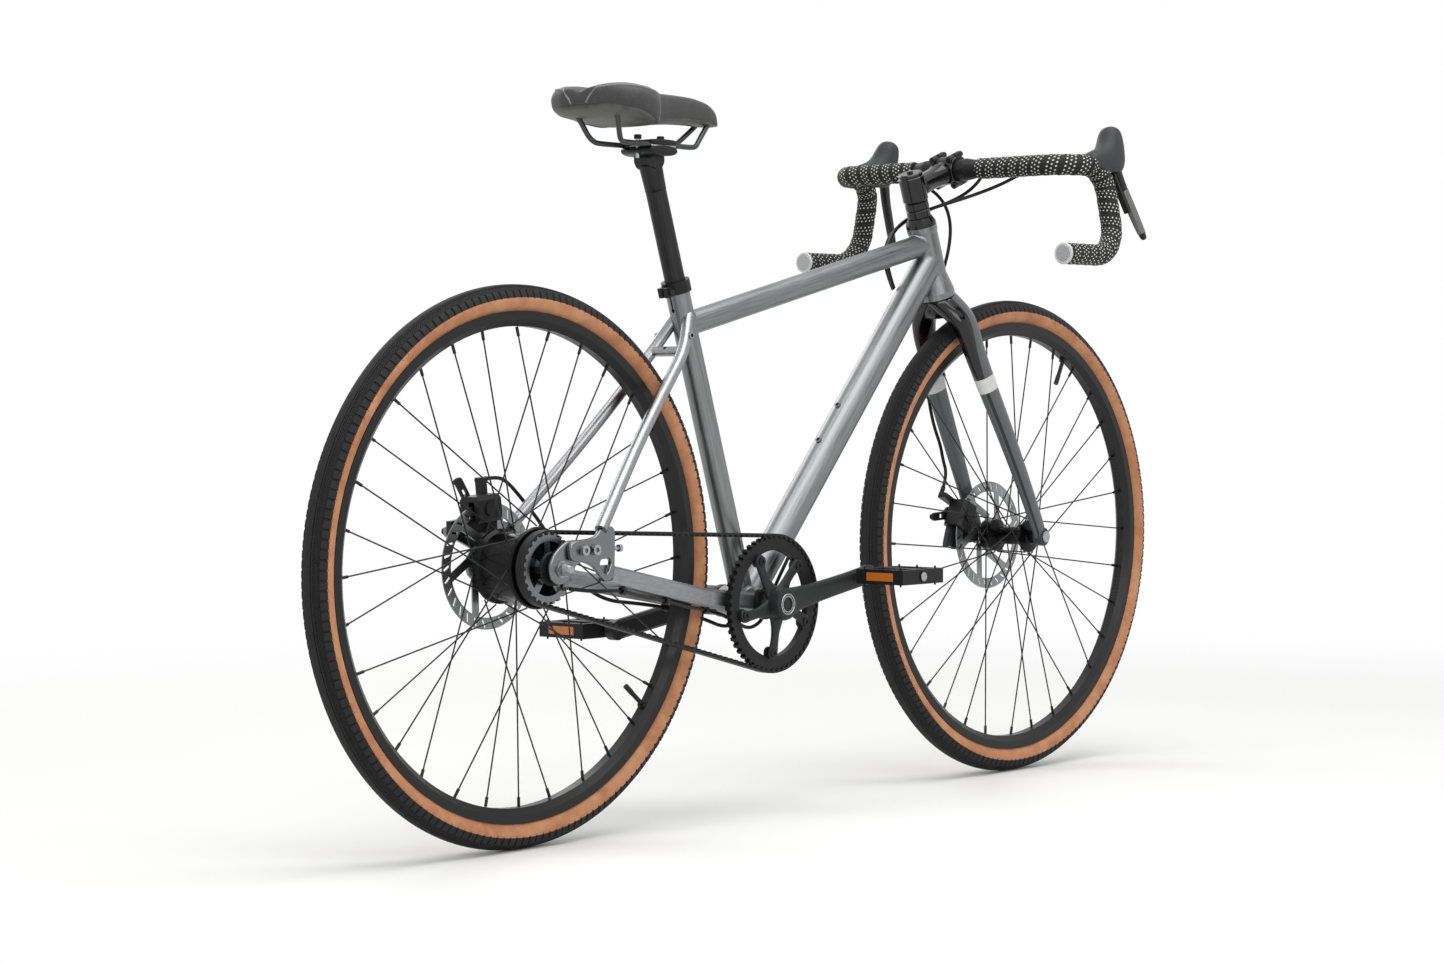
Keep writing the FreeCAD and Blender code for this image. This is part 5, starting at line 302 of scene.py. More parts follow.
def roundedOutline(halfWide, halfTall, power, count):
    # superellipse: power 2 is an ellipse, higher is boxier
    angle = np.linspace(0, 2 * np.pi, count, endpoint=False)
    c, s = np.cos(angle), np.sin(angle)
    shape = (np.abs(c) ** power + np.abs(s) ** power) ** (-1 / power)
    return np.stack([scaled(halfWide, c * shape), scaled(halfTall, s * shape)], -1)


def pathTube(line, lean, radius, around):
    # a round tube along a line of points; lean settles how its section is turned
    heading = unit(np.gradient(line, axis=0))
    across = unit(np.cross(heading, lean))
    return carried(line, across, np.cross(heading, across), roundedOutline(radius, radius, 2, around))


# Finishes, each named for what the real surface is
dull, soft = 0.22, 0.35  # specular levels: dark parts would go grey in a white studio
rawTones = ("#6f7172", "#8d8f8f")  # hand-sanded bare tube under clear lacquer
rawTop = brushed("rawSteelTopTube", layout["headTopJoint"] - layout["seatJoint"], *rawTones)
rawDown = brushed("rawSteelDownTube", layout["headDownJoint"] - layout["bracket"], *rawTones)
rawSeat = brushed("rawSteelSeatTube", seatUp, *rawTones)
rawHead = brushed("rawSteelHeadTube", steerUp, *rawTones)
rawStay = grained("rawSteelStays", "#8a8c8e", "#9b9d9d", 0.3, 0.38, 6, 0.02, metal=1.0)  # too thin for streaks
rawChain = brushed("rawSteelChainstays", (1, 0, -0.1), "#85878a", "#9fa1a1", 0.36, 0.5)  # coarser sanding
castSilver = grained("castAlloy", "#6e7071", "#7f8182", 0.2, 0.3, 0.8, 0.05, metal=1.0)  # blasted casting
zincSteel = grained("zincBolt", "#8f9091", "#b4b5b6", 0.22, 0.34, 1.5, 0.04, metal=1.0)  # bright plated fasteners
satinBlack = grained("blackAnodised", "#141415", "#1c1c1d", 0.3, 0.42, 0.7, 0.06, shine=dull)  # fine matt skin
glossBlack = grained("blackLacquer", "#0c0c0d", "#111112", 0.1, 0.18, 4, 0.01, shine=0.45)  # wet-looking paint
rimBlack = turnedMetal("rimAnodised", layout["rearAxle"], "#191919", "#222223", 0.3, 0.42, 1.4, shine=dull)
hubBlack = grained("hubBlack", "#070708", "#0d0d0e", 0.14, 0.22, 3, 0.01, shine=0.14)  # deep black shell
postBlack = brushed("postAnodised", seatUp, "#2c2c2d", "#3c3c3d", 0.36, 0.5, 40, 1.8)  # drawn tube, faint streaks
crankGrey = grained("crankPaint", "#202122", "#292a2b", 0.34, 0.46, 1.0, 0.05, shine=dull)  # powder-coated forging
forkGrey = grained("forkPaint", "#303234", "#3a3c3e", 0.22, 0.32, 6, 0.015, shine=dull)  # smooth dark grey paint
hoodRubber = grained("hoodRubber", "#2f3031", "#393a3b", 0.46, 0.58, 0.9, 0.14, 0.0003, shine=dull)  # soft skin
beltBlack = grained("beltPolyurethane", "#161617", "#222223", 0.45, 0.62, 1.0, 0.15, shine=dull)
# black nylon, also used as painted shade in the dropouts' axle slots and the fork crown's hole
blackNylonAndShade = grained("mouldedNylonAndShade", "#121213", "#1a1a1b", 0.4, 0.55, 0.8, 0.12, shine=dull)  # pebbled
leverBlack = grained("leverAnodised", "#0f0f10", "#161617", 0.2, 0.3, 1.0, 0.03, shine=soft)  # smooth, half gloss
leverGrey = grained("leverPlate", "#6f6f6d", "#7d7d7b", 0.3, 0.42, 1.2, 0.04, metal=0.9)
spokeBlack = grained("spokeBlack", "#1a1a1b", "#242425", 0.3, 0.4, 2, 0.02, metal=0.6)
lineBlack = grained("lineJacket", "#0d0d0e", "#151516", 0.28, 0.4, 2, 0.03, shine=dull)
railSteel = grained("railSteel", "#3c3d3e", "#4d4e4f", 0.28, 0.4, 1.5, 0.04, metal=0.8)
shellGrey = grained("saddleShell", "#393938", "#585856", 0.45, 0.6, 14)  # cloudy moulded shell
pipeDark = grained("pipingCord", "#6c6c6c", "#8c8c8b", 0.5, 0.62, 1.4)  # pale cord along the saddle's wings
plugWhite = grained("plugPlastic", "#b9bab8", "#cfd0cd", 0.3, 0.42, 1.2, 0.05)
bandWhite = grained("reflectiveBand", "#b9bab9", "#d5d6d4", 0.35, 0.5, 2.2)
rotorSteel = {word: turnedMetal("rotorSteel_" + word, layout[word + "Axle"], "#737475", "#a6a7a8", 0.24, 0.4, 0.9,
                                metal=1.0) for word in ("front", "rear")}
print("finishes made")

# the finish of every solid, by node
dressing = (
    (rawHead, "head_tube"), (rawTop, "top_tube"), (rawDown, "down_tube"), (rawSeat, "seat_tube bottom_bracket_shell"),
    (rawChain, "chainstays"), (rawStay, "seatstays"), (castSilver, "dropouts axle_plates rear_sprocket"),
    (zincSteel, "dropout_bolts rear_axle front_axle"), (crankGrey, "right_crank left_crank"), (forkGrey, "fork"),
    (satinBlack, "seat_collar bearings rear_caliper front_caliper stem stem_faceplate handlebar bar_tape"),
    (satinBlack, "right_brake_lever left_brake_lever shift_paddle front_brake_arm rear_brake_arm"),
    (satinBlack, "saddle_cradle saddle_clamp"), (beltBlack, "drive_belt"), (glossBlack, "headset_stack"),
    (lineBlack, "frame_lines front_brake_line steering_loops"), (plugWhite, "bar_end_plugs"),
    (blackNylonAndShade, "line_clips front_tyre rear_tyre belt_ring gear_pulley right_pedal left_pedal front_pad rear_pad"),
    (hoodRubber, "hoods saddle_cushion"), (rimBlack, "front_rim rear_rim"), (spokeBlack, "front_spokes rear_spokes"),
    (hubBlack, "front_hub rear_hub"), (rotorSteel["front"], "front_rotor"), (rotorSteel["rear"], "rear_rotor"),
    (postBlack, "seatpost"), (railSteel, "saddle_rails"), (shellGrey, "saddle_base"))
for finish, nodeNames in dressing:
    for nodeName in nodeNames.split():
        slots = nodes[nodeName].data.materials
        slots.clear()
        slots.append(finish)
print("solids dressed")

# Tyres: tan casing sides, black tread with a smooth middle band, fine knurl and side lugs
tyre = dict(
    crown=349.8, arcCentre=329.54, arcRadius=20.26, lugs=180, grooveDepth=1.2, knurlDepth=0.9, lugDepth=1.7,
    grooveZone=(6.3, 7.3), knurlZone=(9.1, 17.9), lugZone=(17.9, 28.4), lugGap=0.1, knurl=3.2, rib=9.0, lugStart=18.0,
    half=[0, 3.1, 6.1, 6.4, 7.2, 7.5, 8.9, 9.3, 13.5, 17.6, 18.0, 20.5, 23.5, 26.2, 28.2],
    lugShares=[0.0, 0.09, 0.13, 0.5, 0.87, 0.91], wallStart=28.5, wallStep=3.2, insideAcross=60.0, thread=0.8,
    sideRadius=[331.0, 328.5, 325.5, 322.3, 319.6, 317.9, 311.4], sideHalf=[20.0, 19.7, 19.0, 17.8, 15.2, 12.2, 11.3],
    innerRadius=[311.4, 320.0, 330.0, 340.0, 344.5], innerHalf=[8.7, 12.0, 17.0, 11.0, 0.0])


def rubberTread():
    # cured tread rubber: dull black, with a diamond knurl between the middle band and the lugs, its pits darkened with
    # painted shade
    material, tree, shader = newFinish("treadRubber", "#242425", 0.72, shine=dull)
    u, v = uvParts(tree)
    waves = [maths(tree, "PINGPONG", maths(tree, way, u, v), tyre["knurl"] / 2) for way in ("ADD", "SUBTRACT")]
    pit = ranged(tree, maths(tree, "MINIMUM", *waves), 0, tyre["knurl"] / 4, 1.0, 0.0)
    far = maths(tree, "ABSOLUTE", v)
    zone = maths(tree, "MULTIPLY", maths(tree, "GREATER_THAN", far, tyre["rib"]),
                 maths(tree, "LESS_THAN", far, tyre["lugStart"]))
    dark = maths(tree, "MULTIPLY", pit, zone)
    plain = between(tree, objectNoise(tree, 160.0, 4.0), "#1c1c1d", "#2c2c2d")
    # painted shade: the knurl's pits are coloured near black as well as sunk by the bump
    feed(tree, shader, {"Base Color": between(tree, dark, plain, "#0c0c0d"),
                        "Normal": bumped(tree, dark, 0.8, 0.001, True)})
    return material


def tanCasing():
    # rubbered cotton casing: warm tan, mottled, with threads on the bias drawn 1.6 mm apart so that they show
    material, tree, shader = newFinish("tanCasing", "#b67b52", 0.62)
    thread = maths(tree, "PINGPONG", maths(tree, "ADD", *uvParts(tree)), tyre["thread"])
    cloud = ranged(tree, objectNoise(tree, 34.0, 6.0, 0.65), 0.35, 0.65)
    plain = between(tree, cloud, "#a56a45", "#c08a62")
    share = maths(tree, "MULTIPLY", thread, 0.16)
    feed(tree, shader, {"Base Color": between(tree, share, plain, "#8d5736"),
                        "Normal": bumped(tree, thread, 0.25, 0.0004)})
    return material


def tyreMesh(name, axle):
    # outer skin by its distance s across the tread, then the sides, beads and the inner skin back to the start
    half, sideRadius, sideHalf, innerRadius, innerHalf = (
        np.array(tyre[key]) for key in ("half", "sideRadius", "sideHalf", "innerRadius", "innerHalf"))
    s = np.concatenate([-half[:0:-1], half])
    tilt = s / tyre["arcRadius"]
    radius = np.concatenate([tyre["arcCentre"] + tyre["arcRadius"] * np.cos(tilt), sideRadius, innerRadius,
                             innerRadius[-2::-1], sideRadius[::-1]])
    side = np.concatenate([tyre["arcRadius"] * np.sin(tilt), sideHalf, innerHalf, -innerHalf[-2::-1],
                           -sideHalf[::-1]])
    wall = tyre["wallStart"] + np.cumsum(np.full(len(sideHalf), tyre["wallStep"]))
    inside = np.full(2 * len(innerHalf) - 1, tyre["insideAcross"])
    across = np.concatenate([s, wall, inside, -wall[::-1]])
    inGroove, inKnurl, inLug = (((np.abs(across) > low) & (np.abs(across) < high)) * depth for (low, high), depth in (
        (tyre[kind + "Zone"], tyre[kind + "Depth"]) for kind in ("groove", "knurl", "lug")))
    turn = (np.arange(tyre["lugs"])[:, None] + tyre["lugShares"]).ravel()
    gap = np.abs(turn % 1 - 0.5) > 0.5 - tyre["lugGap"]
    depth = inGroove + inKnurl + inLug * gap[:, None]
    angle = turn[:, None] / tyre["lugs"] * 2 * np.pi
    # the sunk parts move towards the middle of the tread's own arc
    offset = radius - tyre["arcCentre"]
    size = np.maximum(np.hypot(offset, side), 1e-6)
    r = radius - depth * offset / size
    points = axle + np.stack([r * np.cos(angle), side - depth * side / size, r * np.sin(angle)], -1)
    uvU = np.append(turn, tyre["lugs"]) * 2 * np.pi * tyre["crown"] / tyre["lugs"]
    uv = np.stack(np.broadcast_arrays(uvU[:, None], np.append(across, across[0])), -1)
    bead = len(s) + len(sideHalf) - 1
    kinds = np.ones(len(across), int)
    kinds[:len(s) - 1] = 0
    kinds[bead:bead + len(inside) + 1] = 0
    return gridMesh(name, points, wrapU=True, wrapV=True, uv=uv, sharp=38, kinds=kinds)


tyreFinishes = [rubberTread(), tanCasing()]
for word in ("front", "rear"):
    name = word + "TyreCasing"
    addPiece(name, tyreMesh(name, layout[word + "Axle"]), tyreFinishes, word + "_wheel", "tyre", [word + "_tyre"])
print("tyres built")

# Bar tape: a helical wrap along the drop bar, each turn lapping the one before
tape = dict(start=58.0, radius=15.3, inside=12.1, lap=20.0, step=0.8, edge=0.07, stations=480, around=44,
            runs=(106, 70.69, 2, 62.83, 40, 78.54, 80), bends=(0, 45, 0, 40, 0, 50, 0),
            column=5.0, columns=3, rows=16, first=2.6, dot=1.2, dotEdge=0.25)


def dropPath(s):
    # runs and bends of the right half bar by distance from the tape's start: places and headings
    place, heading = layout["barCentre"] - leftward * tape["start"], -leftward
    aims = (None, ahead, None, dropDown, None, -ahead, None)
    points, tangents = np.zeros((len(s), 3)), np.zeros((len(s), 3))
    start = 0.0
    for run, bend, aim in zip(tape["runs"], tape["bends"], aims):
        here = s >= start - 1e-6
        d = np.clip(s[here] - start, 0, None)[:, None]
        if bend:
            points[here] = place + heading * bend * np.sin(d / bend) + aim * bend * (1 - np.cos(d / bend))
            tangents[here] = heading * np.cos(d / bend) + aim * np.sin(d / bend)
            place, heading = place + heading * bend + aim * bend, aim
        else:
            points[here] = place + heading * d
            tangents[here] = heading
            place = place + heading * run
        start += run
    return points, tangents


def tapeFinish():
    # perforated foam tape: matt black film with pale punched dots, three columns to each turn
    material, tree, shader = newFinish("perforatedTape", "#222223", 0.62, shine=dull)
    u, v = uvParts(tree)
    inLap = maths(tree, "FRACT", maths(tree, "DIVIDE", u, tape["lap"]))
    along = maths(tree, "MULTIPLY_ADD", inLap, tape["lap"], -tape["first"])
    column = maths(tree, "DIVIDE", along, tape["column"])
    index = maths(tree, "FLOOR", column)
    inColumn = maths(tree, "SUBTRACT", column, index)
    inRow = maths(tree, "FRACT", maths(tree, "MULTIPLY_ADD", index, 0.5, v))  # every other column half a row on
    rowPitch = 2 * math.pi * tape["radius"] / tape["rows"]
    offsets = {place: maths(tree, "MULTIPLY_ADD", share, pitch, -pitch / 2)
               for place, (share, pitch) in enumerate(((inColumn, tape["column"]), (inRow, rowPitch)))}
    both = put(tree, "ShaderNodeCombineXYZ", offsets).outputs[0]
    reach = put(tree, "ShaderNodeVectorMath", {"operation": "LENGTH", 0: both}).outputs["Value"]
    dot = ranged(tree, reach, tape["dot"] + tape["dotEdge"], tape["dot"] - tape["dotEdge"])
    zone = maths(tree, "MULTIPLY", maths(tree, "GREATER_THAN", index, -0.5),
                 maths(tree, "LESS_THAN", index, tape["columns"] - 0.5))
    mask = maths(tree, "MULTIPLY", dot, zone)
    film = objectNoise(tree, 420.0, 3.0)
    plain = between(tree, film, "#171718", "#232324")
    feed(tree, shader, {"Base Color": between(tree, mask, plain, "#cfcfca"),
                        "Normal": bumped(tree, maths(tree, "MULTIPLY_ADD", mask, -1.0, film), 0.5, 0.0005)})
    return material


def tapeMesh(name, mirror):
    # rings about the bar whose radius steps up at each lap's edge, then eases down to the next
    length = sum(tape["runs"])
    s = np.linspace(0, length, tape["stations"])
    centre, heading = dropPath(s)
    theta = np.linspace(0, 2 * np.pi, tape["around"], endpoint=False)
    corner = tape["runs"][0] + tape["runs"][1] + tape["runs"][2] / 2
    axis = np.where((s < corner)[:, None], upward, dropIn)
    lean = np.where(s < corner, 0, math.radians(90 + angles["flare"]))
    angle = (theta + lean[:, None])[..., None]
    outward = np.cos(angle) * axis[:, None] + np.sin(angle) * np.cross(heading, axis)[:, None]
    share = (s[:, None] / tape["lap"] + theta / (2 * np.pi)) % 1
    rise = np.clip(share / tape["edge"], 0, 1) * (1 - share)
    radius = tape["radius"] - tape["step"] * (1 - rise)
    points = centre[:, None] + radius[..., None] * outward
    ends = centre[[0, -1]][:, None] + tape["inside"] * outward[[0, -1]]
    points = np.concatenate([ends[:1], points, ends[1:]])
    points[..., 1] *= mirror
    turns = np.append(theta, 2 * np.pi) / (2 * np.pi)
    u = np.concatenate([[0], s, [length]])[:, None] + turns * tape["lap"]
    return gridMesh(name, points, wrapV=True, uv=np.stack(np.broadcast_arrays(u, turns * tape["rows"]), -1))


perforated = tapeFinish()
for word, mirror in mirrors:
    name = word + "TapeWrap"
    addPiece(name, tapeMesh(name, mirror), perforated, "steering", "tape", ["bar_tape"] if mirror > 0 else ())
print("bar tape wound")

# Gear and brake lines: smooth tubes through the routes of the solids, in millimetres
tubeExit = [(5, 12, 360), (-21, 13, 329), (-48, 14, 294), (-70, 17, 259), (-104, 20, 248), (-140, 27, 262),
            (-174, 31.5, 273), (-210.06, 35.38, 281.34)]  # out of the down tube, alike on both sides
lines = dict(
    radius=2.5,
    gearLoop=[(437.2, -169.67, 896.28), (424, -138, 896), (412, -105, 880), (398, -72, 862), (372, -38, 846),
              (341, -4, 832), (321, 25, 820), (291, 34, 801), (271, 34, 775), (262, 28, 750), (261, 21.5, 728),
              (267.5, 20, 713)],
    rearBrakeLoop=[(373, -55, 870.2), (386, -34, 859), (376, -8, 842), (346, 17, 828), (318, 37, 812),
                   (287, 44, 790), (270, 40, 762), (267, 33, 735), (274, 26.5, 711)],
    frontLine=[(373, 55, 870.2), (391, 43, 860), (400, 26, 838), (395, 13, 808), (387, 10, 776), (382, 16, 744),
               (384, 33, 714), (391, 50, 684), (393.11, 58, 648.22), (393.47, 59.5, 600.46), (404.16, 61.3, 556.46),
               (420.49, 63.6, 514.52), (440.57, 66, 485.65), (446, 65.5, 464), (451.07, 62, 442.05),
               (442.62, 62, 423.92)],
    gearFrameLine=[(x, -y, z) for x, y, z in tubeExit] + [
        (-255.6, -43.26, 287.8), (-306.2, -52.02, 299.2), (-356.8, -60.78, 306.6), (-407.4, -69.54, 317.5),
        (-440, -71.5, 319), (-468, -66, 320), (-495, -61, 324)],
    brakeFrameLine=tubeExit + [
        (-255.6, 43.26, 288.8), (-300, 58, 294), (-336, 68.5, 316), (-368, 75, 354), (-400, 79, 398),
        (-429, 84.5, 430), (-458, 81, 452), (-482.66, 74.7, 459.92), (-502.55, 74.7, 457.83)])


def lineMesh(name, *routes):
    # NURBS tubes of order 3 with the routes' points as control points, made one mesh
    curve = bpy.data.curves.new(name, "CURVE")
    curve.dimensions = "3D"
    curve.bevel_depth = lines["radius"] * mm
    curve.bevel_resolution = 4
    curve.use_fill_caps = True
    for route in routes:
        places = np.array(lines[route]) * mm
        spline = curve.splines.new("NURBS")
        spline.points.add(len(places) - 1)
        spline.points.foreach_set("co", np.column_stack([places, np.ones(len(places))]).ravel())
        spline.use_endpoint_u = True
        spline.order_u = 3
        spline.resolution_u = 8
    holder = bpy.data.objects.new(name, curve)
    scene.collection.objects.link(holder)
    bpy.context.view_layer.update()
    mesh = bpy.data.meshes.new_from_object(holder.evaluated_get(bpy.context.evaluated_depsgraph_get()))
    bpy.data.objects.remove(holder)
    mesh.name = name
    return mesh


addPiece("frameLines", lineMesh("frameLines", "gearFrameLine", "brakeFrameLine"), lineBlack, "frame", "line_black",
         ["frame_lines"])
addPiece("frontBrakeLine", lineMesh("frontBrakeLine", "frontLine"), lineBlack, "steering", "line_black",
         ["front_brake_line"])
loops = bpy.data.objects.new("steeringLoops", lineMesh("steeringLoops", "gearLoop", "rearBrakeLoop"))
scene.collection.objects.link(loops)
loops.data.materials.append(lineBlack)
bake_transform(loops)
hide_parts("steering_loops")
print("lines laid")

# Weld fillets: a smooth ring of weld round each tube's end, concave between the two tubes
welds = dict(sink=0.25, slim=15.9, stout=21.0, around=96, steps=9, underOut=1.2, underIn=0.6, headHeight=393)


def weldMesh(name, start, towards, radius, mainPoint, mainAxis, mainRadius, size):
    # each line along the branch tube meets the main tube's cylinder, by the quadratic a t2 + b t + c = 0
    branch, mainAxis = unit(towards - start), unit(mainAxis)
    first = unit(np.cross(branch, mainAxis))
    angle = np.linspace(0, 2 * np.pi, welds["around"], endpoint=False)[:, None]
    out = np.cos(angle) * first + np.sin(angle) * np.cross(branch, first)
    base = start + out * radius - mainPoint
    flatBase = base - (base @ mainAxis)[:, None] * mainAxis
    flatBranch = branch - (branch @ mainAxis) * mainAxis
    a, b = flatBranch @ flatBranch, 2 * flatBase @ flatBranch
    c = np.einsum("ij,ij->i", flatBase, flatBase) - mainRadius ** 2
    t = (-b - np.sqrt(np.maximum(b * b - 4 * a * c, 0))) / (2 * a)
    meet = mainPoint + base + t[:, None] * branch
    # a quadratic curve joins a point up the branch to one out on the main tube
    up = meet - branch * size - out * welds["sink"]
    normal = meet - mainPoint
    normal = unit(normal - (normal @ mainAxis)[:, None] * mainAxis)
    slide = unit(out - np.einsum("ij,ij->i", out, normal)[:, None] * normal)
    foot = meet + slide * size - mainPoint
    alongMain = (foot @ mainAxis)[:, None] * mainAxis
    foot = mainPoint + alongMain + unit(foot - alongMain) * (mainRadius - welds["sink"])
    k = np.linspace(0, 1, welds["steps"])[:, None, None]
    skin = (1 - k) ** 2 * up + 2 * k * (1 - k) * meet + k ** 2 * foot
    under = (meet - out * welds["underOut"] + branch * welds["underIn"])[None]
    return gridMesh(name, np.concatenate([skin, under]).transpose(1, 0, 2), wrapU=True, wrapV=True)


headAt, slim, stout = onSteerer(welds["headHeight"]), welds["slim"], welds["stout"]
weldJoints = (
    ("weldTopSeat", "headTopJoint", "seatJoint", slim, layout["bracket"], seatUp, slim, 4.6, rawTop),
    ("weldTopHead", "seatJoint", "headTopJoint", slim, headAt, steerUp, stout, 5.0, rawTop),
    ("weldDownHead", "bracket", "headDownJoint", stout, headAt, steerUp, stout, 5.0, rawDown),
    ("weldSeatShell", "seatJoint", "bracket", slim, layout["bracket"], leftward, stout, 5.0, rawSeat))
for name, start, towards, *sizes, finish in weldJoints:
    addPiece(name, weldMesh(name, layout[start], layout[towards], *sizes), finish, "frame", "raw_steel")
print("welds laid")

# Brake hoods: a soft grip from the bar forwards that swells up into a horn
hood = dict(
    over=[(3, 0), (6, 13), (15, 20), (27, 24), (39, 28), (48.5, 34), (55, 43), (59.5, 51.5), (64.5, 57.5), (70.5, 60),
          (77, 60)],
    under=[(77, 60), (83.5, 57), (88, 50), (90.2, 38), (90.5, 24), (88, 11), (77, 5), (62, 1.5), (46, -4), (24, -16),
           (3, 0)],
    spine=[(12, 1), (18, 2.5), (27, 4.5), (38, 7.5), (50, 12), (59, 18), (66, 26), (70.5, 34), (73.5, 41), (75.5, 45),
           (76, 47)],
    half=[14.5, 16.5, 17.6, 18.6, 19.3, 19.5, 19.1, 18.2, 17, 15.8, 14.8], reach=45,
    cheek=[0, 0, 0, 0, 1, 8, 15.5, 15, 9.5, 0, 0], cheekFrom=8.2, cheekTo=11.5,
    ferrule=((443.5, -194, 900.6), (437.2, -169.67, 896.28)), ferruleRadius=4.0)


def welded(mesh):
    # joins the points that lie on one another, so that a surface folded onto a line is closed
    form = bmesh.new()
    form.from_mesh(mesh)
    bmesh.ops.remove_doubles(form, verts=form.verts, dist=1e-6)
    form.to_mesh(mesh)
    form.free()
    return mesh


def hoodMesh(name, mirror):
    # a pillow: its outline closes in on a spine as it swells sideways, by a cosine one way and a sine the other
    u = np.linspace(0, 1, 49)
    rim = np.concatenate([evenly(hood["over"], u), evenly(hood["under"], u)[1:-1]])
    there = np.concatenate([u, u[-2:0:-1]])
    spine, half = evenly(hood["spine"], there), evenly(hood["half"], there)
    s = np.linspace(-1, 1, 33)[:, None]
    shrink = np.cos(s * np.pi / 2) ** 0.8
    shrink[[0, -1]] = 0
    flat = spine + (rim - spine) * shrink[..., None]
    sideways = half * np.sign(s) * np.abs(np.sin(s * np.pi / 2)) ** 0.9
    # both cheeks hang lower than the lever's slot between them
    hang = np.concatenate([0 * u, evenly(hood["cheek"], u)[1:-1]])
    blend = np.clip((np.abs(sideways) - hood["cheekFrom"]) / (hood["cheekTo"] - hood["cheekFrom"]), 0, 1)
    flat[..., 1] -= hang * blend * blend * (3 - 2 * blend) * shrink
    points = onDrop(hood["reach"] + flat[..., 0], -flat[..., 1], sideways)
    points[..., 1] *= mirror
    return welded(gridMesh(name, points, wrapV=True))


for word, mirror in mirrors:
    name = word + "HoodGrip"
    addPiece(name, hoodMesh(name, mirror), hoodRubber, "steering", "hood_rubber", ["hoods"] if mirror > 0 else ())
addRod("shiftFerrule", *np.array(hood["ferrule"]), hood["ferruleRadius"], blackNylonAndShade, "steering", "hood_rubber")
print("hoods shaped")

# Brake levers: a bowed blade below the pivot, the right one with a grey plate over its middle
lever = dict(
    pivot=np.array([488.72, -207.92, 890.9]), power=3.0, plate=(0.42, 0.80), plateGrow=0.5,
    path=[(0, 5), (1.5, -6), (6, -20), (14, -40), (26, -64), (38, -88), (47, -105), (49, -109)],
    wide=[5.6, 6.6, 6.4, 6.0, 5.8, 5.4, 4.6, 2.6], deep=[5.5, 7.6, 7.0, 6.6, 6.4, 5.6, 4.0, 2.0],
    rivetHalf=7.4, rivetRadius=2.4, pin=np.array([477.72, -211.26, 872.7]), pinLength=17.0, pinRadius=1.82)


def bladeGrid(mirror, low=0.0, high=1.0, grow=0.0):
    # superellipse sections carried down the lever's middle line, square to it
    t = np.linspace(low, high, 64)
    line, wide, deep = (evenly(lever[key], t) for key in ("path", "wide", "deep"))
    heading = unit(np.gradient(line, t, axis=0))
    centre = lever["pivot"] + line[:, :1] * ahead - line[:, 1:] * dropDown
    up = heading[:, 1:] * ahead + heading[:, :1] * dropDown
    points = carried(centre, dropIn, up, roundedOutline(wide + grow, deep + grow, lever["power"], 40))
    points[..., 1] *= mirror
    return points


for word, mirror in mirrors:
    body, flip = word + "_lever", np.array([1, mirror, 1])
    addTube(word + "LeverBlade", bladeGrid(mirror), leverBlack, body, "lever_black", [word + "_brake_lever"])
    rivet, reach = lever["pivot"] * flip, dropIn * flip * lever["rivetHalf"]
    addRod(word + "LeverRivet", rivet - reach, rivet + reach, lever["rivetRadius"], zincSteel, body, "lever_black")
addTube("rightLeverPlate", bladeGrid(1, *lever["plate"], lever["plateGrow"]), leverGrey, "right_lever", "lever_black")
addRod("paddlePin", lever["pin"], lever["pin"] + ahead * lever["pinLength"], lever["pinRadius"], zincSteel,
       "right_lever", "lever_black")
print("levers shaped")

# Fork: each leg runs from under the head tube out and down to the axle, with a pale band round it
fork = dict(
    heights=[391.5, 384, 376, 368, 358, 345, 330, 308, 250, 190, 120, 60, 20, 2],
    leads=[0, 0.5, 1.2, 2, 2.8, 3.6, 4.4, 6, 12.5, 22, 33, 41.5, 46.5, 48.6],
    sides=[5.5, 12.5, 19.5, 26, 32.5, 37.2, 39.8, 41.5, 46.2, 50, 53.4, 55.8, 57, 57],
    wide=[20, 19.4, 18.8, 17.2, 14.8, 12.8, 11.5, 10.4, 9.7, 9.2, 8.2, 7.2, 6.8, 6.6],
    deep=[25.4, 25, 24.4, 23.8, 23, 22, 21.2, 20.2, 18.2, 16.6, 14.8, 13.4, 12.6, 11.6],
    power=2.4, top=391.5, foot=2, band=(244, 266), bandGrow=0.25, tip=13.5, tipFrom=50.3, tipLong=13.4, panelEnd=0.37,
    crownHeights=np.array([391, 389, 374, 366, 364]), crownWide=np.array([15, 17, 22, 24, 21]),
    crownDeep=np.array([24.5, 24.6, 23.8, 21, 17]), hole=(378, -23.2, 26.2, 2.6), eyelet=(456, 52, 476), eyeletLong=6.6,
    plate=[(434, 338), (445, 336), (480, 338), (512, 342), (514, 352), (496, 358), (478, 366), (466, 378), (455, 382),
           (446, 372)], plateSides=(50.4, 50.4, 57.2, 57.2), plateTrim=(0.99, 1.0, 1.0, 0.99))
forkSlot = ("steering", "dark_grey_paint")


def forkLook():
    # painted alloy: grey on the blade's outside, gloss black on its rear inner face and round the crown
    material, tree, shader = newFinish("forkLacquer", "#45484a", 0.3, shine=soft, coat=0.25)
    down, around = uvParts(tree)
    # the panel's middle turns from the inside to the rear corner as it narrows to a stripe at the band
    middle = ranged(tree, down, 0, fork["panelEnd"], 0.70, 0.87)
    halfWide = ranged(tree, down, 0, fork["panelEnd"], 0.33, 0.03)
    far = maths(tree, "ABSOLUTE", maths(tree, "SUBTRACT", around, middle))
    mask = ranged(tree, maths(tree, "SUBTRACT", halfWide, far), -0.006, 0.006)
    grey = between(tree, objectNoise(tree, 900.0, 2.0), "#46494b", "#54575a")
    feed(tree, shader, {"Base Color": between(tree, mask, grey, "#0b0b0c"),
                        "Roughness": ranged(tree, mask, 0, 1, 0.34, 0.1)})
    return material


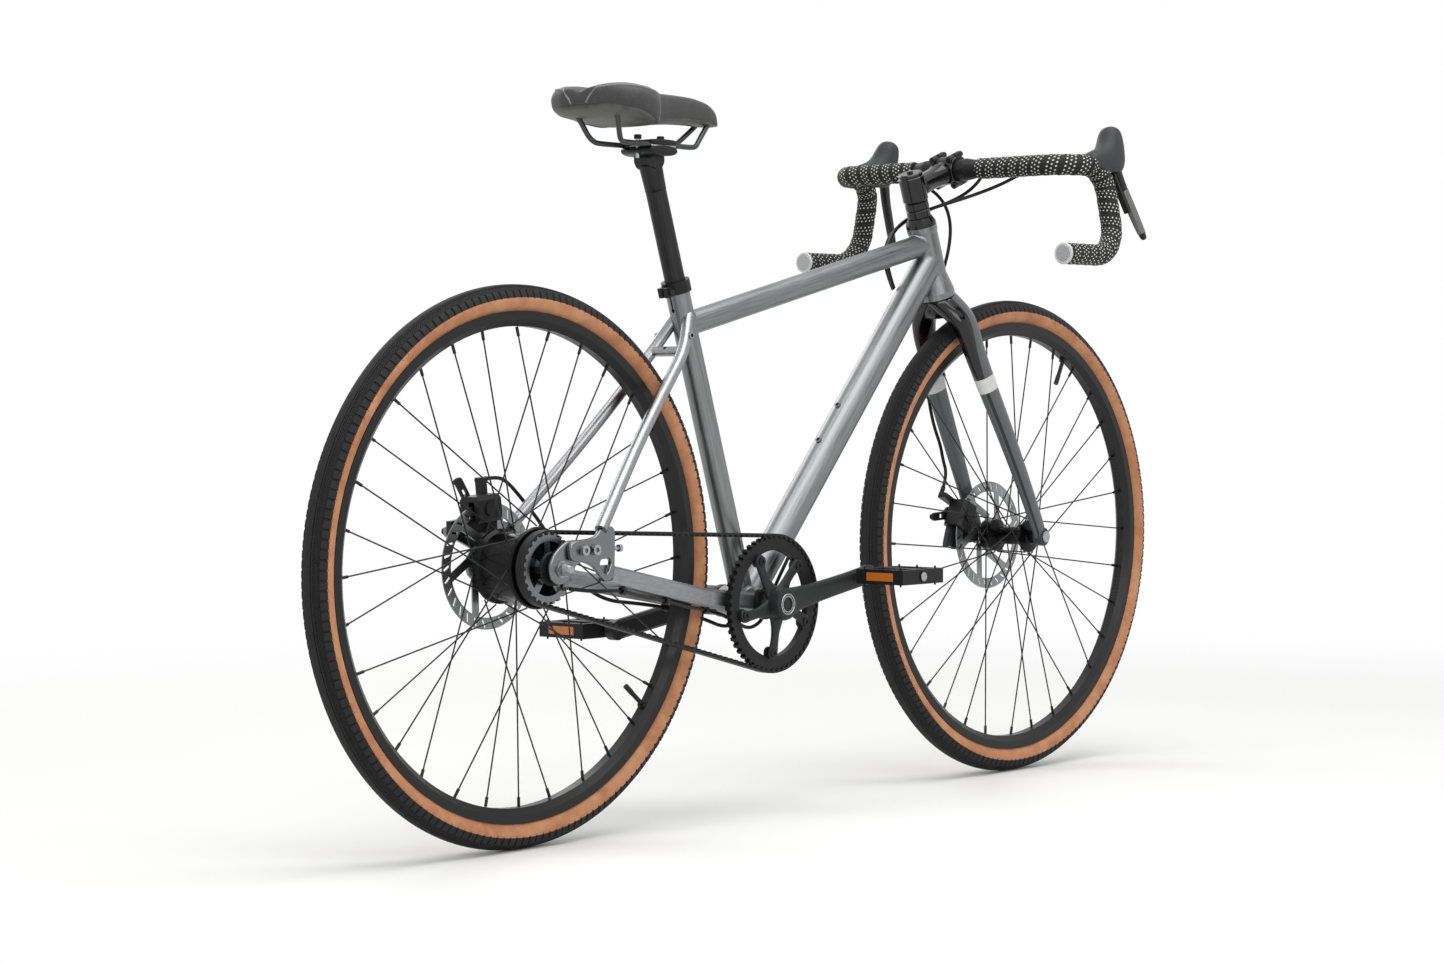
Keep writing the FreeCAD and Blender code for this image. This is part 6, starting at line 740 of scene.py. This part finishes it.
def legGrid(side, low, high, grow, count, around=48):
    # superellipse sections square to the steerer, from the crown down to the axle
    h = np.linspace(high, low, count)
    lead, out, wide, deep = (flowing(fork["heights"][::-1], fork[key][::-1], h)
                             for key in ("leads", "sides", "wide", "deep"))
    outline = roundedOutline(wide + grow, deep + grow, fork["power"], around)
    return carried(onSteerer(h, lead, side * out), leftward * side, steerAhead, outline), h


forkPaint = forkLook()
for word, side in twoSides:
    grid, h = legGrid(side, fork["foot"], fork["top"], 0.0, 120, 64)
    share = (fork["top"] - h) / (fork["top"] - fork["foot"])
    uv = np.stack(np.broadcast_arrays(share[:, None], np.linspace(0, 1, 65)), -1)
    addTube(word + "ForkBlade", grid, forkPaint, *forkSlot, uv=uv)
    band = legGrid(side, *fork["band"], fork["bandGrow"], 8)[0]
    addTube(word + "ForkBand", band, bandWhite, *forkSlot, sharp=40)
    tipStart = layout["frontAxle"] + leftward * side * fork["tipFrom"]
    addRod(word + "ForkTip", tipStart, tipStart + leftward * side * fork["tipLong"], fork["tip"], forkGrey, *forkSlot,
           around=40, bevel=1.2)
crownGrid = carried(onSteerer(fork["crownHeights"], 1.0), leftward, steerAhead,
                    roundedOutline(fork["crownWide"], fork["crownDeep"], 2.6, 48))
addTube("forkCrown", crownGrid, glossBlack, *forkSlot, ["fork"])
# painted shade: the crown's hole is a black rod through it, standing for the dark inside of the hole
holeHeight, holeBack, holeFront, holeRadius = fork["hole"]
addRod("crownHole", onSteerer(holeHeight, holeBack), onSteerer(holeHeight, holeFront), holeRadius, blackNylonAndShade,
       *forkSlot)
# the caliper's mounting plate on the left leg, an outline in the wheel's plane
plateLine = smoothLoop(fork["plate"], 60)
plateFlat = plateLine.mean(0) + scaled(fork["plateTrim"], plateLine - plateLine.mean(0))
plateSide = np.broadcast_to(np.array(fork["plateSides"])[:, None], plateFlat.shape[:2])
plateGrid = np.stack([plateFlat[..., 0], plateSide, plateFlat[..., 1]], -1)
addTube("forkCaliperPlate", plateGrid, forkGrey, *forkSlot, sharp=40)
for word, side in twoSides:
    mouth = np.array(fork["eyelet"]) * (1, side, 1)
    addRod(word + "EyeletScrew", mouth, mouth + leftward * side * fork["eyeletLong"], 3.4, blackNylonAndShade, *forkSlot,
           bevel=0.6)
print("fork shaped")

# Dropouts: cast plates with a rounded edge and a three-cornered window, and rounded axle plates behind them
rearCorner = [(66, 50), (78, 50), (87, 48.5), (90, 40), (90, 10), (89.5, -8), (84.5, -16), (74, -18), (65, -13),
              (56, -3), (45, 3.5), (30, 8), (14, 10.4)]
dropout = dict(
    inner=74.8, outer=81.8, window=(73, 2), windowRadius=9.3, lobe=0.16, lobeTurn=35,
    right=[(10, 16), (10, 28), (20, 34), (44, 36), (57, 40), (66, 48)] + rearCorner[1:],
    left=[(5, 16), (-16, 26), (-38, 35), (-48, 38), (-49, 47), (-43, 51), (-20, 54), (10, 57), (32, 58),
          (50, 54)] + rearCorner,
    plate=[(-19, 0), (-16.5, 11), (-7, 22), (8, 32), (20, 34.4), (44, 34.4), (59, 34), (62, 24), (60, 12), (44, 9),
           (28, 3), (19, -8), (10, -16.5), (-4, -19), (-15, -12.5)],
    plateInner=67.6, plateOuter=74.4, plateMiddle=(14, 9), plateBevel=2.0,
    slotAt=(41, 22), slotHalf=(18, 4.3), slotDepth=2, slotProud=0.1, slotBevel=0.05)
castSlot = ("frame", "cast_silver")


def onPlate(flat, side, depth):
    # points of the plate's own plane, carried out along the axle
    return layout["rearAxle"] + np.stack([flat[..., 0], np.full(len(flat), side * depth), flat[..., 1]], -1)


def dropoutMesh(name, side, outline):
    # the plate's rim joined to the window's rim, ray by ray, with a rounded section on both
    middle = np.array(dropout["window"], float)
    ray = smoothLoop(outline, 160) - middle
    turn = np.arctan2(ray[:, 1], ray[:, 0])
    lobes = np.cos(3 * (turn - math.radians(dropout["lobeTurn"])))
    reach = dropout["windowRadius"] * (1 + dropout["lobe"] * lobes)
    far = np.hypot(ray[:, 0], ray[:, 1])
    inner, outer = dropout["inner"], dropout["outer"]
    rimSteps = [(0, inner + 1.2), (0, outer - 2), (0.6, outer - 0.9), (1.6, outer - 0.2), (3, outer)]
    windowSteps = [(1.8, outer), (0.6, outer - 0.5), (0, outer - 1.6), (0, inner + 1), (1, inner)]
    sizes = [(far - inset, depth) for inset, depth in rimSteps]
    sizes += [(reach + inset, depth) for inset, depth in windowSteps] + [(far - 1.2, inner)]
    rings = [onPlate(middle + ray * (size / far)[:, None], side, depth) for size, depth in sizes]
    return gridMesh(name, np.stack(rings), wrapU=True, wrapV=True)


def slabRings(outline, centre, side, inner, outer, bevel):
    # an outline drawn in near both faces, so that its edges are rounded
    ray = np.asarray(outline) - np.array(centre, float)
    far = np.hypot(ray[:, 0], ray[:, 1])[:, None]
    steps = [(bevel, inner), (0, inner + bevel), (0, outer - bevel), (0.3 * bevel, outer - 0.3 * bevel), (bevel, outer)]
    return np.stack([onPlate(np.array(centre) + ray * (1 - inset / far), side, depth) for inset, depth in steps])


slotLong, slotTall = dropout["slotHalf"]
slotTurn = np.linspace(-np.pi / 2, np.pi / 2, 12)
slotEnd = np.stack([slotLong - slotTall + slotTall * np.cos(slotTurn), slotTall * np.sin(slotTurn)], -1)
slotLine = np.array(dropout["slotAt"]) + np.concatenate([slotEnd, -slotEnd])
for word, side in twoSides:
    stands = (["dropouts"], ["axle_plates"]) if side < 0 else ((), ())
    name = word + "Dropout"
    addPiece(name, dropoutMesh(name, side, dropout[word]), castSilver, *castSlot, stands[0])
    addTube(word + "AxlePlate", slabRings(smoothLoop(dropout["plate"], 120), dropout["plateMiddle"], side,
                                          dropout["plateInner"], dropout["plateOuter"], dropout["plateBevel"]),
            castSilver, *castSlot, stands[1])
    # painted shade: a black slab in the axle slot, a little proud of the face, stands for the dark inside of its recess
    addTube(word + "SlotShade", slabRings(slotLine, dropout["slotAt"], side, dropout["outer"] - dropout["slotDepth"],
                                          dropout["outer"] + dropout["slotProud"], dropout["slotBevel"]),
            blackNylonAndShade, *castSlot, sharp=40)
print("dropouts cast")

# Saddle: two rear lobes with wings that fold down, a groove, a plain nose, and piping along each wing's edge
saddle = dict(
    tail=-409, nose=-148, at=[0, 0.03, 0.09, 0.2, 0.3, 0.37, 0.43, 0.52, 0.64, 0.8, 0.9, 0.96, 1.0],
    half=[36, 54, 71, 75, 67, 50, 34, 27, 24.5, 21.5, 18, 12.5, 5],
    crest=[949, 952.4, 955, 954.8, 952.6, 950.8, 950, 950, 949.8, 947.4, 941.5, 933, 923],
    groove=[4.5, 5.5, 6, 5, 3, 2, 1.5, 1, 0.6, 0.2, 0, 0, 0], grooveEnd=0.33,
    edge=[928.5, 927.5, 924.5, 919, 911.5, 908, 913.5, 918.5, 921, 921.5, 919.5, 917.5, 916.5],
    shell=[926, 921, 915.5, 912, 909.5, 906.5, 908, 911, 913.5, 914.5, 914, 914.5, 916],
    across=[0, 0.14, 0.3, 0.52, 0.74, 0.9, 0.99, 0.985, 0.93, 0.86],
    rise=[0, 0.3, 0.8, 1.0, 0.97, 0.84, 0.56, 0.22, 0.0, 0.0], heart=934.0, back=((0.2, 2.6), (0.72, 2.0), (0.93, 0.9)),
    rail=[(-377, 33.5, 917), (-371, 31, 907), (-364, 27, 893), (-357, 23.5, 886), (-346, 22, 884), (-300, 22, 884),
          (-250, 22, 884), (-222, 22, 884), (-211, 21, 886), (-203, 18.5, 892), (-190, 14.5, 903), (-175, 10.5, 916)],
    railRadius=3.5, seamAlong=[0.004, 0.015, 0.04, 0.09, 0.15, 0.22, 0.29, 0.34, 0.38, 0.4],
    seamHeight=[0.45, 0.48, 0.51, 0.54, 0.56, 0.57, 0.58, 0.61, 0.7, 0.87], seamRadius=1.5,
    seamTail=[(-410.6, 13, 930), (-411, 17, 936), (-410, 22.5, 942)])
saddleLong = saddle["nose"] - saddle["tail"]


def saddlePoint(t, v):
    # t runs from tail to nose; v from the groove (0) over the crest to the skirt's edge (0.9) and just under it (1)
    half, crest, groove, edge = (flowing(saddle["at"], saddle[key], t) for key in ("half", "crest", "groove", "edge"))
    across, rise = evenly(saddle["across"], v), evenly(saddle["rise"], v)
    top = crest - groove * (0.5 + 0.5 * np.cos(np.pi * np.clip(v / saddle["grooveEnd"], 0, 1)))
    z = edge + (top - edge) * np.where(v < saddle["grooveEnd"], 1.0, rise)
    return np.stack([saddle["tail"] + saddleLong * t, half * across, z], -1)


def saddleGrid():
    # the left half's section and its mirror image, closed below by the flat underside
    t, v = np.meshgrid(np.linspace(0, 1, 130), np.linspace(0, 1, 44), indexing="ij")
    left = saddlePoint(t.ravel(), v.ravel()).reshape(130, 44, 3)
    grid = np.concatenate([left[:, :0:-1], left * (1, -1, 1)], 1)
    # the tail rounds over: three smaller rings close it towards a point low on its back
    heart = np.array([saddle["tail"], 0, saddle["heart"]])
    back = [heart + (grid[0] - heart) * (1, share, share) - ahead * depth for share, depth in saddle["back"]]
    return np.concatenate([np.stack(back), grid])


def saddleLook():
    # moulded vinyl over foam: fine leather grain about 1 mm across, soft sheen
    material, tree, shader = newFinish("saddleVinyl", "#3c3c3d", 0.55, shine=soft)
    place = objectPlace(tree, 1)
    cells = put(tree, "ShaderNodeTexVoronoi", {"Scale": 0.8, "Vector": place}).outputs["Distance"]
    mottle(tree, shader, place, ("#363637", "#424243"), (0.48, 0.6), 0.12, scale=0.2, height=cells)
    return material


def shellGrid():
    # moulded shell: from the cover's edge a shallow bowl hangs down to the rails, closed above inside the cover
    t = np.linspace(0.012, 0.985, 90)
    half, edge, low = (flowing(saddle["at"], saddle[key], t)[:, None] for key in ("half", "edge", "shell"))
    turn = np.linspace(0, np.pi, 25)
    brim = edge + 1.5
    below = np.minimum(brim - (brim - low) * np.sin(turn) ** 0.6, brim)
    along = (saddle["tail"] + saddleLong * t)[:, None]
    lower = np.stack(np.broadcast_arrays(along, 0.9 * half * np.cos(turn), below), -1)
    upper = lower[:, -2:0:-1].copy()
    upper[..., 2] = edge + 3.0
    return np.concatenate([lower, upper], 1)


cover = addTube("saddleCover", saddleGrid(), saddleLook(), "saddle", "saddle_vinyl", ["saddle_cushion"])
addTube("saddleShell", shellGrid(), shellGrey, "saddle", "black_plastic", ["saddle_base"])
railLine = evenly(saddle["rail"], np.linspace(0, 1, 90))
for word, side in twoSides:
    addTube(word + "Rail", pathTube(railLine * (1, side, 1), leftward, saddle["railRadius"], 16), railSteel, "saddle",
            "black_steel", ["saddle_rails"] if side < 0 else ())
seamAt = np.linspace(0, 1, 80)
seamLine = saddlePoint(evenly(saddle["seamAlong"], seamAt), evenly(saddle["seamHeight"], seamAt))
seamLine = np.concatenate([saddle["seamTail"], seamLine])
for word, side in twoSides:
    bead = pathTube(seamLine * (1, side, 1), (0.1, 0, 1.0), saddle["seamRadius"], 10)
    addTube(word + "WingPiping", bead, pipeDark, "saddle", "saddle_vinyl")
print("saddle covered")

# Saddle clamp: a rounded cradle under the rails, a cap over them, a toothed silver band between and two bolts
clamp = dict(
    centre=np.array([-278.0, 0, 884]), boltShift=22.0, boltFoot=-17, boltLong=30, boltRadius=2.9, headFrom=24.6,
    headTo=30.4, headRadius=5, ends=np.array([-1, -0.98, -0.9, 0.9, 0.98, 1]),
    trim=np.array([0.82, 0.94, 1, 1, 0.94, 0.82]), neckRise=np.array([570.5, 580, 589, 597, 603, 607.0]),
    neckHalf=np.array([13.66, 13.75, 13.9, 14, 13.8, 13.2]), neckSide=np.array([13.66, 13.8, 14.3, 14.9, 15.1, 14.9]))
clampSlot = ("saddle_mount", "black_alloy")


def crossBar(rise, halfLong, halfTall, halfWide, power):
    # a superellipse section carried sideways, drawn in at both ends
    centres = clamp["centre"] + upward * rise + scaled(clamp["ends"] * halfWide, leftward)
    outline = roundedOutline(halfLong * clamp["trim"], halfTall * clamp["trim"], power, 48)
    return carried(centres, ahead, upward, outline)


addTube("railCradle", crossBar(-7.2, 27, 7, 27, 2.3), satinBlack, *clampSlot, ["saddle_cradle"])
addTube("railCap", crossBar(3.6, 26, 3.6, 27.5, 3), satinBlack, *clampSlot, ["saddle_clamp"])
addTube("cradleTeeth", crossBar(-1.4, 25, 1.3, 26.6, 5), zincSteel, *clampSlot)
for place, way in (("Back", -1), ("Front", 1)):
    foot = clamp["centre"] + (way * clamp["boltShift"], 0, clamp["boltFoot"])
    addRod("clampBolt" + place, foot, foot + upward * clamp["boltLong"], clamp["boltRadius"], zincSteel, *clampSlot)
    addRod("clampHead" + place, foot + upward * clamp["headFrom"], foot + upward * clamp["headTo"],
           clamp["headRadius"], satinBlack, *clampSlot, bevel=0.7)
# the post widens a little under the clamp; the flare stays above the collar when the post is lowest
neckLine = layout["bracket"] + scaled(clamp["neckRise"], seatUp)
neckGrid = carried(neckLine, leftward, np.cross(seatUp, leftward),
                   roundedOutline(clamp["neckSide"], clamp["neckHalf"], 2.2, 48))
addTube("postNeck", neckGrid, postBlack, "seatpost", "black_alloy")
print("saddle clamp shaped")

# Stem: a round neck between the steerer collar and the half clamp behind the bar
stem = dict(
    middle=555.5, low=537.2, high=573.8, reach=88, collar=18.4, leads=np.array([8, 16, 26, 40, 54, 64, 70.5]),
    wide=np.array([17, 16.4, 15.4, 15, 16, 18, 19.6]), tall=np.array([17, 16.2, 15, 14.2, 14.6, 16.4, 18]),
    arc=(92, 268), block=[(16.1, -20.4), (16.1, 20.4), (16.7, 21), (19.8, 21), (20.5, 20.3), (20.5, -20.3),
                          (19.8, -21), (16.7, -21)],
    ears=((-14.5, -19.2), (-14.5, 19.2), (14.5, -19.2), (14.5, 19.2)), earFrom=-14, earTo=-1, earRadius=5.2)
alloySlot = ("steering", "black_alloy")
addRod("stemCollar", onSteerer(stem["low"]), onSteerer(stem["high"]), stem["collar"], glossBlack, *alloySlot, around=48,
       bevel=1.6, stands=["stem"])
neckGrid = carried(onSteerer(stem["middle"], stem["leads"]), leftward, steerUp,
                   roundedOutline(stem["wide"], stem["tall"], 2.3, 48))
addTube("stemNeck", neckGrid, glossBlack, *alloySlot)
# the half clamp: a block section of (radius, side) swept round the bar's rear
turn = np.radians(np.linspace(*stem["arc"], 40))[:, None, None]
radius, side = np.array(stem["block"]).T[..., None]
clampGrid = layout["barCentre"] + (np.cos(turn) * steerAhead + np.sin(turn) * steerUp) * radius + side * leftward
addTube("stemClamp", clampGrid, glossBlack, *alloySlot, sharp=40)
for number, (sideways, rise) in enumerate(stem["ears"]):
    start, end = (onSteerer(stem["middle"] + rise, stem["reach"] + stem[key], sideways) for key in ("earFrom", "earTo"))
    addRod(f"stemEar{number}", start, end, stem["earRadius"], glossBlack, *alloySlot, around=24, bevel=0.8)
print("stem shaped")

# Right crank: arm, boss and five curved spider arms that widen into the boss
crank = dict(
    angle=11, length=170, at=[-6, 10, 26, 50, 90, 130, 158, 170, 177, 181, 183],
    plane=[68.5, 68.7, 69.5, 71.5, 75.5, 79.3, 81.2, 81.5, 81.5, 81.5, 81.5],
    half=[19.5, 19, 16.8, 14.6, 13.2, 12.8, 13, 13, 11.2, 8, 4],
    depth=[6.8, 6.8, 6.6, 6.4, 6.4, 6.4, 6.5, 6.5, 6.2, 5.4, 4],
    spiderAt=[10, 18, 26, 36, 48, 58, 66, 71, 74], spiderHalf=[15, 12.4, 9.6, 7.2, 6.6, 7.4, 8.5, 7.4, 3.6], bow=3.5,
    arms=5, armDepth=3.1, armSwell=2.6, swellEnd=40, swellSpan=30, armPlane=56.2,
    axleFrom=80, axleLong=90, axleRadius=4.8,
    boss=[(9.6, -61), (22, -61), (22, -72), (20.5, -76.5), (18, -78), (12, -78), (9.6, -77)],
    spindle=[(9.6, -77.6), (12, -77.6), (12, 74.8), (9.6, 74.8)],
    ring=[(12.3, -78.05), (13.4, -78.5), (14.4, -78.05), (14.2, -77.4), (12.5, -77.4)])
crankSlot = ("crankset", "grey_alloy")


def spoke(degrees):
    # the directions along and across a line at an angle in the crank's plane
    turn = math.radians(degrees)
    return np.array([math.cos(turn), 0, math.sin(turn)]), np.array([-math.sin(turn), 0, math.cos(turn)])


def crankGrid(degrees, reach, bow, plane, outline):
    # an outline carried out from the spindle at an angle, bowed across and set back to its plane
    out, across = spoke(degrees)
    centres = layout["bracket"] + scaled(reach, out) + scaled(bow, across) - scaled(plane, leftward)
    return carried(centres, across, -leftward, outline)


reach = np.linspace(crank["at"][0], crank["at"][-1], 80)
plane, half, depth = (flowing(crank["at"], crank[key], reach) for key in ("plane", "half", "depth"))
addTube("crankArm", crankGrid(crank["angle"], reach, 0 * reach, plane, roundedOutline(half, depth, 3, 44)), crankGrey,
        *crankSlot, ["right_crank"])
addTurned("crankBoss", crank["boss"], layout["bracket"], 64, crankGrey, *crankSlot, sharp=35)
addTurned("crankSpindle", crank["spindle"], layout["bracket"], 48, zincSteel, *crankSlot, sharp=35)
spiderFrom, spiderTo = crank["spiderAt"][0], crank["spiderAt"][-1]
reach = np.linspace(spiderFrom, spiderTo, 40)
half = flowing(crank["spiderAt"], crank["spiderHalf"], reach)
bow = crank["bow"] * np.sin((reach - spiderFrom) / (spiderTo - spiderFrom) * np.pi)
swell = crank["armSwell"] * np.clip((crank["swellEnd"] - reach) / crank["swellSpan"], 0, 1)
outline = roundedOutline(half, crank["armDepth"] + swell, 3.2, 28)
for number in range(crank["arms"]):
    degrees = crank["angle"] + (number + 0.5) * 360 / crank["arms"]
    grid = crankGrid(degrees, reach, bow, crank["armPlane"] + swell, outline)
    addTube(f"spiderArm{number}", grid, crankGrey, *crankSlot)
axleStart = layout["bracket"] + spoke(crank["angle"])[0] * crank["length"] - leftward * crank["axleFrom"]
axleEnd = axleStart - leftward * crank["axleLong"]
addRod("rightPedalAxle", axleStart, axleEnd, crank["axleRadius"], zincSteel, *crankSlot)
print("crank shaped")

# Small bright parts: amber reflectors, pedal caps, bar plug discs and the spindle's ring
small = dict(pedalOut=136.5, reflectorAt=44.0, reflector=(2.6, 45.6, 11.6), bevel=0.6, capAt=40.7, capLong=0.9,
             capRadius=6.2, plug=(324.32, 232.47, 757.13), plugLong=0.4, plugRadius=11.5)
amber, amberTree, amberShader = newFinish("amberReflector", "#b85a12", 0.25, coat=0.5)
prism = put(amberTree, "ShaderNodeTexChecker", {"Scale": 0.5, "Color1": linear("#a34c0c"), "Color2": linear("#d4801f"),
                                                "Vector": objectPlace(amberTree, 1)})
feed(amberTree, amberShader, {"Base Color": prism.outputs["Color"]})  # moulded prisms, drawn 2 mm wide


def slabGrid(centre, size, bevel):
    # a block with bevelled edges, as four square rings along X
    long, wide, tall = np.array(size) / 2
    ring = np.array([(-1, -1), (1, -1), (1, 1), (-1, 1)], float)
    steps = ((-long, bevel), (bevel - long, 0), (long - bevel, 0), (long, bevel))
    return centre + np.stack([np.column_stack([np.full(4, x), ring * (wide - trim, tall - trim)]) for x, trim in steps])


for (word, side), degrees in zip(twoSides, (crank["angle"], crank["angle"] + 180)):
    pedalSlot = (word + "_pedal", "black_plastic")
    hubAt = layout["bracket"] + spoke(degrees)[0] * crank["length"] + leftward * side * small["pedalOut"]
    for place, way in (("Back", -1), ("Front", 1)):
        grid = slabGrid(hubAt + ahead * way * small["reflectorAt"], small["reflector"], small["bevel"])
        addTube(f"{word}Reflector{place}", grid, amber, *pedalSlot, sharp=20)
    capAt = hubAt + leftward * side * small["capAt"]
    capEnd = capAt + leftward * side * small["capLong"]
    addRod(word + "PedalCap", capAt, capEnd, small["capRadius"], zincSteel, *pedalSlot, around=28, bevel=0.3)
    plugAt = np.array(small["plug"]) * (1, side, 1)
    addRod(word + "PlugDisc", plugAt, plugAt - ahead * small["plugLong"], small["plugRadius"], zincSteel, "steering",
           "black_plastic", around=40, bevel=0.15)
addTurned("spindleRing", crank["ring"], layout["bracket"], 64, zincSteel, *crankSlot)
print("small parts added")

# Studio: pale floor, soft light from above, and the camera where the photographer stood
studio = dict(camera=(-3307, -2717, 572), yaw=40.58, pitch=-1.72, roll=-0.13, lens=78.27, sensor=36, world=0.5,
              floorTone="#e9e9e8", floorHalf=40000.0, fade=(0.9, 3.2), aim=(0, 0, 0.45))
lamps = dict(
    top=dict(place=(-0.3, -0.6, 3.4), size=(3.6, 2.6), power=95),
    side=dict(place=(-1.2, -3.6, 2.1), size=(2.4, 1.6), power=40),
    back=dict(place=(1.0, 3.4, 2.4), size=(2.6, 1.6), power=35))


def facing(look):
    return look.to_track_quat("-Z", "Y").to_matrix().to_4x4()


yaw, pitch = math.radians(studio["yaw"]), math.radians(studio["pitch"])
look = Vector((math.cos(yaw) * math.cos(pitch), math.sin(yaw) * math.cos(pitch), math.sin(pitch)))
cameraData = bpy.data.cameras.new("photoCamera")
cameraData.sensor_fit = "HORIZONTAL"
cameraData.sensor_width = studio["sensor"]
cameraData.lens = studio["lens"]
cameraData.clip_end = 200
camera = bpy.data.objects.new("photoCamera", cameraData)
scene.collection.objects.link(camera)
camera.matrix_world = (Matrix.Translation(Vector(studio["camera"]) * mm) @ facing(look)
                       @ Matrix.Rotation(math.radians(studio["roll"]), 4, "Z"))
scene.camera = camera
scene.view_settings.view_transform = "Standard"

# the floor fades into the white of the background away from the bicycle
reach = np.array([-1, 1]) * studio["floorHalf"]
floorMesh = gridMesh("floor", np.stack(np.meshgrid(reach, reach, [0.0], indexing="ij"), -1)[:, :, 0])
floor = bpy.data.objects.new("floor", floorMesh)
scene.collection.objects.link(floor)
paleFloor, tree, shader = newFinish("paleFloor", studio["floorTone"], 0.9)
path = put(tree, "ShaderNodeLightPath").outputs
seen = maths(tree, "MAXIMUM", path["Is Camera Ray"], path["Is Glossy Ray"])
coord = put(tree, "ShaderNodeTexCoord")
far = put(tree, "ShaderNodeVectorMath", {"operation": "LENGTH", 0: coord.outputs["Object"]}).outputs["Value"]
fade = put(tree, "ShaderNodeMapRange", {"interpolation_type": "SMOOTHSTEP", "From Min": studio["fade"][0],
                                        "From Max": studio["fade"][1], "Value": far})
share = maths(tree, "MULTIPLY", seen, fade.outputs[0])
glow = put(tree, "ShaderNodeEmission", {"Strength": 1.0})
mix = put(tree, "ShaderNodeMixShader", {0: share, 1: shader.outputs[0], 2: glow.outputs[0]})
feed(tree, tree.nodes["Material Output"], {"Surface": mix.outputs[0]})
floorMesh.materials.append(paleFloor)

# white to the camera and in reflections, half as bright as a light
world = bpy.data.worlds.new("studio")
scene.world = world
world.use_nodes = True
tree = world.node_tree
path = put(tree, "ShaderNodeLightPath").outputs
shown = maths(tree, "ADD", path["Is Camera Ray"], path["Is Glossy Ray"])
whole = put(tree, "ShaderNodeMath", {"operation": "ADD", "use_clamp": True, 0: shown, 1: path["Is Transmission Ray"]})
level = ranged(tree, whole.outputs[0], 0, 1, studio["world"], 1.0)
feed(tree, tree.nodes["Background"], {"Strength": level, "Color": (1, 1, 1, 1)})
for name, lamp in lamps.items():
    light = bpy.data.lights.new(name + "Softbox", "AREA")
    light.shape = "RECTANGLE"
    light.size, light.size_y = lamp["size"]
    light.energy = lamp["power"]
    holder = bpy.data.objects.new(name + "Softbox", light)
    scene.collection.objects.link(holder)
    holder.matrix_world = (Matrix.Translation(lamp["place"])
                           @ facing(Vector(studio["aim"]) - Vector(lamp["place"])))
print("studio set")
